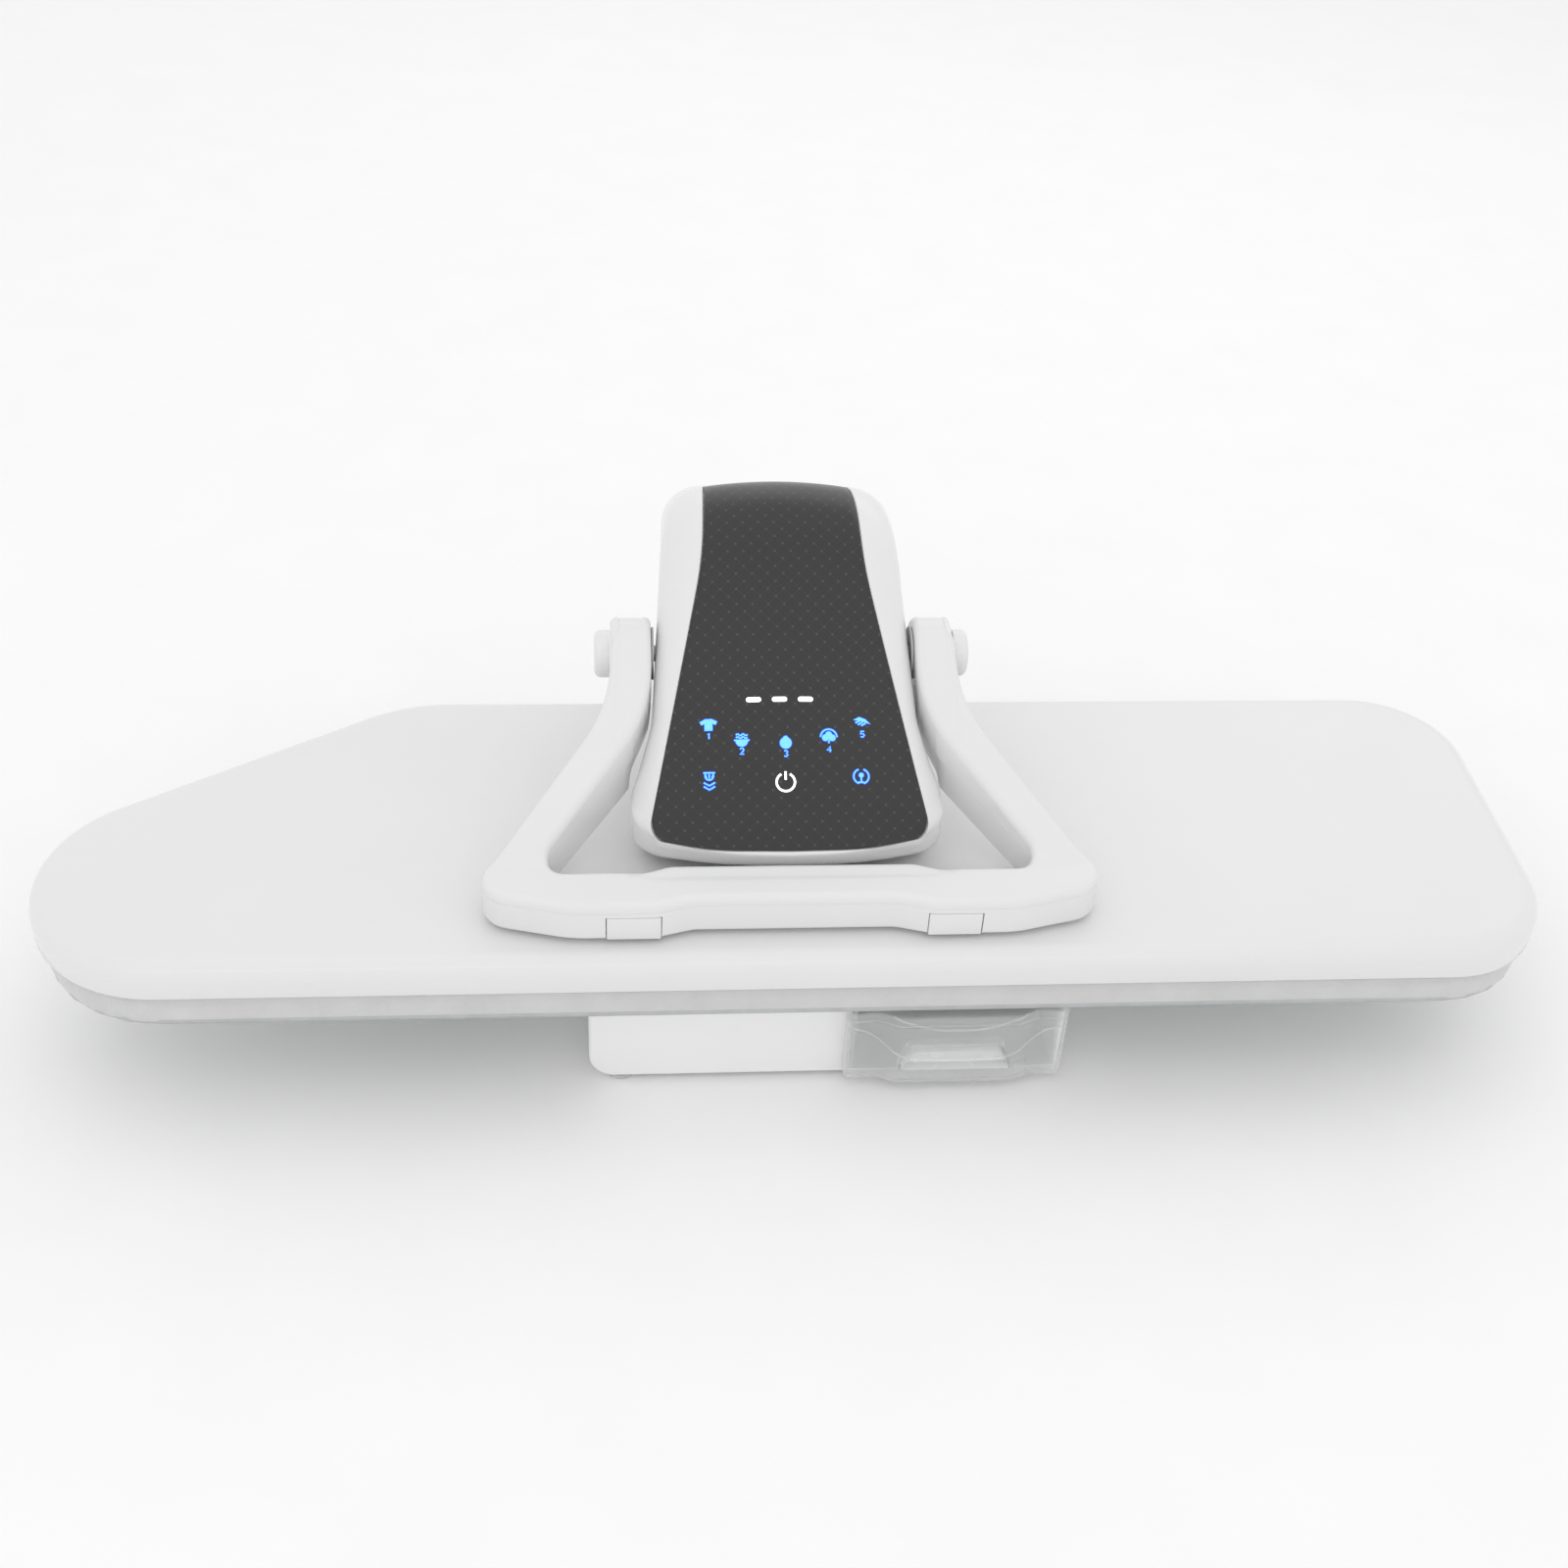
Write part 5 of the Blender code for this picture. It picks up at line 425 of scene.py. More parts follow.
class Look:
    """A material with its main shader, and short ways to add nodes to it."""

    def __init__(self, name, roughness, metallic=0.0):
        self.material = bpy.data.materials.new(name)
        self.material.use_nodes = True
        self.tree = self.material.node_tree
        self.place = self.node("TexCoord", {}, "Object")
        self.shade({"Roughness": roughness, "Metallic": metallic})

    def feed(self, node, inputs):
        """Joins or sets a node's inputs."""
        for key, value in inputs.items():
            if isinstance(value, bpy.types.NodeSocket):
                self.tree.links.new(value, node.inputs[key])
            else:
                node.inputs[key].default_value = value

    def node(self, kind, inputs, output=0, **settings):
        """Adds a node and returns one of its outputs."""
        made = self.tree.nodes.new("ShaderNode" + kind)
        for key, value in settings.items():
            setattr(made, key, value)
        self.feed(made, inputs)
        return made.outputs[output]

    def shade(self, inputs):
        """Joins or sets inputs of the main shader, and returns the material."""
        self.feed(self.tree.nodes["Principled BSDF"], inputs)
        return self.material

    def maths(self, operation, first, second, *more):
        """One step of arithmetic."""
        inputs = dict(enumerate((first, second, *more)))
        return self.node("Math", inputs, operation=operation)

    def noise(self, scale, detail=3.0, roughness=0.5, stretch=None):
        """A noise texture, stretched along an axis if asked."""
        place = self.place
        if stretch is not None:
            place = self.node("Mapping", {"Scale": stretch, "Vector": place})
        inputs = {"Scale": scale, "Detail": detail, "Roughness": roughness, "Vector": place}
        return self.node("TexNoise", inputs, "Fac")

    def ramp(self, value, *stops):
        """A colour ramp with (position, colour) stops."""
        made = self.tree.nodes.new("ShaderNodeValToRGB")
        elements = made.color_ramp.elements
        elements[0].position, elements[1].position = stops[0][0], stops[-1][0]
        elements[0].color, elements[1].color = (*stops[0][1], 1), (*stops[-1][1], 1)
        for position, colour in stops[1:-1]:
            elements.new(position).color = (*colour, 1)
        self.feed(made, {"Fac": value})
        return made.outputs["Color"]

    def spread(self, value, low, high):
        """A value from 0 to 1 turned into a range."""
        return self.node("MapRange", {"Value": value, "To Min": low, "To Max": high}, "Result")

    def bump(self, value, strength, distance, after=None):
        """A bump from a value, on top of another if given."""
        inputs = {"Strength": strength, "Distance": distance, "Height": value}
        if after is not None:
            inputs["Normal"] = after
        return self.node("Bump", inputs, "Normal")


SCRATCH_DEPTH = 0.0006
TOOTH_DEPTH = 0.0002
THREAD_DEPTH = 0.0003
CREASE_DEPTH = 0.002
CELL_DEPTH = 0.0006
TRACK_DEPTH = 0.0002
FLOW_DEPTH = 0.0008
FINEST_GRAIN = 0.00006
FINE_GRAIN = 0.0001
BASE_GRAIN = 0.00012
COARSE_GRAIN = 0.0002


def grey(value, warm=0.0):
    """A grey with a little warmth."""
    return (value + warm, value, value - warm)


def dimmed(colour, share):
    """A colour times a share."""
    return tuple(part * share for part in colour)


def moulded_plastic(name, shade, roughness, grain, grain_depth, coat=0.0):
    """Moulded plastic: faint mottling, a fine spark or orange-peel grain, and handling marks."""
    look = Look(name, roughness)
    return look.shade({
        "Base Color": look.ramp(look.noise(14.0, 4.0), (0.3, grey(shade * 0.985)), (0.7, grey(shade))),
        "Roughness": look.spread(look.noise(45.0, 6.0, 0.6), roughness * 0.85, roughness * 1.2),
        "Normal": look.bump(look.noise(grain, 2.0), 0.25, grain_depth),
        "Specular IOR Level": 0.45, "Coat Weight": coat, "Coat Roughness": 0.12,
    })


def metal(name, colour, roughness, stretch):
    """Brushed or drawn metal, with its lines along one axis."""
    look = Look(name, roughness, 1.0)
    lines = look.noise(90.0, 8.0, 0.65, stretch)
    return look.shade({
        "Base Color": look.ramp(lines, (0.3, dimmed(colour, 0.86)), (0.75, colour)),
        "Roughness": look.spread(lines, roughness * 0.7, roughness * 1.35),
        "Normal": look.bump(lines, 0.3, SCRATCH_DEPTH),
    })


def rubbery(name, shade, roughness):
    """Rubber or silicone with a fine tooth and dusty patches."""
    look = Look(name, roughness)
    return look.shade({
        "Base Color": look.ramp(look.noise(60.0, 5.0), (0.35, dimmed(shade, 0.8)), (0.7, shade)),
        "Normal": look.bump(look.noise(800.0, 2.0), 0.4, TOOTH_DEPTH),
    })


def woven_cloth(name):
    """Plain-woven silvery cotton: crossing yarns, slubs and a soft sheen."""
    look = Look(name, 0.6)
    weave = {"Scale": 420.0, "Distortion": 0.6, "Detail": 2.0, "Detail Scale": 1.5, "Vector": look.place}
    yarns = [look.node("TexWave", weave, "Fac", wave_type="BANDS", bands_direction=axis) for axis in "XY"]
    crossed = look.maths("MULTIPLY", *yarns)
    tint = look.maths("MULTIPLY_ADD", crossed, 0.35, look.noise(35.0, 6.0, 0.6, (1.0, 6.0, 1.0)))
    threads = look.bump(crossed, 0.5, THREAD_DEPTH)
    return look.shade({
        "Base Color": look.ramp(tint, (0.35, grey(0.61)), (0.95, grey(0.70))),
        "Normal": look.bump(look.noise(9.0), 0.15, CREASE_DEPTH, threads),
        "Metallic": 0.05, "Sheen Weight": 0.3, "Sheen Roughness": 0.4,
    })


def felted(name, shade, scale):
    """Foam or felt: fibres or cells."""
    look = Look(name, 0.95)
    cells = look.node("TexVoronoi", {"Scale": scale, "Vector": look.place}, "Distance")
    return look.shade({
        "Base Color": look.ramp(cells, (0.1, dimmed(shade, 0.7)), (0.5, shade)),
        "Normal": look.bump(cells, 0.6, CELL_DEPTH),
    })


def circuit(name):
    """Green solder mask with lighter tracks."""
    look = Look(name, 0.35)
    tracks = {
        "Scale": 160.0, "Mortar Size": 0.06, "Color1": (0.02, 0.13, 0.05, 1),
        "Color2": (0.03, 0.17, 0.07, 1), "Mortar": (0.09, 0.32, 0.13, 1), "Vector": look.place,
    }
    return look.shade({
        "Base Color": look.node("TexBrick", tracks, "Color"),
        "Normal": look.bump(look.node("TexBrick", tracks, "Fac"), 0.3, TRACK_DEPTH),
    })


def lattice_spots(look):
    """Small dots where two families of thin slanting lines cross, from 0 to 1."""
    level = look.node("Mapping", {"Rotation": (-TOP_SLOPE, 0, 0), "Vector": look.place})
    spun = look.node("Mapping", {
        "Rotation": (0, 0, math.radians(45)), "Scale": (1 / LATTICE, 1 / LATTICE, 0), "Vector": level,
    })
    apart = [look.maths("PINGPONG", look.node("SeparateXYZ", {"Vector": spun}, axis), 0.5) for axis in "XY"]
    joined = look.node("CombineXYZ", {"X": apart[0], "Y": apart[1]})
    near = look.node("VectorMath", {0: joined}, "Value", operation="LENGTH")
    dots = look.ramp(near, (0.05, grey(1.0)), (0.15, grey(0.0)))
    lines = look.ramp(look.maths("MINIMUM", *apart), (0.02, grey(0.10)), (0.09, grey(0.0)))
    return look.maths("MAXIMUM", dots, lines)


def smoked_lens(name):
    """The dark lens: a faint lattice of dots and crossing lines under a smooth hard face."""
    look = Look(name, 0.30)
    base = look.ramp(look.noise(8.0), (0.3, grey(LENS_SHADE * 0.94)), (0.7, grey(LENS_SHADE)))
    mixed = look.node("Mix", {
        "Factor": lattice_spots(look), "A": base, "B": (*grey(LENS_DOT_SHADE), 1),
    }, "Result", data_type="RGBA", blend_type="MIX")
    return look.shade({
        "Base Color": mixed, "Roughness": look.spread(look.noise(30.0, 5.0), 0.24, 0.36),
        "Specular IOR Level": 0.35,
    })


def clear_plastic(name, tint, roughness, *stops):
    """Clear moulded plastic, more solid towards its edges, with faint flow marks and handling haze."""
    look = Look(name, roughness)
    flow = look.noise(25.0, 4.0)
    slant = look.node("LayerWeight", {"Blend": 0.35}, "Facing")
    return look.shade({
        "Base Color": look.ramp(flow, (0.3, dimmed(tint, 0.97)), (0.7, tint)),
        "Roughness": look.spread(look.noise(120.0, 5.0), roughness * 0.5, roughness * 1.6),
        "Normal": look.bump(flow, 0.15, FLOW_DEPTH), "Alpha": look.ramp(slant, *stops),
        "IOR": 1.46, "Specular IOR Level": 0.8,
    })


def glowing(name, colour, strength):
    """A lit shape behind the lens, a little uneven."""
    look = Look(name, 0.5)
    return look.shade({
        "Base Color": (*colour, 1), "Emission Strength": strength,
        "Emission Color": look.ramp(look.noise(600.0, 2.0), (0.3, dimmed(colour, 0.85)), (0.7, colour)),
    })


LATTICE = 0.0067
LENS_SHADE = 0.034
LENS_DOT_SHADE = 0.075
WHITE_SHADE = 0.80
CLEAR_TINT = (0.955, 0.96, 0.965)

GLOSS = moulded_plastic("gloss_white_plastic", WHITE_SHADE, 0.24, 700.0, FINEST_GRAIN, 0.15)
SATIN = moulded_plastic("satin_white_plastic", WHITE_SHADE * 0.985, 0.42, 1500.0, COARSE_GRAIN)
# A lighter copy of the satin white for the base: painted light that brightens its front and the shade inside
# the tank's bay.
LIGHTENED_BASE = moulded_plastic("lightened_base_plastic", 0.88, 0.42, 1500.0, BASE_GRAIN)
CAP_WHITE = moulded_plastic("cap_white_plastic", 0.92, 0.35, 900.0, FINE_GRAIN)
BLACK = moulded_plastic("black_plastic", 0.05, 0.45, 1200.0, COARSE_GRAIN)
LENS = smoked_lens("smoked_lens")
CLEAR = clear_plastic("clear_tank_plastic", CLEAR_TINT, 0.05, (0.0, grey(0.24)), (0.45, grey(0.30)),
                      (0.8, grey(0.72)), (1.0, grey(0.94)))
# A more opaque, whiter copy of the clear plastic for the finger recess: painted light that keeps the shaded
# recess bright.
PAINTED_LIGHT_RECESS = clear_plastic("tank_recess_painted_light", CLEAR_TINT, 0.25, (0.0, grey(0.72)), (1.0, grey(0.95)))
ALUMINIUM = metal("brushed_aluminium", (0.76, 0.77, 0.78), 0.30, (0.15, 4.0, 4.0))
STEEL = metal("zinc_plated_steel", (0.60, 0.61, 0.62), 0.38, (1.0, 1.0, 0.2))
BRASS = metal("sintered_brass", (0.60, 0.45, 0.20), 0.42, (1.0, 1.0, 1.0))
RUBBER = rubbery("black_rubber", grey(0.05), 0.80)
SILICONE = rubbery("pale_silicone", grey(0.55, 0.01), 0.50)
CLOTH = woven_cloth("silver_board_cloth")
FOAM = felted("pad_foam", (0.70, 0.67, 0.58), 700.0)
FELT = felted("heat_felt", (0.50, 0.48, 0.45), 1100.0)
BOARD_GREEN = circuit("circuit_board_green")
BLUE = glowing("blue_icon_light", (0.08, 0.27, 1.0), 2.3)
BLUE_EDGE = glowing("blue_icon_edge", (0.01, 0.06, 0.55), 1.1)
WHITE_LIGHT = glowing("white_icon_light", (1.0, 1.0, 1.0), 1.4)

LOOKS = {
    "white_gloss": GLOSS, "white_satin": SATIN, "dark_lens": LENS, "clear_tank": CLEAR,
    "silver_cloth": CLOTH, "foam": FOAM, "felt": FELT, "aluminium": ALUMINIUM, "steel": STEEL,
    "brass": BRASS, "rubber": RUBBER, "silicone": SILICONE, "black_plastic": BLACK,
    "circuit_board": BOARD_GREEN,
}


def dress_frame():
    """Gives each CAD node the finish of its slot in the record."""
    for entry in frame["record"]["subparts"]:
        node = frame["nodes"][entry["node"]]
        node.data.materials.clear()
        node.data.materials.append(LOOKS[entry["material_slot"]])


# Pressing cover and sole plate

POST_BEHIND = 0.140
POST_ROOM = (0.026, 0.016, 0.0244)
COVER_POSTS = ((-0.264, 0.129), (0.264, 0.129), (-0.050, 0.179), (0.050, 0.179))
COVER_POST_RADIUS = 0.0055
SOLE_SOFT = 0.0007
HOLE_RADIUS = 0.0022
HOLE_SPACING = 0.068
HOLE_ROW = 0.034
HOLE_COUNT = 9
SOLE_INSET = 0.0060


def make_cover():
    """The long white pressing cover, a shell with a soft edge, and the bare sole plate under it."""
    top_edge = round_edge(COVER_EDGE, COVER_TOP - COVER_EDGE, COVER_TOP, 10)
    outer = [(LIP, COVER_BOTTOM), (LIP * 0.3, COVER_BOTTOM + LIP * 0.3), (0, COVER_BOTTOM + LIP)] + top_edge
    inner_edge = round_edge(COVER_EDGE - COVER_WALL, COVER_TOP - COVER_EDGE, COVER_TOP - COVER_WALL, 6)
    inner = [(COVER_WALL + d, z) for d, z in reversed(inner_edge)] + [(COVER_WALL, COVER_BOTTOM)]
    shell = loft_mesh("pressing_cover", rings_at(board_outline(0), inner + outer))
    half, front, back = POST_ROOM
    opening = box_mesh(
        "cover_opening", (ARM_X - half, y_at(POST_BEHIND) - front, COVER_BOTTOM - OVERRUN),
        (ARM_X + half, y_at(POST_BEHIND) + back, COVER_TOP + OVERRUN),
    )
    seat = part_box("hot_plate")[1].z + GAP
    posts = [
        rod_mesh("cover_post", (ARM_X + x, y_at(d), seat), (ARM_X + x, y_at(d), COVER_TOP - COVER_WALL),
                 COVER_POST_RADIUS)
        for x, d in COVER_POSTS
    ]
    shell = join_meshes("pressing_cover", cut(shell, opening), *posts)
    link("pressing_cover", shell, "press_arm", GLOSS, ["press_cover"], 30)

    low, high = (corner.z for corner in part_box("hot_plate"))
    outlines = [board_outline(SOLE_INSET)]
    for index in range(HOLE_COUNT):
        x = ARM_X + (index - (HOLE_COUNT - 1) / 2) * HOLE_SPACING
        for row in (-1, 0, 1):
            shift = HOLE_SPACING / 4 if row else 0
            centre = (x + shift, y_at(COVER_DEPTH / 2) + row * HOLE_ROW)
            outlines.append(arc(centre, HOLE_RADIUS, 0, math.tau, 20)[:-1])
    plate = softened(slab_mesh("sole_plate", outlines, low, high), SOLE_SOFT, 2, 60)
    link("sole_plate", plate, "press_arm", ALUMINIUM, ["hot_plate"], 50)


# Padded board

BOARD_INSET = 0.0035
BOARD_EDGE = 0.0045
CLOTH_THICKNESS = 0.0012
HEM_WIDTH = 0.014
CLOTH_CAP = 0.0012
PUCKER_COUNT = 150
PUCKER_DEPTH = 0.0007
HEM_REACH = 0.002
BOARD_VOXEL = 0.0050
CLOTH_FRAMES = 12


def make_board():
    """The padded board: cloth drawn tight over foam, puckered at a drawn hem underneath."""
    low, high = (corner.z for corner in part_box("board_cloth_cover"))
    outer = board_outline(BOARD_INSET)
    levels = [(BOARD_EDGE + HEM_WIDTH * 2, low)]
    levels += reversed(round_edge(BOARD_EDGE, low + BOARD_EDGE, low, 5))
    levels += round_edge(BOARD_EDGE, high - BOARD_EDGE, high, 5)
    levels += [(BOARD_EDGE + HEM_WIDTH * step, high) for step in (1, 2, 3, 4)]
    cloth = hemmed(swollen(loft_mesh("board_pad", rings_at(outer, levels)), low, high), low)
    made = link("padded_board_cover", cloth, "stand", CLOTH, ["board_cloth_cover", "board_foam_pad"],
                80)


def swollen(pad, low, high):
    """The pad's skin after a short cloth simulation with a little pressure, kept near its start."""
    target = placed("board_cloth_work", pad)
    step = target.modifiers.new("even", "REMESH")
    step.mode = "VOXEL"
    step.voxel_size = BOARD_VOXEL
    mesh = baked(target)
    start = [vert.co.copy() for vert in mesh.vertices]
    target = placed("board_cloth_work", mesh)
    cloth = target.modifiers.new("cloth", "CLOTH")
    cloth.settings.use_pressure = True
    cloth.settings.uniform_pressure_force = 4.0
    cloth.settings.effector_weights.gravity = 0
    cloth.settings.quality = 4
    scene = bpy.context.scene
    for number in range(1, CLOTH_FRAMES + 1):
        scene.frame_set(number)
    mesh = baked(target)
    scene.frame_set(1)
    for vert, first in zip(mesh.vertices, start):
        moved = vert.co - first
        if moved.length > CLOTH_CAP:
            moved = moved.normalized() * CLOTH_CAP
        vert.co = first + moved
        vert.co.z = min(max(vert.co.z, low), high)
    return mesh


def hemmed(mesh, low):
    """Opens the underside within the hem, puckers it and gives the cloth its thickness."""
    hem_line = inset(board_outline(BOARD_INSET), HEM_WIDTH + CLOTH_THICKNESS)
    work = bmesh.new()
    work.from_mesh(mesh)
    under = [f for f in work.faces
             if f.calc_center_median().z < low + HEM_REACH and inside(hem_line, f.calc_center_median())]
    bmesh.ops.delete(work, geom=under, context="FACES")
    centre = Vector((0, y_at(COVER_DEPTH / 2)))
    for vert in work.verts:
        if vert.co.z < low + BOARD_EDGE:
            share = 1 - (vert.co.z - low) / BOARD_EDGE
            around = math.atan2(vert.co.y - centre.y, vert.co.x - centre.x)
            fold = math.sin(around * PUCKER_COUNT + 3 * math.sin(around * 7))
            vert.co.z += PUCKER_DEPTH * share * max(fold, 0)
    target = placed("board_cloth_wall", to_mesh(work, "board_cloth", outwards=False))
    wall = target.modifiers.new("wall", "SOLIDIFY")
    wall.thickness = CLOTH_THICKNESS
    wall.offset = -1
    finer = target.modifiers.new("finer", "SUBSURF")
    finer.levels = 1
    return baked(target)


def inside(outline, point):
    """Whether a point lies in an outline, seen from above."""
    x, y = point.x, point.y
    within = False
    for (x0, y0), (x1, y1) in zip(outline, outline[1:] + outline[:1]):
        if (y0 > y) != (y1 > y) and x < x0 + (x1 - x0) * (y - y0) / (y1 - y0):
            within = not within
    return within


# Pressing head

HINGE_BEHIND = 0.312
HINGE_ABOVE = 0.020
HINGE_Y = y_at(HINGE_BEHIND)
HINGE_Z = z_at(HINGE_ABOVE)
BARREL_RADIUS = 0.040
BARREL_HALF = 0.0480
REAR_STOP = math.radians(38)
COLUMN_GAP = 0.0012
LIP_BEHIND = 0.050
LIP_ABOVE = 0.0181
BACK_SLOPE = math.radians(29.7)
PEAK_BEHIND = 0.2431
PEAK_RADIUS = 0.060
CROWN_RADIUS = 0.260
CROWN_BEHIND = 0.080
SEAM_BEHIND = HINGE_BEHIND - BARREL_RADIUS - COLUMN_GAP - GAP
ARM_WALL = 0.0025
ARM_FLOOR_ABOVE = 0.0050
BELT_ABOVE = 0.020
BELT_FRONT = 0.0600
BELT_BOW_FRONT = 0.0610
BELT_CORNER_FRONT = 0.0745
BELT_CORNER_HALF = 0.0925
BELT_BOW_RADIUS = 0.200
HEAD_BOW_HALF = 0.0450
BELT_CORNER_RADIUS = 0.024
BELT_WIDEST_BEHIND = 0.105
BELT_WIDEST_HALF = 0.0925
BELT_WIDEST_RADIUS = 0.012
BELT_WAIST_BEHIND = 0.135
BELT_WAIST_HALF = 0.0797
BELT_WAIST_RADIUS = 0.030
BELT_SEAM_HALF = 0.0700
CHIN_FRONT = 0.0780
CHIN_BOW_FRONT = 0.0790
CHIN_CORNER_FRONT = 0.0880
CHIN_CORNER_RADIUS = 0.016
CHIN_INSET = 0.0045
PANEL_FRONT = 0.0620
PANEL_BOW_FRONT = 0.0625
PANEL_CORNER_FRONT = 0.0680
PANEL_CORNER_HALF = 0.0835
PANEL_CORNER_RADIUS = 0.009
PANEL_NECK_BEHIND = 0.2020
PANEL_NECK_HALF = 0.0485
PANEL_NECK_RADIUS = 0.150
PANEL_SEAM_HALF = 0.0455
LENS_THICKNESS = 0.0020
LENS_FIT = 0.0006
LENS_LEDGE = 0.0040
LENS_COLUMNS = 24
LENS_EDGE = 0.0005
LENS_WELD = 0.000002
SLOPE_STEP = 0.001
MOULD_SOFT = 0.0008
HEAD_STEPS = (50, 10, 10, 14, 8)
SHOULDER_STEPS = 10
CROWN_SHARES = [step / 5 for step in range(-5, 6)]
PIVOT_BEHIND = 0.180
PIVOT_ABOVE = 0.0876
PIVOT_Y = y_at(PIVOT_BEHIND)
PIVOT_Z = z_at(PIVOT_ABOVE)
PIVOT_SHAFT_RADIUS = 0.0050


def top_above(behind):
    """Height of the head's top line above the cover."""
    radius = PEAK_RADIUS
    rise_end = PEAK_BEHIND - radius * math.sin(TOP_SLOPE)
    fall_start = PEAK_BEHIND + radius * math.sin(BACK_SLOPE)
    line_end = LIP_ABOVE + (rise_end - LIP_BEHIND) * math.tan(TOP_SLOPE)
    centre = line_end - radius * math.cos(TOP_SLOPE)
    if behind < rise_end:
        return LIP_ABOVE + (behind - LIP_BEHIND) * math.tan(TOP_SLOPE)
    if behind > fall_start:
        edge = centre + radius * math.cos(BACK_SLOPE)
        return edge - (behind - fall_start) * math.tan(BACK_SLOPE)
    return centre + math.sqrt(radius ** 2 - (behind - PEAK_BEHIND) ** 2)


def crown_share(behind):
    """How much of its crown the top has at a distance behind: none at the front, all at the peak."""
    return max(0, min((behind - CROWN_BEHIND) / (PEAK_BEHIND - CROWN_BEHIND), 1))


def crown(x, behind):
    """How far the top falls at a distance from the head's middle."""
    return crown_share(behind) * x * x / (2 * CROWN_RADIUS)


def head_line(seam_half, waist_half, waist, wide_half, wide, corner_half, corner, bow, front, radius):
    """Half of a plan of the head, from its rear seam round to its front centre."""
    corners = [
        (seam_half, SEAM_BEHIND, 0), (waist_half, waist, BELT_WAIST_RADIUS),
        (wide_half, wide, BELT_WIDEST_RADIUS), (corner_half, corner, radius),
        (HEAD_BOW_HALF, bow, BELT_BOW_RADIUS), (0, front, 0),
    ]
    marks = round_marks(*corners[2:5]) + [corners[4][:2]]
    return paired(corners, marks, HEAD_STEPS)


def belt_line(distance=0):
    """Half of the head's widest plan, at the height of its belt, moved inwards by a distance."""
    return head_line(
        BELT_SEAM_HALF - distance, BELT_WAIST_HALF - distance, BELT_WAIST_BEHIND, BELT_WIDEST_HALF - distance,
        BELT_WIDEST_BEHIND + distance, BELT_CORNER_HALF - distance, BELT_CORNER_FRONT + distance,
        BELT_BOW_FRONT + distance, BELT_FRONT + distance, BELT_CORNER_RADIUS,
    )


def chin_line(distance=0):
    """Half of the plan of the head's bottom edge, moved inwards by a distance."""
    less = CHIN_INSET + distance
    return head_line(
        BELT_SEAM_HALF - less, BELT_WAIST_HALF - less, BELT_WAIST_BEHIND, BELT_WIDEST_HALF - less,
        BELT_WIDEST_BEHIND + less, BELT_CORNER_HALF - less - CHIN_INSET, CHIN_CORNER_FRONT + distance,
        CHIN_BOW_FRONT + distance, CHIN_FRONT + distance, CHIN_CORNER_RADIUS,
    )


def panel_line(distance=0):
    """Half of the plan of the touch lens's edge, moved inwards by a distance."""
    corners = [
        (PANEL_SEAM_HALF - distance, SEAM_BEHIND, 0),
        (PANEL_NECK_HALF - distance, PANEL_NECK_BEHIND, PANEL_NECK_RADIUS),
        (PANEL_CORNER_HALF - distance, PANEL_CORNER_FRONT + distance, PANEL_CORNER_RADIUS),
        (HEAD_BOW_HALF, PANEL_BOW_FRONT + distance, BELT_BOW_RADIUS),
        (0, PANEL_FRONT + distance, 0),
    ]
    marks = round_marks(*corners[1:4]) + [corners[3][:2]]
    return paired(corners, marks, HEAD_STEPS)


def distance_to(line, point):
    """How far a point is from the nearest place on an open line."""
    nearest = []
    for start, end in zip(line, line[1:]):
        run = end - start
        share = max(0, min((point - start).dot(run) / run.length_squared, 1))
        nearest.append((start + run * share - point).length)
    return min(nearest)


def beside(side, points):
    """Points (half width, behind, above) on one side of the head's middle."""
    return [(ARM_X + side * x, y_at(d), z_at(h)) for x, d, h in points]


def both_sides(half):
    """A row across the head from half of it: left side back to front, then right side front to back."""
    return beside(-1, half) + list(reversed(beside(1, half)[:-1]))


def shoulder(panel, out, low_edge, rise, steps):
    """Points on the quarter round between the head's side and its top."""
    angles = [quarter(SHOULDER_STEPS)[step] for step in steps]
    return [(panel + out * math.cos(a), low_edge + rise * math.sin(a)) for a in angles]


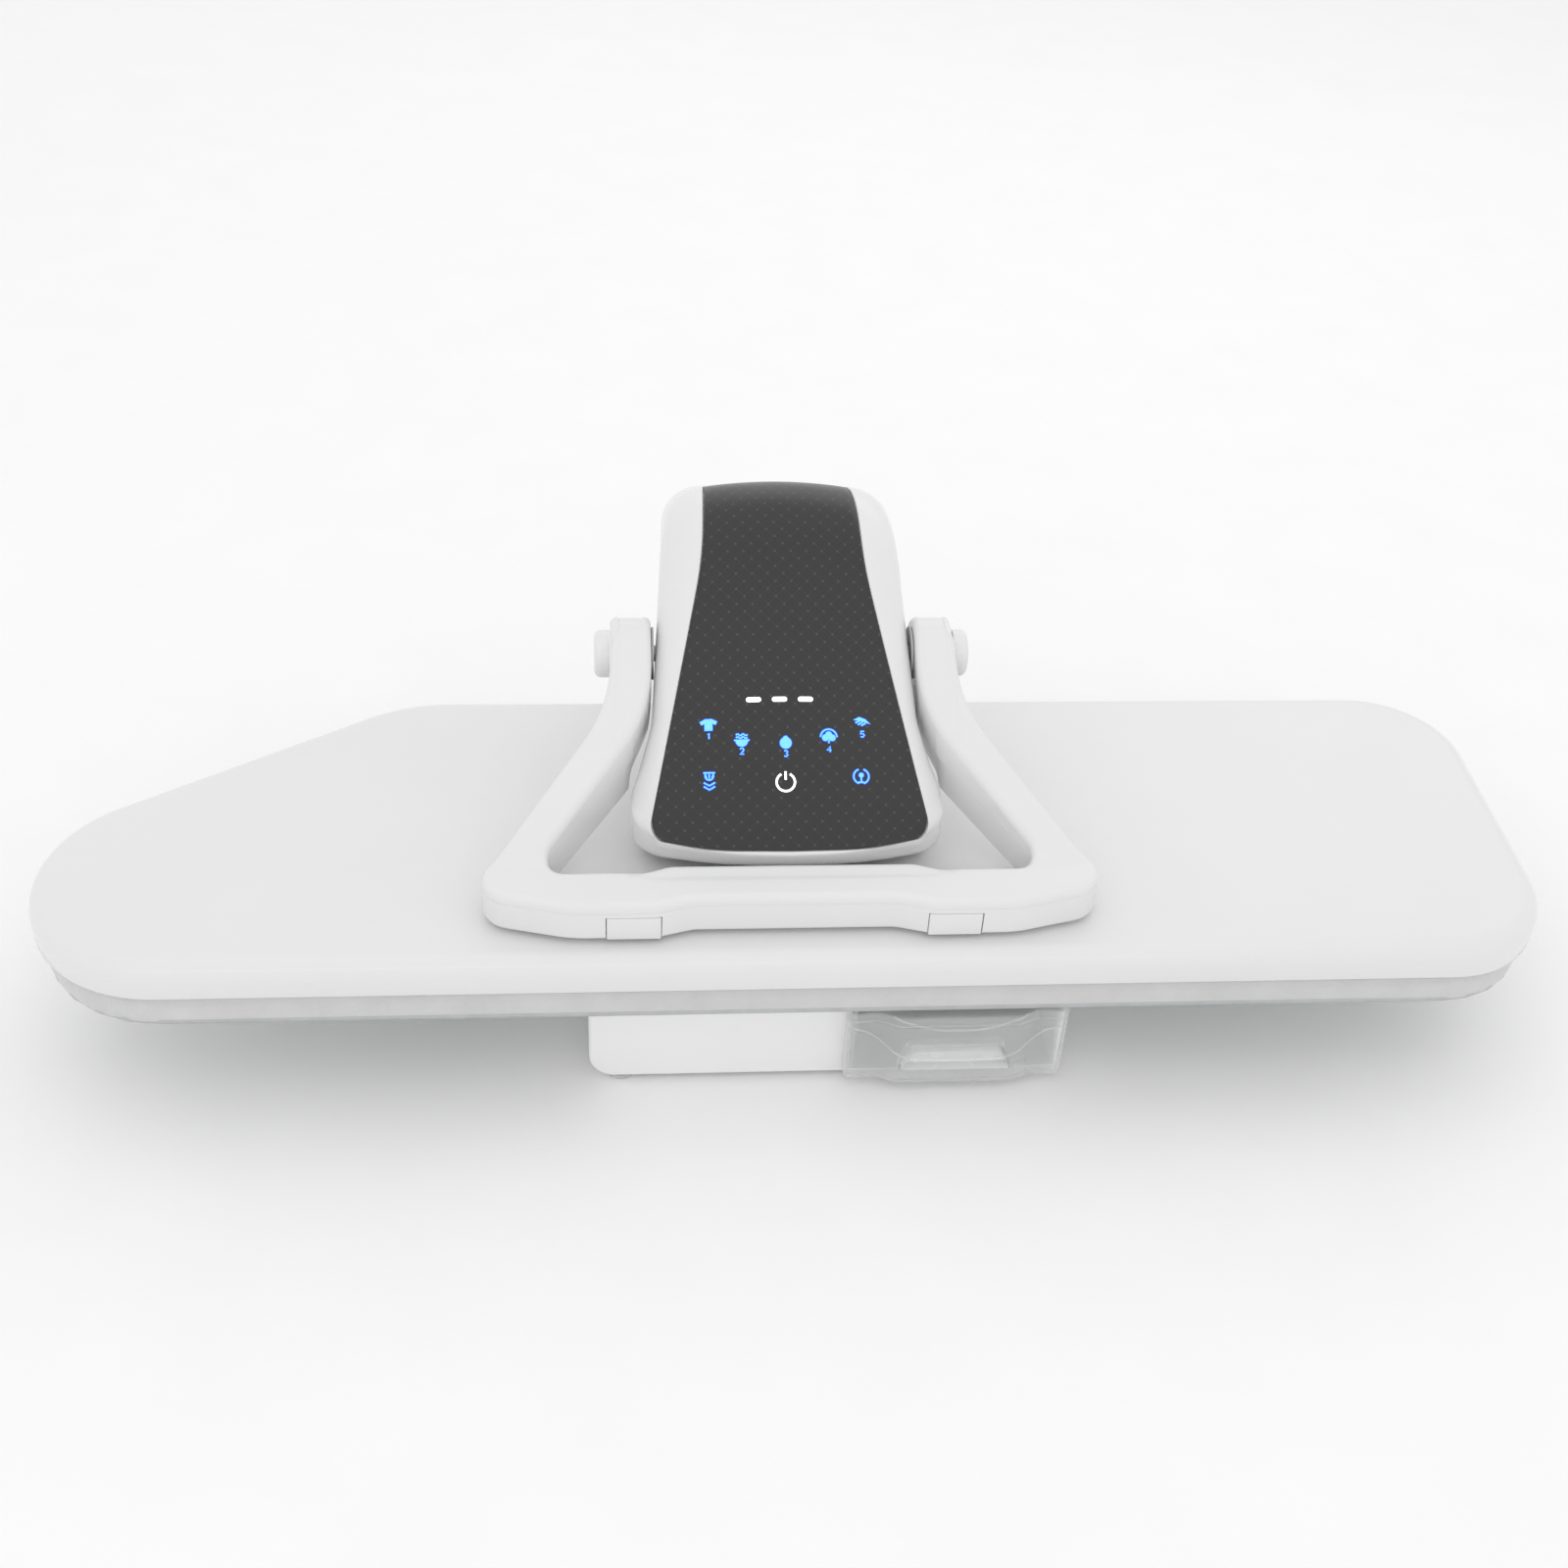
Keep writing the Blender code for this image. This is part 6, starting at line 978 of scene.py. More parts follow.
def make_head_shell():
    """The head's white top moulding, a band round the dark lens with a ledge under it."""
    sunk = (LENS_THICKNESS + GAP) / math.cos(TOP_SLOPE)
    knee = (BELT_ABOVE - ARM_FLOOR_ABOVE) / 8
    sections = []
    widest = belt_line()
    lines = zip(widest, belt_line(ARM_WALL), chin_line(), chin_line(ARM_WALL), panel_line(),
                panel_line(LENS_LEDGE))
    for belt, belt_in, chin, chin_in, panel, ledge in lines:
        edge = top_above(panel.y) - crown(panel.x, panel.y)
        out = belt - panel
        apart = distance_to(widest, panel)
        low_edge = min(edge - LENS_THICKNESS, max(edge - apart, BELT_ABOVE + LENS_THICKNESS))
        rise = edge - low_edge
        ledge_top = top_above(ledge.y) - crown(ledge.x, ledge.y) - sunk
        rounds = shoulder(panel, out, low_edge, rise, range(SHOULDER_STEPS + 1))
        last = rounds[-1][0].lerp(rounds[-2][0], 0.15)
        section = [
            (chin, ARM_FLOOR_ABOVE), (chin.lerp(belt, 0.9), BELT_ABOVE - knee),
            (chin.lerp(belt, 0.975), BELT_ABOVE - knee / 4), (belt, BELT_ABOVE + knee), *rounds[:-1],
            (last, edge), (panel, edge - LIP), (panel, edge - sunk), (ledge, ledge_top),
            (ledge, ledge_top - ARM_WALL),
        ]
        under = edge - sunk - ARM_WALL
        low_in = min(low_edge, under - LENS_THICKNESS / 2)
        section += shoulder(panel, belt_in - panel, low_in, under - low_in,
                            (SHOULDER_STEPS - 2, SHOULDER_STEPS // 2, 0))
        section += [(belt_in, BELT_ABOVE), (chin_in, ARM_FLOOR_ABOVE)]
        sections.append([(spot.x, spot.y, height) for spot, height in section])
    rows = [both_sides(row) for row in zip(*sections)]
    around = [list(ring) for ring in zip(*rows)]
    shell = loft_mesh("head_shell", around)
    hole = cross_rod("pivot_hole", BELT_WIDEST_HALF, PIVOT_Y, PIVOT_Z, PIVOT_SHAFT_RADIUS + GAP)
    link("head_shell", cut(shell, hole), "press_arm", GLOSS, ["arm_upper_shell"], 35)


def make_lens():
    """The smoked touch lens, bent over the top of the head, with a softened edge."""
    line = panel_line(LENS_FIT)
    inner = panel_line(LENS_FIT + LENS_EDGE)
    shares = [2 * column / LENS_COLUMNS - 1 for column in range(LENS_COLUMNS + 1)]
    rows = []
    for outer, within in zip(line, inner):
        row = [(within.x * share, within.y, 0.0) for share in shares]
        rows.append([(-outer.x, outer.y, -LENS_EDGE), *row, (outer.x, outer.y, -LENS_EDGE)])
    rows.append([(x, line[-1].y, -LENS_EDGE) for x, _, _ in rows[-1]])
    work = bmesh.new()
    grid = [[work.verts.new(lens_point(*place)) for place in row] for row in rows]
    for far, near in zip(grid, grid[1:]):
        for column in range(len(far) - 1):
            work.faces.new((near[column], near[column + 1], far[column + 1], far[column]))
    bmesh.ops.remove_doubles(work, verts=work.verts, dist=LENS_WELD)
    target = placed("lens_wall", to_mesh(work, "touch_panel_lens"))
    wall = target.modifiers.new("wall", "SOLIDIFY")
    wall.thickness = LENS_THICKNESS - LENS_EDGE
    wall.offset = -1
    link("touch_panel_lens", baked(target), "press_arm", LENS, ["touch_lens"], 50)


def lens_point(x, behind, rise):
    """A point above the lens's face, along the face's own normal."""
    slope = (top_above(behind + SLOPE_STEP) - top_above(behind - SLOPE_STEP)) / (2 * SLOPE_STEP)
    out = Vector((crown_share(behind) * x / CROWN_RADIUS, -slope, 1)).normalized() * rise
    spot = Vector((ARM_X + x, y_at(behind), z_at(top_above(behind) - crown(x, behind))))
    return spot + out


def pillow_mesh(name, points, half, edge, steps):
    """A side view with a width along X, all its edges rounded, centred on the head's middle."""
    rings = [(edge * (1 - math.sin(a)), -half + edge * (1 - math.cos(a))) for a in quarter(steps)]
    rings += [(d, -x) for d, x in reversed(rings)]
    return loft_mesh(name, [[(ARM_X + x, y, z) for y, z in inset(points, d)] for d, x in rings])


def side_slab(name, view, left, right):
    """A slab drawn from the side."""
    return slab_mesh(name, [view], left, right, "YZ")


def rear_view():
    """The back of the head seen from the side, drawn on past its seam."""
    seam = SEAM_BEHIND + GAP
    ahead = seam - BARREL_RADIUS
    slope = math.tan(BACK_SLOPE)
    back = HINGE_BEHIND + BARREL_RADIUS
    knee = back - BARREL_RADIUS / 2
    top = top_above(seam)
    top_line = [
        (ahead, top + (seam - ahead) * slope, 0), (seam, top, 0),
        (knee, top - (knee - seam) * slope, BARREL_RADIUS),
        (back, HINGE_ABOVE + BARREL_RADIUS, BARREL_RADIUS), (back, HINGE_ABOVE, 0),
    ]
    points = rounded(top_line, closed=False)
    reach = math.acos((HINGE_ABOVE - ARM_FLOOR_ABOVE) / BARREL_RADIUS)
    around = arc((HINGE_BEHIND, HINGE_ABOVE), BARREL_RADIUS, 0, -math.pi / 2 - reach, 36)[1:]
    points += around + [(ahead, ARM_FLOOR_ABOVE)]
    return [(y_at(d), z_at(h)) for d, h in reversed(points)]


def rear_body(name, distance):
    """The back of the head as one solid, its top crowned, moved inwards by a distance."""
    view = inset(rear_view(), distance)
    edge = BELT_SEAM_HALF - PANEL_SEAM_HALF - distance
    side = [(edge * (1 - math.sin(a)), PANEL_SEAM_HALF + edge * math.cos(a))
            for a in quarter(SHOULDER_STEPS)[:-1]]
    rings = [(d, -x) for d, x in side] + [(0, PANEL_SEAM_HALF * share) for share in CROWN_SHARES]
    rings += list(reversed(side))
    full = z_at(top_above(SEAM_BEHIND)) - HINGE_Z
    rows = []
    for d, x in rings:
        drop = crown(min(abs(x), PANEL_SEAM_HALF), SEAM_BEHIND)
        rows.append([(ARM_X + x, y, z - drop * max(0, z - HINGE_Z) / full) for y, z in inset(view, d)])
    return loft_mesh(name, rows)


def heel_start(radius, wall):
    """A far point on the face that ends the head's heel, and the angle where it meets a circle."""
    far = BARREL_RADIUS * 2
    along = Vector((math.cos(REAR_STOP), math.sin(REAR_STOP)))
    across = Vector((-along.y, along.x))
    point = Vector((HINGE_Y, HINGE_Z)) + along * far + across * wall
    return tuple(point), REAR_STOP + math.asin(wall / radius)


def heel_cut(name, wall):
    """The space behind the barrel that the column's back fills as the head opens."""
    radius = BARREL_RADIUS + GAP / 2 - wall
    behind, start = heel_start(radius, wall)
    around = arc((HINGE_Y, HINGE_Z), radius, start, -REAR_STOP / 2, 24)
    view = [behind, *around, (behind[0], around[-1][1])]
    wide = BELT_SEAM_HALF + OVERRUN
    return side_slab(name, view, ARM_X - wide, ARM_X + wide)


def cheek_cuts(name, wall, half):
    """The spaces beside the barrel that the column's cheeks fill."""
    radius = BARREL_RADIUS + COLUMN_GAP + wall
    low = HINGE_Z - BARREL_RADIUS - OVERRUN * 2
    behind, start = heel_start(radius, wall)
    view = [behind, *arc((HINGE_Y, HINGE_Z), radius, start, math.pi, 40), (HINGE_Y - radius, low),
            (behind[0], low)]
    wide = BELT_SEAM_HALF + OVERRUN
    return [side_slab(name, view, ARM_X - wide, ARM_X - half),
            side_slab(name, view, ARM_X + half, ARM_X + wide)]


def make_rear_cover():
    """The back of the head, wide above the cheeks and narrow in the barrel between them."""
    cover = rear_body("head_rear_cover", 0)
    seam_y = y_at(SEAM_BEHIND) + GAP
    ahead = box_mesh(
        "seam_cut", (ARM_X - COLUMN_HALF * 2, FRONT_Y, COVER_BOTTOM),
        (ARM_X + COLUMN_HALF * 2, seam_y, z_at(PEAK_BEHIND)),
    )
    cover = cut(cover, ahead, *cheek_cuts("cheek_cut", 0, BARREL_HALF), heel_cut("heel_cut", 0))
    cover = softened(cover, MOULD_SOFT, 2, 50)
    cheeks = cheek_cuts("cheek_room", ARM_WALL, BARREL_HALF - ARM_WALL)
    room = cut(rear_body("rear_room", ARM_WALL), *cheeks, heel_cut("heel_room", ARM_WALL))
    bore = cross_rod("barrel_bore", COLUMN_HALF, HINGE_Y, HINGE_Z, SHAFT_RADIUS + GAP * 2)
    cover = cut(cover, room, bore)
    link("head_rear_cover", cover, "press_arm", GLOSS, ["arm_rear_cover"], 35)


# Column

COLUMN_HALF = 0.0675
COLUMN_WALL = 0.0028
COLUMN_ROUND = 0.004
CHEEK_GAP = 0.0018
SHAFT_RADIUS = 0.0070
BUSH_WALL = 0.0020
BASE_LEFT = 0.128
BASE_RIGHT = 0.158
BASE_WALL = 0.0028
BASE_CORNER = 0.016
BASE_SMALL_CORNER = 0.005
BACK_NOTCH_LEFT = 0.015
BACK_NOTCH_RIGHT = 0.020
BACK_NOTCH_DEPTH = 0.0424
BACK_NOTCH_CORNER = 0.005
FOOT_HEIGHT = 0.0035
BASE_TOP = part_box("column_housing")[0].z - GAP
BASE_FRONT_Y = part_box("base_housing")[0].y
BASE_BACK_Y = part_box("base_housing")[1].y
COLUMN_FRONT_Y = HINGE_Y - BARREL_RADIUS - COLUMN_WALL


def column_view(distance):
    """The column seen from the side: a block with a round top about the hinge."""
    back = BASE_BACK_Y - COLUMN_ROUND
    around = arc((HINGE_Y, HINGE_Z), BARREL_RADIUS, 0, math.pi, 40)
    return inset([(back, BASE_TOP + GAP), *around, (COLUMN_FRONT_Y, BASE_TOP + GAP)], distance)


def slot_view(distance):
    """The space that the head's barrel turns in, seen from the side."""
    radius = BARREL_RADIUS + COLUMN_GAP + distance
    top = HINGE_Z + BARREL_RADIUS + OVERRUN
    sill = z_at(ARM_FLOOR_ABOVE) - COLUMN_GAP - distance
    start = math.pi + math.asin((HINGE_Z - sill) / radius)
    around = arc((HINGE_Y, HINGE_Z), radius, start, 2 * math.pi, 40)
    ahead = COLUMN_FRONT_Y - OVERRUN
    return around + [(HINGE_Y + radius, top), (ahead, top), (ahead, sill)]


def make_column():
    """The hinge column with its two cheeks, and the round caps over the shaft's ends."""
    low = BASE_TOP + GAP
    column = pillow_mesh("column_shell", column_view(0), COLUMN_HALF, COLUMN_ROUND, 6)
    foot = box_mesh(
        "column_foot", (ARM_X - COLUMN_HALF * 2, COLUMN_FRONT_Y - OVERRUN, low - OVERRUN),
        (ARM_X + COLUMN_HALF * 2, BASE_BACK_Y + OVERRUN, low),
    )
    slot_half = BARREL_HALF + CHEEK_GAP
    slot = side_slab("barrel_slot", slot_view(0), ARM_X - slot_half, ARM_X + slot_half)
    column = softened(cut(column, foot, slot), MOULD_SOFT, 2, 50)
    inner_half = COLUMN_HALF - COLUMN_WALL
    room = side_slab("column_room", column_view(COLUMN_WALL), ARM_X - inner_half, ARM_X + inner_half)
    skirt = box_mesh(
        "column_skirt", (ARM_X - inner_half, COLUMN_FRONT_Y + COLUMN_WALL, low - OVERRUN),
        (ARM_X + inner_half, BASE_BACK_Y - COLUMN_ROUND - COLUMN_WALL, low + COLUMN_WALL * 2),
    )
    room = cut(room, skirt, how="UNION")
    liner = side_slab("slot_liner", slot_view(COLUMN_WALL), ARM_X - slot_half - COLUMN_WALL,
                      ARM_X + slot_half + COLUMN_WALL)
    room = cut(room, liner)
    bore_radius = SHAFT_RADIUS + BUSH_WALL + GAP * 2
    bore = cross_rod("column_bore", COLUMN_HALF + OVERRUN, HINGE_Y, HINGE_Z, bore_radius)
    column = cut(column, room, bore)
    link("column_shell", column, "stand", GLOSS, ["column_housing"], 35)
    for side, name in SIDES:
        low_corner, high_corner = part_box("hinge_cap_" + name)
        cap = (high_corner.y - low_corner.y) / 2
        deep = high_corner.x - low_corner.x - COLUMN_WALL
        plug = SHAFT_RADIUS + BUSH_WALL
        profile = [(0, deep), (cap * 0.80, deep), (cap * 0.93, deep * 0.85), (cap, deep * 0.45), (cap, GAP),
                   (plug, GAP), (plug, -COLUMN_WALL), (0, -COLUMN_WALL)]
        mesh = turned_mesh("hinge_cover_" + name, profile,
                           facing((ARM_X + side * COLUMN_HALF, HINGE_Y, HINGE_Z), (side, 0, 0)))
        link("hinge_cover_" + name, mesh, "stand", SATIN, ["hinge_cap_" + name], 35)


# Base

RISER_HEIGHT = 0.0014
BASE_END_ROUND = 0.0025
BASE_LEAST_CORNER = 0.0015
BASE_SOFT = 0.0006
FOOT_ROUND = 0.0004
SCREW_EDGE = 0.0009
SCREW_ROUND = 0.0004
CROSS_DEPTH = 0.0008
GLAND_FLANGE = 0.0016
GLAND_BORE = 0.0042
GLAND_EDGE = 0.0005
GLAND_RIB = 0.0004


def base_front_view(distance):
    """The base seen from the front, with its large lower left corner."""
    left, right = -BASE_LEFT + distance, BASE_RIGHT - distance
    low, high = FOOT_HEIGHT + distance, BASE_TOP - distance
    small = max(BASE_SMALL_CORNER - distance, BASE_LEAST_CORNER)
    large = BASE_CORNER - distance
    return rounded([(left, low, large), (right, low, small), (right, high, small), (left, high, small)])


def front_loft(name, distance):
    """The base as one solid with its two end faces rounded, moved inwards by a distance."""
    rounds = [(BASE_END_ROUND * (1 - math.sin(a)), BASE_END_ROUND * (1 - math.cos(a))) for a in quarter(5)]
    levels = [(d, BASE_FRONT_Y + distance + along) for d, along in rounds]
    levels += [(d, BASE_BACK_Y - distance - along) for d, along in reversed(rounds)]
    return loft_mesh(name, [[(x, y, z) for x, z in base_front_view(distance + d)] for d, y in levels])


def base_plan(distance):
    """The base from above, narrower at its back, moved inwards by a distance."""
    step = BASE_BACK_Y - BACK_NOTCH_DEPTH
    left, right = -BASE_LEFT - GAP, BASE_RIGHT + GAP
    corner = BACK_NOTCH_CORNER
    return inset(rounded([
        (left, BASE_FRONT_Y - OVERRUN, 0), (right, BASE_FRONT_Y - OVERRUN, 0), (right, step, corner),
        (BASE_RIGHT - BACK_NOTCH_RIGHT, step, corner),
        (BASE_RIGHT - BACK_NOTCH_RIGHT, BASE_BACK_Y + GAP, corner),
        (-BASE_LEFT + BACK_NOTCH_LEFT, BASE_BACK_Y + GAP, corner),
        (-BASE_LEFT + BACK_NOTCH_LEFT, step, corner), (left, step, corner),
    ]), distance)


def base_slab(name, distance):
    """A tall block on the base's plan."""
    return slab_mesh(name, [base_plan(distance)], FOOT_HEIGHT - OVERRUN, BASE_TOP + OVERRUN)


def make_base():
    """The base housing with the tank's bay, the floor's opening and the hole for the cord's gland."""
    tank_low, tank_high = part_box("tank_tub")
    bay_left = tank_low.x + TANK_FLANGE - TANK_CLEARANCE
    bay_right = tank_high.x - TANK_FLANGE + TANK_CLEARANCE
    bay_back = tank_high.y + TANK_CLEARANCE
    bay_top, bay_bottom = BASE_TOP - BASE_WALL, FOOT_HEIGHT + BASE_WALL
    housing = cut(front_loft("base_shell", 0), base_slab("base_plan", 0), how="INTERSECT")
    riser = box_mesh(
        "board_riser", (-BASE_LEFT + BASE_CORNER, BASE_FRONT_Y + HEM_WIDTH, BASE_TOP - BASE_WALL),
        (BASE_RIGHT - BASE_CORNER, y_at(COVER_DEPTH) - BOARD_INSET - HEM_WIDTH - GAP,
         BASE_TOP + RISER_HEIGHT),
    )
    housing = cut(housing, riser, how="UNION")
    bay = box_mesh(
        "tank_bay", (bay_left, BASE_FRONT_Y - OVERRUN, bay_bottom), (bay_right, bay_back, bay_top),
    )
    floor_low, floor_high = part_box("base_floor_plate")
    opening = box_mesh(
        "floor_opening", (floor_low.x - GAP, floor_low.y - GAP, FOOT_HEIGHT - OVERRUN),
        (floor_high.x + GAP, floor_high.y + GAP, bay_bottom + GAP),
    )
    housing = softened(cut(housing, bay, opening), BASE_SOFT, 2, 50)
    room = cut(front_loft("base_room", BASE_WALL), base_slab("base_room_plan", BASE_WALL), how="INTERSECT")
    block = box_mesh(
        "bay_block", (bay_left - BASE_WALL, BASE_FRONT_Y - OVERRUN, FOOT_HEIGHT - OVERRUN),
        (BASE_RIGHT + OVERRUN, bay_back + BASE_WALL, BASE_TOP + OVERRUN),
    )
    sill = box_mesh("floor_sill", (-BASE_LEFT, BASE_FRONT_Y, FOOT_HEIGHT - OVERRUN),
                    (BASE_RIGHT, BASE_BACK_Y, bay_bottom))
    room = cut(room, block, sill)
    gland_low, gland_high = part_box("cord_gland")
    gland = (gland_low + gland_high) / 2
    gland_hole = rod_mesh(
        "gland_hole", (gland.x, BASE_BACK_Y - OVERRUN, gland.z), (gland.x, BASE_BACK_Y + OVERRUN, gland.z),
        (gland_high.z - gland_low.z) / 2 - GLAND_FLANGE + GAP,
    )
    housing = cut(housing, room, gland_hole)
    # The base takes the lighter white, painted light for its shaded bay.
    link("base_shell", housing, "stand", LIGHTENED_BASE, ["base_housing"], 35)
    make_feet()
    make_screws()
    make_gland(gland)


def make_feet():
    """Rubber feet with a soft lower edge."""
    for place in ("front_left", "front_right", "back_left", "back_right"):
        low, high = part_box("foot_" + place)
        middle = (low + high) / 2
        radius = (high.x - low.x) / 2
        profile = rounded_profile(
            [(0, high.z), (radius, high.z), (radius, high.z * 0.35), (radius * 0.86, 0), (0, 0)], FOOT_ROUND,
        )
        mesh = turned_mesh("rubber_foot_" + place, profile, Matrix.Translation((middle.x, middle.y, 0)))
        link("rubber_foot_" + place, mesh, "stand", SILICONE, ["foot_" + place], 35)


def make_screws():
    """Pan-head screws with a cross recess that hold the floor plate."""
    for place in ("front", "back", "right"):
        low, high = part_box("floor_screw_" + place)
        middle = (low + high) / 2
        head = (high.x - low.x) / 2
        shank = head * 0.47
        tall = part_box("base_floor_plate")[0].z - GAP
        profile = [(0, high.z), (shank, high.z), (shank, tall), (head, tall), (head, low.z + SCREW_EDGE),
                   (head * 0.9, low.z + SCREW_ROUND), (head * 0.6, low.z), (0, low.z)]
        mesh = turned_mesh("cross_screw_" + place, profile, Matrix.Translation((middle.x, middle.y, 0)))
        wide, narrow = head * 0.55, head * 0.11
        arms = [
            box_mesh("cross_arm", (middle.x - x, middle.y - y, low.z - SCREW_EDGE),
                     (middle.x + x, middle.y + y, low.z + CROSS_DEPTH))
            for x, y in ((narrow, wide), (wide, narrow))
        ]
        link("cross_screw_" + place, cut(mesh, *arms), "stand", STEEL, ["floor_screw_" + place], 35)


def make_gland(gland):
    """The rubber gland at the back, ribbed inside its bore."""
    low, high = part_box("cord_gland")
    outer = (high.z - low.z) / 2
    body = outer - GLAND_FLANGE
    flange = high.y - BASE_BACK_Y
    inner = low.y - BASE_BACK_Y
    profile = [
        (GLAND_BORE, flange), (outer - GLAND_EDGE, flange), (outer, flange - GLAND_EDGE), (outer, GAP),
        (body, GAP), (body, inner), (GLAND_BORE, inner), (GLAND_BORE, inner / 2),
        (GLAND_BORE + GLAND_RIB, inner / 3), (GLAND_BORE, 0),
    ]
    mesh = turned_mesh("cord_entry_gland", profile, facing((gland.x, BASE_BACK_Y, gland.z), (0, 1, 0)),
                       bored=True)
    link("cord_entry_gland", mesh, "stand", RUBBER, ["cord_gland"], 35)


# Handle

HANDLE_END_RADIUS = 0.022
HANDLE_INNER_HALF = 0.0796
HANDLE_OUTER_HALF = 0.104
HANDLE_HALF = 0.178
GRIP_END = 0.0260
HANDLE_OUTER_BEND = 0.1355
HANDLE_INNER_BEND = 0.1325
HANDLE_BEND_RADIUS = 0.070
HANDLE_KNEE_RADIUS = 0.045
HANDLE_ELBOW_RADIUS = 0.012
GRIP_WAVE_RADIUS = 0.0225
HANDLE_CORNER_RADIUS = 0.0180
HANDLE_CORNER_FRONT = 0.0290
GRIP_FRONT = 0.0158
GRIP_MIDDLE_FRONT = 0.0220
GRIP_WAVE_OUTER = 0.079
GRIP_WAVE_INNER = 0.058
GRIP_SHOULDER_SIDE = 0.0500
GRIP_BACK = 0.0465
GRIP_MIDDLE_BACK = 0.0515
GRIP_BACK_WAVE_OUTER = 0.086
GRIP_BACK_WAVE_INNER = 0.071
GRIP_LOW = 0.0030
GRIP_HIGH = 0.0290
GRIP_RISE_BEHIND = 0.052
GRIP_UNDER_BEHIND = 0.058
GRIP_CORNER_RADIUS = 0.0100
HANDLE_WALL = 0.0024
HANDLE_PART_ABOVE = 0.0230
END_CHAMFER = 0.0055
END_CHAMFER_DROP = 0.0078
SWING_CLEARANCE = 0.0012
TOP_FILLET = 0.0042
LOW_FILLET = 0.0030
PART_LIP = 0.00012
PART_GAP = 0.00003
SHELF_DROP = 0.0005
SHELF_BEHIND = 0.0385
SHELF_HALF = 0.0830
SHELF_RUN = 0.0200
SHELF_FADE = 0.0012
FILLET_STEPS = 5
ACROSS_STEPS = 12
ARM_ACROSS = 0.0206


def handle_lines():
    """Matching points on the outer and inner plan of half the handle, from the pivot to the middle."""
    end = PIVOT_BEHIND + HANDLE_END_RADIUS
    inner_x = HANDLE_HALF - GRIP_END
    slope = (inner_x - HANDLE_INNER_HALF) / (HANDLE_INNER_BEND - GRIP_BACK)
    reach = HANDLE_OUTER_BEND - (HANDLE_HALF - HANDLE_OUTER_HALF) / slope
    outer = densified(rounded([
        (HANDLE_OUTER_HALF, end, 0), (HANDLE_OUTER_HALF, HANDLE_OUTER_BEND, HANDLE_BEND_RADIUS),
        (HANDLE_HALF, reach, HANDLE_ELBOW_RADIUS), (HANDLE_HALF, HANDLE_CORNER_FRONT, HANDLE_CORNER_RADIUS),
        (HANDLE_HALF - GRIP_SHOULDER_SIDE, GRIP_FRONT, HANDLE_BEND_RADIUS),
        (GRIP_WAVE_OUTER, GRIP_FRONT, GRIP_WAVE_RADIUS),
        (GRIP_WAVE_INNER, GRIP_MIDDLE_FRONT, GRIP_WAVE_RADIUS), (0, GRIP_MIDDLE_FRONT, 0),
    ], closed=False))
    inner = densified(rounded([
        (HANDLE_INNER_HALF, end, 0), (HANDLE_INNER_HALF, HANDLE_INNER_BEND, HANDLE_BEND_RADIUS),
        (inner_x, GRIP_BACK, GRIP_CORNER_RADIUS), (GRIP_BACK_WAVE_OUTER, GRIP_BACK, GRIP_WAVE_RADIUS),
        (GRIP_BACK_WAVE_INNER, GRIP_MIDDLE_BACK, GRIP_WAVE_RADIUS), (0, GRIP_MIDDLE_BACK, 0),
    ], closed=False))
    turn = math.atan(slope)
    bend = HANDLE_BEND_RADIUS * math.tan(turn / 2)
    bend_out = (HANDLE_OUTER_HALF, HANDLE_OUTER_BEND + bend)
    bend_in = (HANDLE_INNER_HALF, HANDLE_INNER_BEND + bend)
    left_out = (HANDLE_OUTER_HALF + bend * math.sin(turn), HANDLE_OUTER_BEND - bend * math.cos(turn))
    left_in = (HANDLE_INNER_HALF + bend * math.sin(turn), HANDLE_INNER_BEND - bend * math.cos(turn))
    bend = GRIP_CORNER_RADIUS / math.tan(math.pi / 4 - turn / 2)
    corner_in = (inner_x - bend * math.sin(turn), GRIP_BACK + bend * math.cos(turn))
    corner_out = (corner_in[0] + ARM_ACROSS * math.cos(turn), corner_in[1] + ARM_ACROSS * math.sin(turn))
    straight = inner_x - bend
    stretches = [
        (bend_out, left_out, bend_in, left_in, 14),
        (left_out, corner_out, left_in, corner_in, 14),
        (corner_out, (straight, GRIP_FRONT), corner_in, (straight, GRIP_BACK), 36),
        ((straight, GRIP_FRONT), (0, GRIP_MIDDLE_FRONT), (straight, GRIP_BACK), (0, GRIP_MIDDLE_BACK), 64),
    ]
    pairs = []
    for turned in range(84, -47, -10):
        d = PIVOT_BEHIND + HANDLE_END_RADIUS * math.sin(math.radians(turned))
        pairs.append((Vector((HANDLE_OUTER_HALF, d)), Vector((HANDLE_INNER_HALF, d))))
    for index, (out_a, out_b, in_a, in_b, count) in enumerate(stretches):
        stretch = list(zip(between(outer, out_a, out_b, count), between(inner, in_a, in_b, count)))
        pairs += stretch[1 if index else 0:]
    return pairs


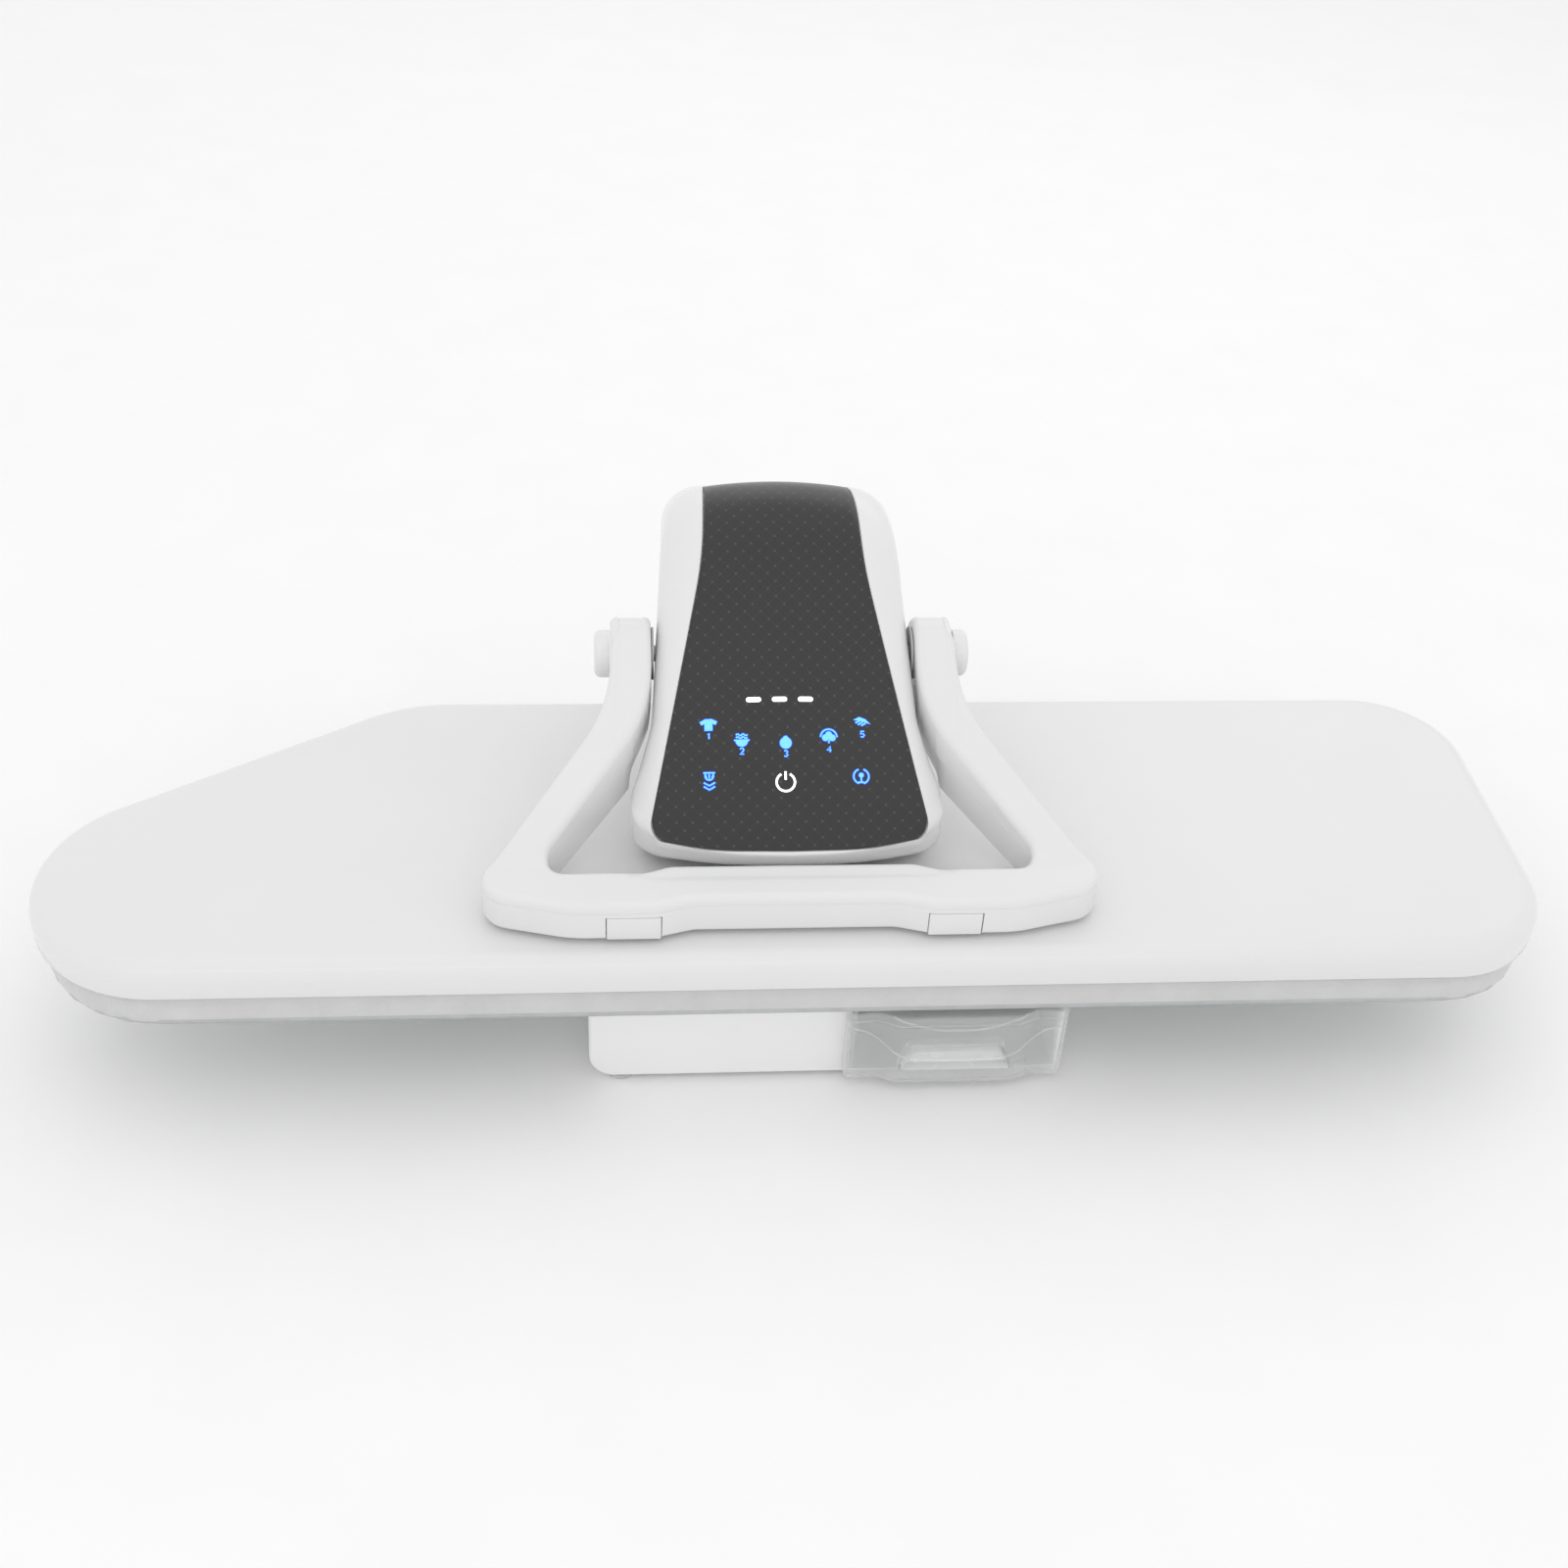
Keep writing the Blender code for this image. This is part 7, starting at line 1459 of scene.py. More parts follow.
def handle_side_lines():
    """The handle's lower and upper lines and the line between its shells, seen from the side."""
    centre, radius = (PIVOT_BEHIND, PIVOT_ABOVE), HANDLE_END_RADIUS
    low_knee = (GRIP_UNDER_BEHIND, GRIP_LOW)
    high_knee = (GRIP_RISE_BEHIND, GRIP_HIGH)
    touch_low = tangent_point(low_knee, centre, radius, -1)
    touch_high = tangent_point(high_knee, centre, radius, 1)
    start = math.atan2(touch_low[1] - centre[1], touch_low[0] - centre[0])
    end = math.atan2(touch_high[1] - centre[1], touch_high[0] - centre[0])
    lower = rounded([(-OVERRUN, GRIP_LOW, 0), (*low_knee, HANDLE_KNEE_RADIUS), (*touch_low, 0)], closed=False)
    lower += arc(centre, radius, start, 0, 24)[1:]
    upper = rounded([(-OVERRUN, GRIP_HIGH, 0), (*high_knee, HANDLE_KNEE_RADIUS / 2), (*touch_high, 0)],
                    closed=False)
    upper += arc(centre, radius, end, 0, 40)[1:]
    knee = (GRIP_RISE_BEHIND, HANDLE_PART_ABOVE)
    far = (PIVOT_BEHIND + HANDLE_END_RADIUS + OVERRUN, PIVOT_ABOVE + OVERRUN)
    parting = rounded([(-OVERRUN * 2, knee[1], 0), (*knee, HANDLE_KNEE_RADIUS / 2), (*far, 0)], closed=False)
    return lower, upper, parting


BELT = [(p.x, p.y) for p in belt_line()]


def head_half_at(behind):
    """Half width of the head's belt at a distance behind the front."""
    for (far_x, far_y), (near_x, near_y) in zip(BELT, BELT[1:]):
        if near_y <= behind <= far_y:
            return near_x + (far_x - near_x) * (behind - near_y) / (far_y - near_y)
    return BELT_SEAM_HALF


def handle_limits(x, d, h, wall):
    """A handle point kept clear of the head's sweep and inside the chamfer of the pivot's end."""
    radius = math.hypot(d - PIVOT_BEHIND, h - PIVOT_ABOVE)
    if radius < PIVOT_BEHIND - BELT_CORNER_FRONT:
        x = max(x, head_half_at(PIVOT_BEHIND - radius) + SWING_CLEARANCE + wall)
    tip = PIVOT_ABOVE + HANDLE_END_RADIUS
    if h > tip - END_CHAMFER_DROP:
        x = min(x, HANDLE_OUTER_HALF - END_CHAMFER * (1 - (tip - h) / END_CHAMFER_DROP) - wall)
    return x, d, h


def shelf(x, d):
    """How far the grip's top steps down near its back edge."""
    side = max(0.0, min(1.0, (SHELF_HALF + SHELF_RUN - abs(x)) / SHELF_RUN))
    line = SHELF_BEHIND + (1 - side) * (GRIP_MIDDLE_BACK - SHELF_BEHIND)
    depth = max(0.0, min(1.0, (d - line) / SHELF_FADE + 0.5))
    return SHELF_DROP * depth * (1 if side > 0 else 0)


def handle_section(out, within, lines, upper_part):
    """A closed section through one shell of the handle, across from its outer to its inner side."""
    lower, upper, parting = lines
    across = within - out
    wide = across.length

    def spot(u, height, wall=0.0):
        place = out + across * (u / wide)
        return handle_limits(place.x, place.y, height, wall)

    def level(line, u):
        return height_on(line, (out + across * (u / wide)).y)

    def part_level(u):
        low, high = level(lower, u), level(upper, u)
        return min(max(level(parting, u), low + (high - low) * 0.25), high - (high - low) * 0.25)

    tall = level(upper, wide / 2) - level(lower, wide / 2)
    edge_line, sign, fillet = (upper, 1, TOP_FILLET) if upper_part else (lower, -1, LOW_FILLET)
    fillet = min(fillet, tall * 0.25, wide * 0.4)
    wall = min(HANDLE_WALL, tall * 0.15)
    part = PART_GAP * sign
    angles = quarter(FILLET_STEPS)
    lip = min(PART_LIP, tall * 0.05)
    points = [spot(lip, part_level(lip) + part), spot(0, part_level(0) + part + lip * sign)]
    bend = level(edge_line, 0) - sign * (fillet + lip)
    points.append(spot(0, min(bend, PIVOT_ABOVE + HANDLE_END_RADIUS - END_CHAMFER_DROP)))
    for a in angles:
        u = fillet * (1 - math.cos(a))
        points.append(spot(u, level(edge_line, u) - sign * fillet * (1 - math.sin(a))))
    for step in range(1, ACROSS_STEPS):
        u = fillet + (wide - 2 * fillet) * step / ACROSS_STEPS
        place = out + across * (u / wide)
        drop = shelf(place.x, place.y) if upper_part else 0
        points.append(spot(u, level(edge_line, u) - drop))
    drop = shelf(within.x, within.y) if upper_part and within.y < GRIP_MIDDLE_BACK + GAP else 0
    for a in reversed(angles):
        u = wide - fillet * (1 - math.cos(a))
        points.append(spot(u, level(edge_line, u) - sign * fillet * (1 - math.sin(a)) - drop))
    inner = max(fillet - wall, wall * 0.4)
    points += [
        spot(wide, part_level(wide) + part + lip * sign), spot(wide - lip, part_level(wide - lip) + part),
        spot(wide - wall, part_level(wide - wall) + part, wall),
    ]
    rounds = [(wide - wall - inner * (1 - math.cos(a)), a) for a in quarter(2)]
    rounds += [(wall + inner * (1 - math.cos(a)), a) for a in reversed(quarter(2))]
    for u, a in rounds:
        points.append(spot(u, level(edge_line, u) - sign * (wall + inner * (1 - math.sin(a))), wall))
    points.append(spot(wall, part_level(wall) + part, wall))
    return points


BUTTON_X = 0.0920
BUTTON_GAP = 0.0004
BUTTON_DEPTH = 0.0055
BUTTON_TRAVEL = 0.0025
BUTTON_SOFT = 0.0011
PIVOT_CAP_ROUND = 0.0042
WASHER_EDGE = 0.0005


def make_handle():
    """The handle's two shells, lofted round the loop, with windows for the steam buttons."""
    lines = handle_side_lines()
    pairs = handle_lines()
    for upper_part, name, node in ((True, "grip_upper", "handle_upper_shell"),
                                   (False, "grip_lower", "handle_lower_shell")):
        half = [handle_section(out, within, lines, upper_part) for out, within in pairs]
        rings = [beside(1, ring) for ring in half] + [beside(-1, ring) for ring in reversed(half[:-1])]
        cuts = [cross_rod("handle_bore", HANDLE_HALF, PIVOT_Y, PIVOT_Z, PIVOT_SHAFT_RADIUS + GAP)]
        if not upper_part:
            cuts += [button_pocket(side) for side in (-1, 1)]
        link(name, cut(loft_mesh(name, rings), *cuts), "handle", GLOSS, [node], 32)
    make_buttons()
    make_pivots()


def button_pocket(side):
    """The window in the grip that a steam button moves in."""
    low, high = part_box("steam_button_right")
    half = (high.x - low.x) / 2 + BUTTON_GAP
    x = ARM_X + side * BUTTON_X
    return box_mesh(
        "button_pocket", (x - half, low.y - OVERRUN, low.z - OVERRUN),
        (x + half, low.y + BUTTON_DEPTH + BUTTON_TRAVEL + BUTTON_GAP, high.z + BUTTON_GAP),
    )


def make_buttons():
    """The steam buttons, flush with the grip's front."""
    for name in ("left", "right"):
        low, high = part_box("steam_button_" + name)
        mesh = softened(box_mesh("steam_key_" + name, low, high), BUTTON_SOFT, 4, 40)
        link("steam_key_" + name, mesh, name + "_button", GLOSS, ["steam_button_" + name], 60)


def make_pivots():
    """Round caps outside the arms and thin washers between them and the head."""
    for side, name in SIDES:
        low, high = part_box("pivot_cap_" + name)
        cap, deep = (high.z - low.z) / 2, high.x - low.x
        corner = rounded([(0, deep, 0), (cap * 0.99, deep, PIVOT_CAP_ROUND), (cap, GAP, 0)], closed=False)
        profile = [(0, deep), (cap * 0.30, deep)] + [tuple(p) for p in corner[1:]] + [(0, GAP)]
        mesh = turned_mesh("pivot_cover_" + name, profile,
                           facing((ARM_X + side * HANDLE_OUTER_HALF, PIVOT_Y, PIVOT_Z), (side, 0, 0)))
        link("pivot_cover_" + name, mesh, "handle", GLOSS, ["pivot_cap_" + name], 35)
        low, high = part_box("pivot_washer_" + name)
        ring, bore = (high.z - low.z) / 2, PIVOT_SHAFT_RADIUS + GAP
        thick = high.x - low.x
        inner_x = high.x if side < 0 else low.x
        profile = [(bore, thick), (ring - WASHER_EDGE, thick), (ring, thick - WASHER_EDGE), (ring, 0),
                   (bore, 0)]
        mesh = turned_mesh("pivot_ring_" + name, profile,
                           facing((inner_x, PIVOT_Y, PIVOT_Z), (side, 0, 0)), bored=True)
        link("pivot_ring_" + name, mesh, "press_arm", SILICONE, ["pivot_washer_" + name], 35)


# Water tank

TANK_X = 0.0915
TANK_WIDTH = 0.133
TANK_FLANGE = 0.0040
TANK_WALL = 0.0022
TANK_CORNER = 0.008
TANK_LOBE_SIDE = 0.0305
TANK_LOBE = 0.0060
TANK_WAVE = 0.0022
TANK_CLEARANCE = 0.0012
TANK_LID_HEIGHT = 0.0080
TANK_FRONT_BACK_Y = BASE_FRONT_Y - GAP
TANK_FRONT_THICKNESS = 0.0075
TANK_FRONT_CORNER = 0.005
TANK_FRONT_Y = TANK_FRONT_BACK_Y - TANK_FRONT_THICKNESS
TANK_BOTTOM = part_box("tank_tub")[0].z
TANK_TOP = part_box("tank_lid")[1].z
TANK_BACK_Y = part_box("tank_tub")[1].y
RECESS_SIDE = 0.0335
RECESS_DEPTH = 0.0065
RECESS_HEIGHT = 0.015
RECESS_RISE = 0.0115
RECESS_LOW_CORNER = 0.001
RECESS_TOP_CORNER = 0.004
RECESS_SOFT = 0.0010
ROOM_SOFT = 0.0012
TANK_SOFT = 0.0022
VALVE_HOLE_RADIUS = 0.0059
BEAD_RADIUS = 0.0007
BEAD_STEPS = 60
BEAD_SIDES = 10
SMILE_SIDE = 0.0565
SMILE_TOP = 0.0405
SMILE_DIP = 0.0190
SMILE_MIDDLE = 0.030
UPPER_SIDE = 0.0400
UPPER_TOP = 0.0545
UPPER_DIP = 0.0440
SMILE_RUN = 0.009
SMILE_LEFT_RISE = 0.0025
SMILE_RIGHT_RISE = 0.0005
SMILE_END_BEND = 0.02
SMILE_BEND = 0.04
UPPER_BEND = 0.05
BEAD_LINES = (
    [(-SMILE_SIDE - SMILE_RUN, SMILE_TOP + SMILE_LEFT_RISE, 0), (-SMILE_SIDE, SMILE_TOP, SMILE_END_BEND),
     (-SMILE_MIDDLE, SMILE_DIP, SMILE_BEND), (SMILE_MIDDLE, SMILE_DIP, SMILE_BEND),
     (SMILE_SIDE, SMILE_TOP, SMILE_END_BEND), (SMILE_SIDE + SMILE_RUN, SMILE_TOP + SMILE_RIGHT_RISE, 0)],
    [(-UPPER_SIDE, UPPER_TOP, 0), (-SMILE_MIDDLE / 2, UPPER_DIP, UPPER_BEND),
     (SMILE_MIDDLE / 2, UPPER_DIP, UPPER_BEND), (UPPER_SIDE, UPPER_TOP, 0)],
)
FILLER_RADIUS = 0.0130
FILLER_SETBACK = 0.0395
CAP_RIM = 0.0030
CAP_THIN = 0.0016
CAP_EDGE = 0.0004
CAP_DEPTH = 0.0060
DISH_DEPTH = 0.0046
DISH_ROUND = 0.0008
BAR_DEPTH = 0.0049
BAR_SOFT = 0.0005


def tank_plan(distance):
    """The tank from above: a front block with a bulging middle and a narrower body behind it."""
    half = TANK_WIDTH / 2
    body = half - TANK_FLANGE
    lobe = half - TANK_LOBE_SIDE
    front, step, back = TANK_FRONT_Y, TANK_FRONT_BACK_Y, TANK_BACK_Y
    bulge = TANK_LOBE * 2
    corners = [
        (body, back, TANK_CORNER), (-body, back, TANK_CORNER), (-body, step, 0), (-half, step, 0),
        (-half, front - TANK_WAVE, TANK_FRONT_CORNER), (-lobe - bulge, front, bulge),
        (-lobe, front - TANK_LOBE, bulge), (lobe, front - TANK_LOBE, bulge), (lobe + bulge, front, bulge),
        (half, front - TANK_WAVE, TANK_FRONT_CORNER), (half, step, 0), (body, step, 0),
    ]
    return inset(rounded([(TANK_X + x, y, r) for x, y, r in corners]), distance)


def tank_body(name, distance):
    """The tank as one solid, moved inwards by a distance."""
    return slab_mesh(name, [tank_plan(distance)], TANK_BOTTOM + distance, TANK_TOP - distance)


def recess_block(name, distance):
    """The finger recess, a trapezium with round top corners in the lower front, grown by a distance."""
    half = TANK_WIDTH / 2 - RECESS_SIDE + distance
    low = TANK_BOTTOM + RECESS_RISE - distance
    high = low + RECESS_HEIGHT + 2 * distance
    top = half - RECESS_DEPTH
    corner = RECESS_TOP_CORNER + distance
    view = rounded([
        (TANK_X - half, low, RECESS_LOW_CORNER), (TANK_X + half, low, RECESS_LOW_CORNER),
        (TANK_X + top, high, corner), (TANK_X - top, high, corner),
    ])
    front = TANK_FRONT_Y - TANK_LOBE - OVERRUN
    back = TANK_FRONT_Y - TANK_LOBE + RECESS_DEPTH + distance
    return slab_mesh(name, [view], front, back, "XZ")


def tank_front_at(x):
    """Where the tank's front face is at a place across."""
    plan = tank_plan(0)
    crossings = []
    for (x0, y0), (x1, y1) in zip(plan, plan[1:] + plan[:1]):
        if min(x0, x1) <= x <= max(x0, x1) and abs(x1 - x0) > GAP:
            crossings.append(y0 + (y1 - y0) * (x - x0) / (x1 - x0))
    return min(crossings)


def bead(name, line):
    """A fine raised bead along a line on the tank's front."""
    rings = []
    for spot in resampled(rounded(line, closed=False), BEAD_STEPS):
        x, z = TANK_X + spot[0], TANK_BOTTOM + spot[1]
        y = tank_front_at(x) + BEAD_RADIUS * 0.4
        rings.append([(x, *place) for place in arc((y, z), BEAD_RADIUS, 0, math.tau, BEAD_SIDES)[:-1]])
    return loft_mesh(name, rings)


def lighten_recess(mesh):
    """Gives the faces of the finger recess the second finish, a more opaque white: painted light that keeps
    the shaded recess bright.
    """
    low = TANK_BOTTOM + RECESS_RISE - GAP
    half = TANK_WIDTH / 2 - RECESS_SIDE + GAP
    back = TANK_FRONT_Y - TANK_LOBE + RECESS_DEPTH + GAP
    for face in mesh.polygons:
        x, y, z = face.center
        within = low < z < low + RECESS_HEIGHT + 2 * GAP and abs(x - TANK_X) < half
        if within and TANK_FRONT_Y - TANK_LOBE + TANK_WALL < y < back:
            face.material_index = 1


def make_tank():
    """The clear tank: tub with a finger recess, lid, white filler cap and the hole for its valve."""
    part = TANK_TOP - TANK_LID_HEIGHT
    left, front = TANK_X - TANK_WIDTH, TANK_FRONT_Y - TANK_WIDTH
    right, back = TANK_X + TANK_WIDTH, TANK_BACK_Y + TANK_WIDTH
    above = box_mesh("above", (left, front, part), (right, back, TANK_TOP + TANK_WIDTH))
    below = box_mesh("below", (left, front, -TANK_WIDTH), (right, back, part + GAP))
    tub = softened(tank_body("tank_tub_clear", 0), TANK_SOFT, 4, 50)
    tub = softened(cut(tub, recess_block("finger_recess", 0)), RECESS_SOFT, 3, 60)
    room = cut(tank_body("tank_room", TANK_WALL), recess_block("recess_wall", TANK_WALL))
    room = softened(room, ROOM_SOFT, 2, 50)
    valve_z = sum(corner.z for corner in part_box("tank_valve")) / 2
    hole = rod_mesh("valve_hole", (TANK_X, TANK_BACK_Y - OVERRUN, valve_z),
                    (TANK_X, TANK_BACK_Y + OVERRUN, valve_z), VALVE_HOLE_RADIUS)
    tub = cut(tub, above, room, hole)
    tub = join_meshes("tank_tub_clear", tub, *[bead("tank_bead", line) for line in BEAD_LINES])
    made = link("tank_tub_clear", tub, "water_tank", CLEAR, ["tank_tub"], 35)
    # The finger recess takes the second, more opaque white finish: painted light for the shaded recess.
    made.data.materials.append(PAINTED_LIGHT_RECESS)
    lighten_recess(made.data)

    lid = softened(tank_body("tank_lid_clear", 0), TANK_SOFT, 4, 50)
    filler_y = TANK_FRONT_BACK_Y + FILLER_SETBACK
    filler = rod_mesh(
        "filler_hole", (TANK_X, filler_y, TANK_TOP - OVERRUN), (TANK_X, filler_y, TANK_TOP + OVERRUN),
        FILLER_RADIUS,
    )
    lid = cut(lid, below, tank_body("lid_room", TANK_WALL), filler)
    link("tank_lid_clear", lid, "water_tank", CLEAR, ["tank_lid"], 35)
    make_filler_cap(filler_y)


def make_filler_cap(filler_y):
    """The white screw cap over the filler, with a finger bar across its dish."""
    plug = FILLER_RADIUS - GAP
    rim = FILLER_RADIUS + CAP_RIM
    thin = CAP_THIN
    dish = plug - thin
    profile = [
        (0, -DISH_DEPTH), (dish - DISH_ROUND, -DISH_DEPTH), (dish, DISH_ROUND - DISH_DEPTH),
        (dish, thin * 0.25), (dish + CAP_EDGE, thin / 2), (rim - CAP_EDGE, thin / 2), (rim, thin * 0.25),
        (rim, GAP), (plug, GAP), (plug, -CAP_DEPTH), (0, -CAP_DEPTH),
    ]
    cap = turned_mesh("filler_screw_cap", profile, Matrix.Translation((TANK_X, filler_y, TANK_TOP)))
    reach = dish + thin / 2
    bar = box_mesh("cap_bar", (TANK_X - reach, filler_y - thin, TANK_TOP - BAR_DEPTH),
                   (TANK_X + reach, filler_y + thin, TANK_TOP))
    cap = cut(cap, softened(bar, BAR_SOFT, 2), how="UNION")
    link("filler_screw_cap", cap, "tank_cap", CAP_WHITE, ["filler_cap"], 35)


# Lit signs under the lens

SIGN_LIFT = 0.00012
STROKE = 0.00085
RING_STROKE = 0.0013
RING_RADIUS = 0.0054
ARM_BAR_X = -0.0045
BAR_BEHIND = 0.1322
BAR_SPACING = 0.0154
BAR_LENGTH = 0.0090
BAR_WIDTH = 0.0030
ICON_SIZE = 0.0112
DIGIT_DROP = 0.36
SIGN_SHARP = 40
FABRIC_PLACES = ((-0.0468, 0.1198), (-0.0274, 0.1124), (-0.0015, 0.1110), (0.0241, 0.1130), (0.0442, 0.1202))
POWER_PLACE = (-0.0021, 0.0938)
STEAM_PLACE = (-0.0469, 0.0944)
VOICE_PLACE = (0.0426, 0.0954)


def on_lens(work, centre, spot, rise):
    """A new corner of a sign at a spot from its centre, laid on the lens."""
    return work.verts.new(lens_point(centre[0] + spot[0], centre[1] + spot[1] * math.cos(TOP_SLOPE), rise))


def ribbon(work, points, width, centre, scale, rise, closed=False):
    """A flat stroke along points of a sign, laid on the lens."""
    count = len(points)
    left, right = [], []
    for index in range(count):
        if closed:
            before, after = points[index - 1], points[(index + 1) % count]
        else:
            before, after = points[max(index - 1, 0)], points[min(index + 1, count - 1)]
        run = Vector(after) - Vector(before)
        side = Vector((-run.y, run.x)).normalized() * width / 2
        middle = Vector(points[index]) * scale
        left.append(on_lens(work, centre, middle + side, rise))
        right.append(on_lens(work, centre, middle - side, rise))
    for index in range(count if closed else count - 1):
        after = (index + 1) % count
        work.faces.new((left[index], left[after], right[after], right[index]))


def filled(work, outline, centre, scale, rise):
    """A filled patch of a sign, laid on the lens."""
    work.faces.new([on_lens(work, centre, Vector(point) * scale, rise) for point in outline])


def bent(centre, radius, start, end, steps=14):
    """Points of an arc in a sign, angles in degrees."""
    return arc(centre, radius, math.radians(start), math.radians(end), steps)


def sign_shapes():
    """Filled patches and strokes of each sign, in a square from -1 to 1."""
    wave = [(x / 10, 0.10 * math.sin(x * 1.1)) for x in range(-6, 7)]
    shirt = [(0.34, 0.92), (0.92, 0.62), (0.74, 0.26), (0.42, 0.42), (0.42, -0.35)]
    return {
        "shirt": ([shirt + [(-x, y) for x, y in reversed(shirt)]], []),
        "cocoon": (
            [bent((0, 0.20), 0.66, 180, 360, 16)],
            [[(-0.82, 0.24), (0.82, 0.24)]] + [[(x, y + up) for x, y in wave] for up in (0.82, 0.52)],
        ),
        "fleece": ([bent((0, 0.20), 0.62, 120, 420, 24) + [(0.10, 0.98), (-0.16, 0.92)]], []),
        "boll": (
            [bent(centre, 0.36, 0, 340, 18) for centre in ((-0.36, 0.30), (0.36, 0.30), (0, 0.62))],
            [bent((0, 0.36), 0.86, 0, 180, 20), [(0, 0.1), (0, -0.3)]],
        ),
        "flax": (
            [[(-0.92, 0.62), (-0.30, 0.94), (0.34, 0.72), (0.92, 0.18), (0.10, 0.44)]],
            [[(-0.72, 0.30), (-0.20, 0.52)], [(-0.46, 0.10), (0.10, 0.40)], [(-0.1, 0.0), (0.4, 0.3)]],
        ),
        "steam": ([], [
            bent((0, 0.62), 0.42, 165, 375), [(-0.62, 0.98), (0.62, 0.98)], [(-0.30, 0.42), (-0.44, 0.88)],
            [(0.30, 0.42), (0.44, 0.88)], [(0, 0.35), (0, 0.85)], [(-0.60, -0.08), (0, -0.42), (0.60, -0.08)],
            [(-0.60, -0.50), (0, -0.86), (0.60, -0.50)],
        ]),
        "sound": ([bent((0, 0.36), 0.26, 0, 340, 16)], [
            bent((0, 0.22), 0.80, 108, 252), bent((0, 0.22), 0.80, -72, 72), [(0, 0.2), (0, -0.42)],
            [(-0.32, -0.42), (0.32, -0.42)],
        ]),
    }


DIGITS = (
    [(-0.15, 0.25), (0.05, 0.45), (0.05, -0.45)],
    [(-0.28, 0.25), (-0.1, 0.45), (0.15, 0.42), (0.27, 0.2), (0.1, -0.1), (-0.28, -0.45), (0.3, -0.45)],
    [(-0.27, 0.38), (0.05, 0.45), (0.27, 0.25), (0.05, 0.02), (0.28, -0.22), (0.05, -0.45), (-0.28, -0.36)],
    [(0.15, -0.45), (0.15, 0.45), (-0.3, -0.15), (0.32, -0.15)],
    [(0.27, 0.45), (-0.22, 0.45), (-0.25, 0.05), (0.08, 0.1), (0.28, -0.15), (0.08, -0.43), (-0.28, -0.38)],
)


def make_signs():
    """Blue fabric signs numbered 1 to 5, steam and sound signs, a white power ring and three bars."""
    shapes = sign_shapes()
    places = dict(zip(("shirt", "cocoon", "fleece", "boll", "flax"), FABRIC_PLACES))
    places.update({"steam": STEAM_PLACE, "sound": VOICE_PLACE})
    scale = ICON_SIZE / 2
    for number, (name, centre) in enumerate(places.items()):
        patches, lines = shapes[name]
        for look, width, rise, suffix in ((BLUE_EDGE, STROKE * 2.1, SIGN_LIFT, "_glow"),
                                          (BLUE, STROKE, SIGN_LIFT * 2, "_sign")):
            work = bmesh.new()
            for line in lines:
                ribbon(work, line, width, centre, scale, rise)
            for patch in patches:
                filled(work, patch, centre, scale, rise)
                if look == BLUE_EDGE:
                    ribbon(work, patch, width - STROKE, centre, scale, rise, closed=True)
            if number < len(DIGITS):
                below = (centre[0], centre[1] - ICON_SIZE * DIGIT_DROP)
                ribbon(work, DIGITS[number], width * 0.85, below, scale * 0.72, rise)
            mesh = to_mesh(work, name + suffix, outwards=False)
            link(name + suffix, mesh, "press_arm", look, sharp=SIGN_SHARP)
    work = bmesh.new()
    for line in (bent((0, 0), 1.0, 118, 422, 40), [(0, 0.25), (0, 1.2)]):
        ribbon(work, line, RING_STROKE, POWER_PLACE, RING_RADIUS, SIGN_LIFT * 2)
    reach, end = (BAR_LENGTH - BAR_WIDTH) / 2, BAR_WIDTH / 2
    outline = bent((reach, 0), end, -90, 90, 8) + bent((-reach, 0), end, 90, 270, 8)
    for index in (-1, 0, 1):
        filled(work, outline, (ARM_BAR_X + index * BAR_SPACING, BAR_BEHIND), 1, SIGN_LIFT * 2)
    mesh = to_mesh(work, "power_ring_and_bars", outwards=False)
    link("power_ring_and_bars", mesh, "press_arm", WHITE_LIGHT, sharp=SIGN_SHARP)


# Camera, light and floor

CAMERA_PLACE = (-0.1144, -1.0101, 0.8891)
CAMERA_PITCH = 0.660
CAMERA_YAW = -0.1101
CAMERA_ROLL = 0.0593
CAMERA_LENS = 46.0
SENSOR = 36.0
SURROUND = 0.93
FLOOR_SIZE = 6.0
LAMPS = (
    ("top_box", (0.0, -0.1, 1.6), (0, 0, 0), (2.2, 1.6), 1.6),
    ("front_strip", (-0.3, -1.9, 1.5), (0, 0, 0.1), (2.6, 0.14), 2.4),
    ("back_box", (0.6, 1.6, 1.2), (0, 0, 0.15), (1.8, 0.8), 1.5),
)


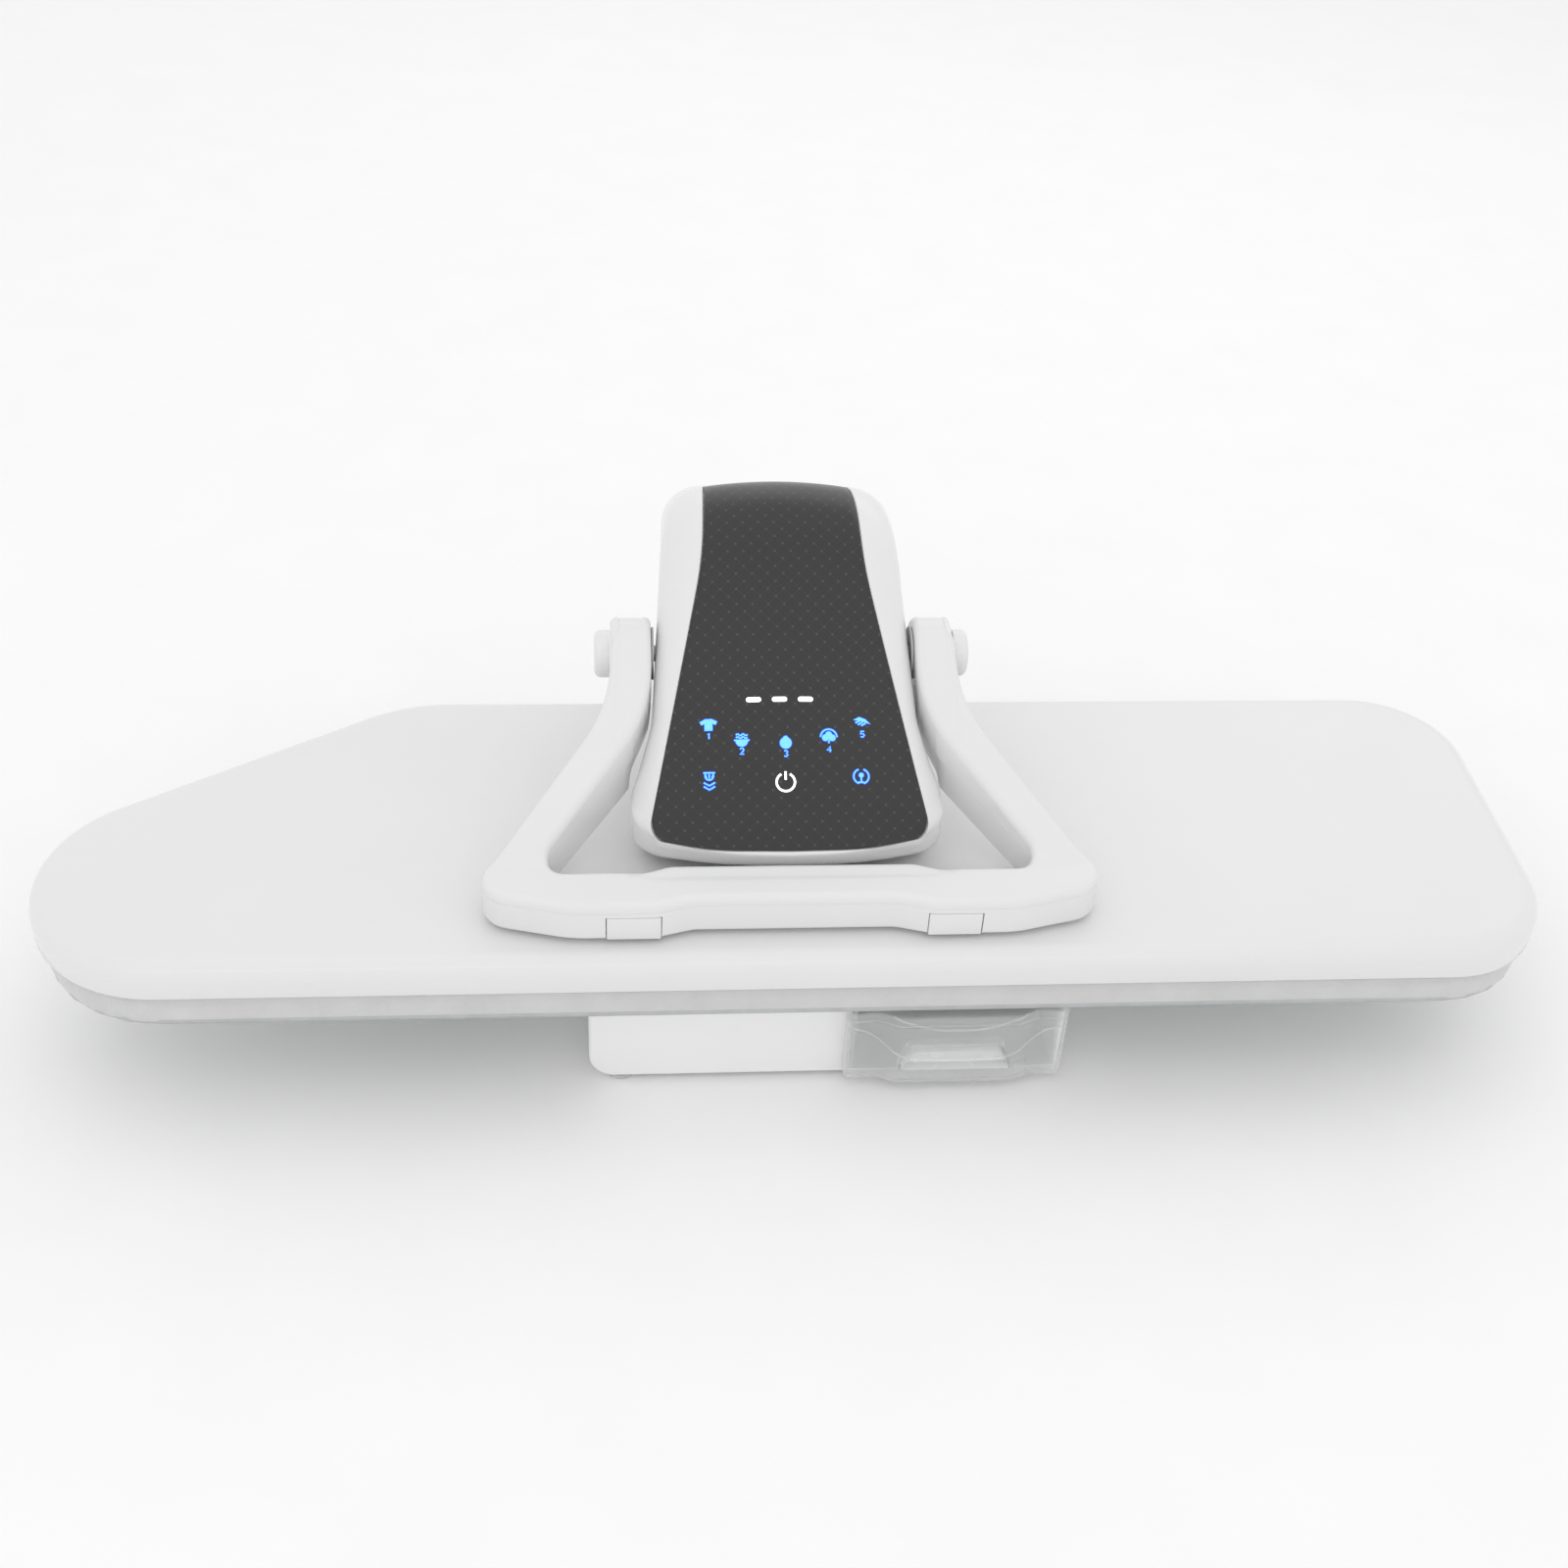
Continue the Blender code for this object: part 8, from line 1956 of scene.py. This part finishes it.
def make_camera():
    """The camera at the photograph's place."""
    data = bpy.data.cameras.new("photo_camera")
    data.lens = CAMERA_LENS
    data.sensor_width = SENSOR
    made = placed("photo_camera", data)
    c, s = math.cos(CAMERA_YAW), math.sin(CAMERA_YAW)
    cp, sp = math.cos(CAMERA_PITCH), math.sin(CAMERA_PITCH)
    right = Vector((c, s, 0))
    forward = Vector((-s * cp, c * cp, -sp))
    up = Vector((-s * sp, c * sp, cp))
    turned_right = right * math.cos(CAMERA_ROLL) + up * math.sin(CAMERA_ROLL)
    turned_up = up * math.cos(CAMERA_ROLL) - right * math.sin(CAMERA_ROLL)
    turn = Matrix((turned_right, turned_up, -forward)).transposed().to_4x4()
    made.matrix_world = Matrix.Translation(CAMERA_PLACE) @ turn
    bpy.context.scene.camera = made


def area_light(name, place, target, size, power):
    """A soft box that looks at a point."""
    data = bpy.data.lights.new(name, "AREA")
    data.shape = "RECTANGLE"
    data.size, data.size_y = size
    data.energy = power
    made = placed(name, data)
    look = (Vector(target) - Vector(place)).to_track_quat("-Z", "Y")
    made.matrix_world = Matrix.Translation(place) @ look.to_matrix().to_4x4()


def make_studio():
    """A pale floor, an even white surround and three soft boxes."""
    scene = bpy.context.scene
    world = bpy.data.worlds.new("white_surround")
    world.use_nodes = True
    background = world.node_tree.nodes["Background"]
    background.inputs["Color"].default_value = (1, 1, 1, 1)
    background.inputs["Strength"].default_value = SURROUND
    scene.world = world
    scene.view_settings.view_transform = "Standard"
    for lamp in LAMPS:
        area_light(*lamp)
    work = bmesh.new()
    bmesh.ops.create_grid(work, x_segments=8, y_segments=8, size=FLOOR_SIZE)
    floor = placed("studio_floor", to_mesh(work, "studio_floor"))
    floor.data.materials.append(moulded_plastic("pale_floor", 0.97, 0.7, 300.0, FINE_GRAIN))


def main():
    """Builds and dresses everything."""
    for step in (dress_frame, make_camera, make_studio, make_cover, make_board, make_head_shell, make_lens,
                 make_rear_cover, make_column, make_base, make_handle, make_tank, make_signs):
        step()


main()
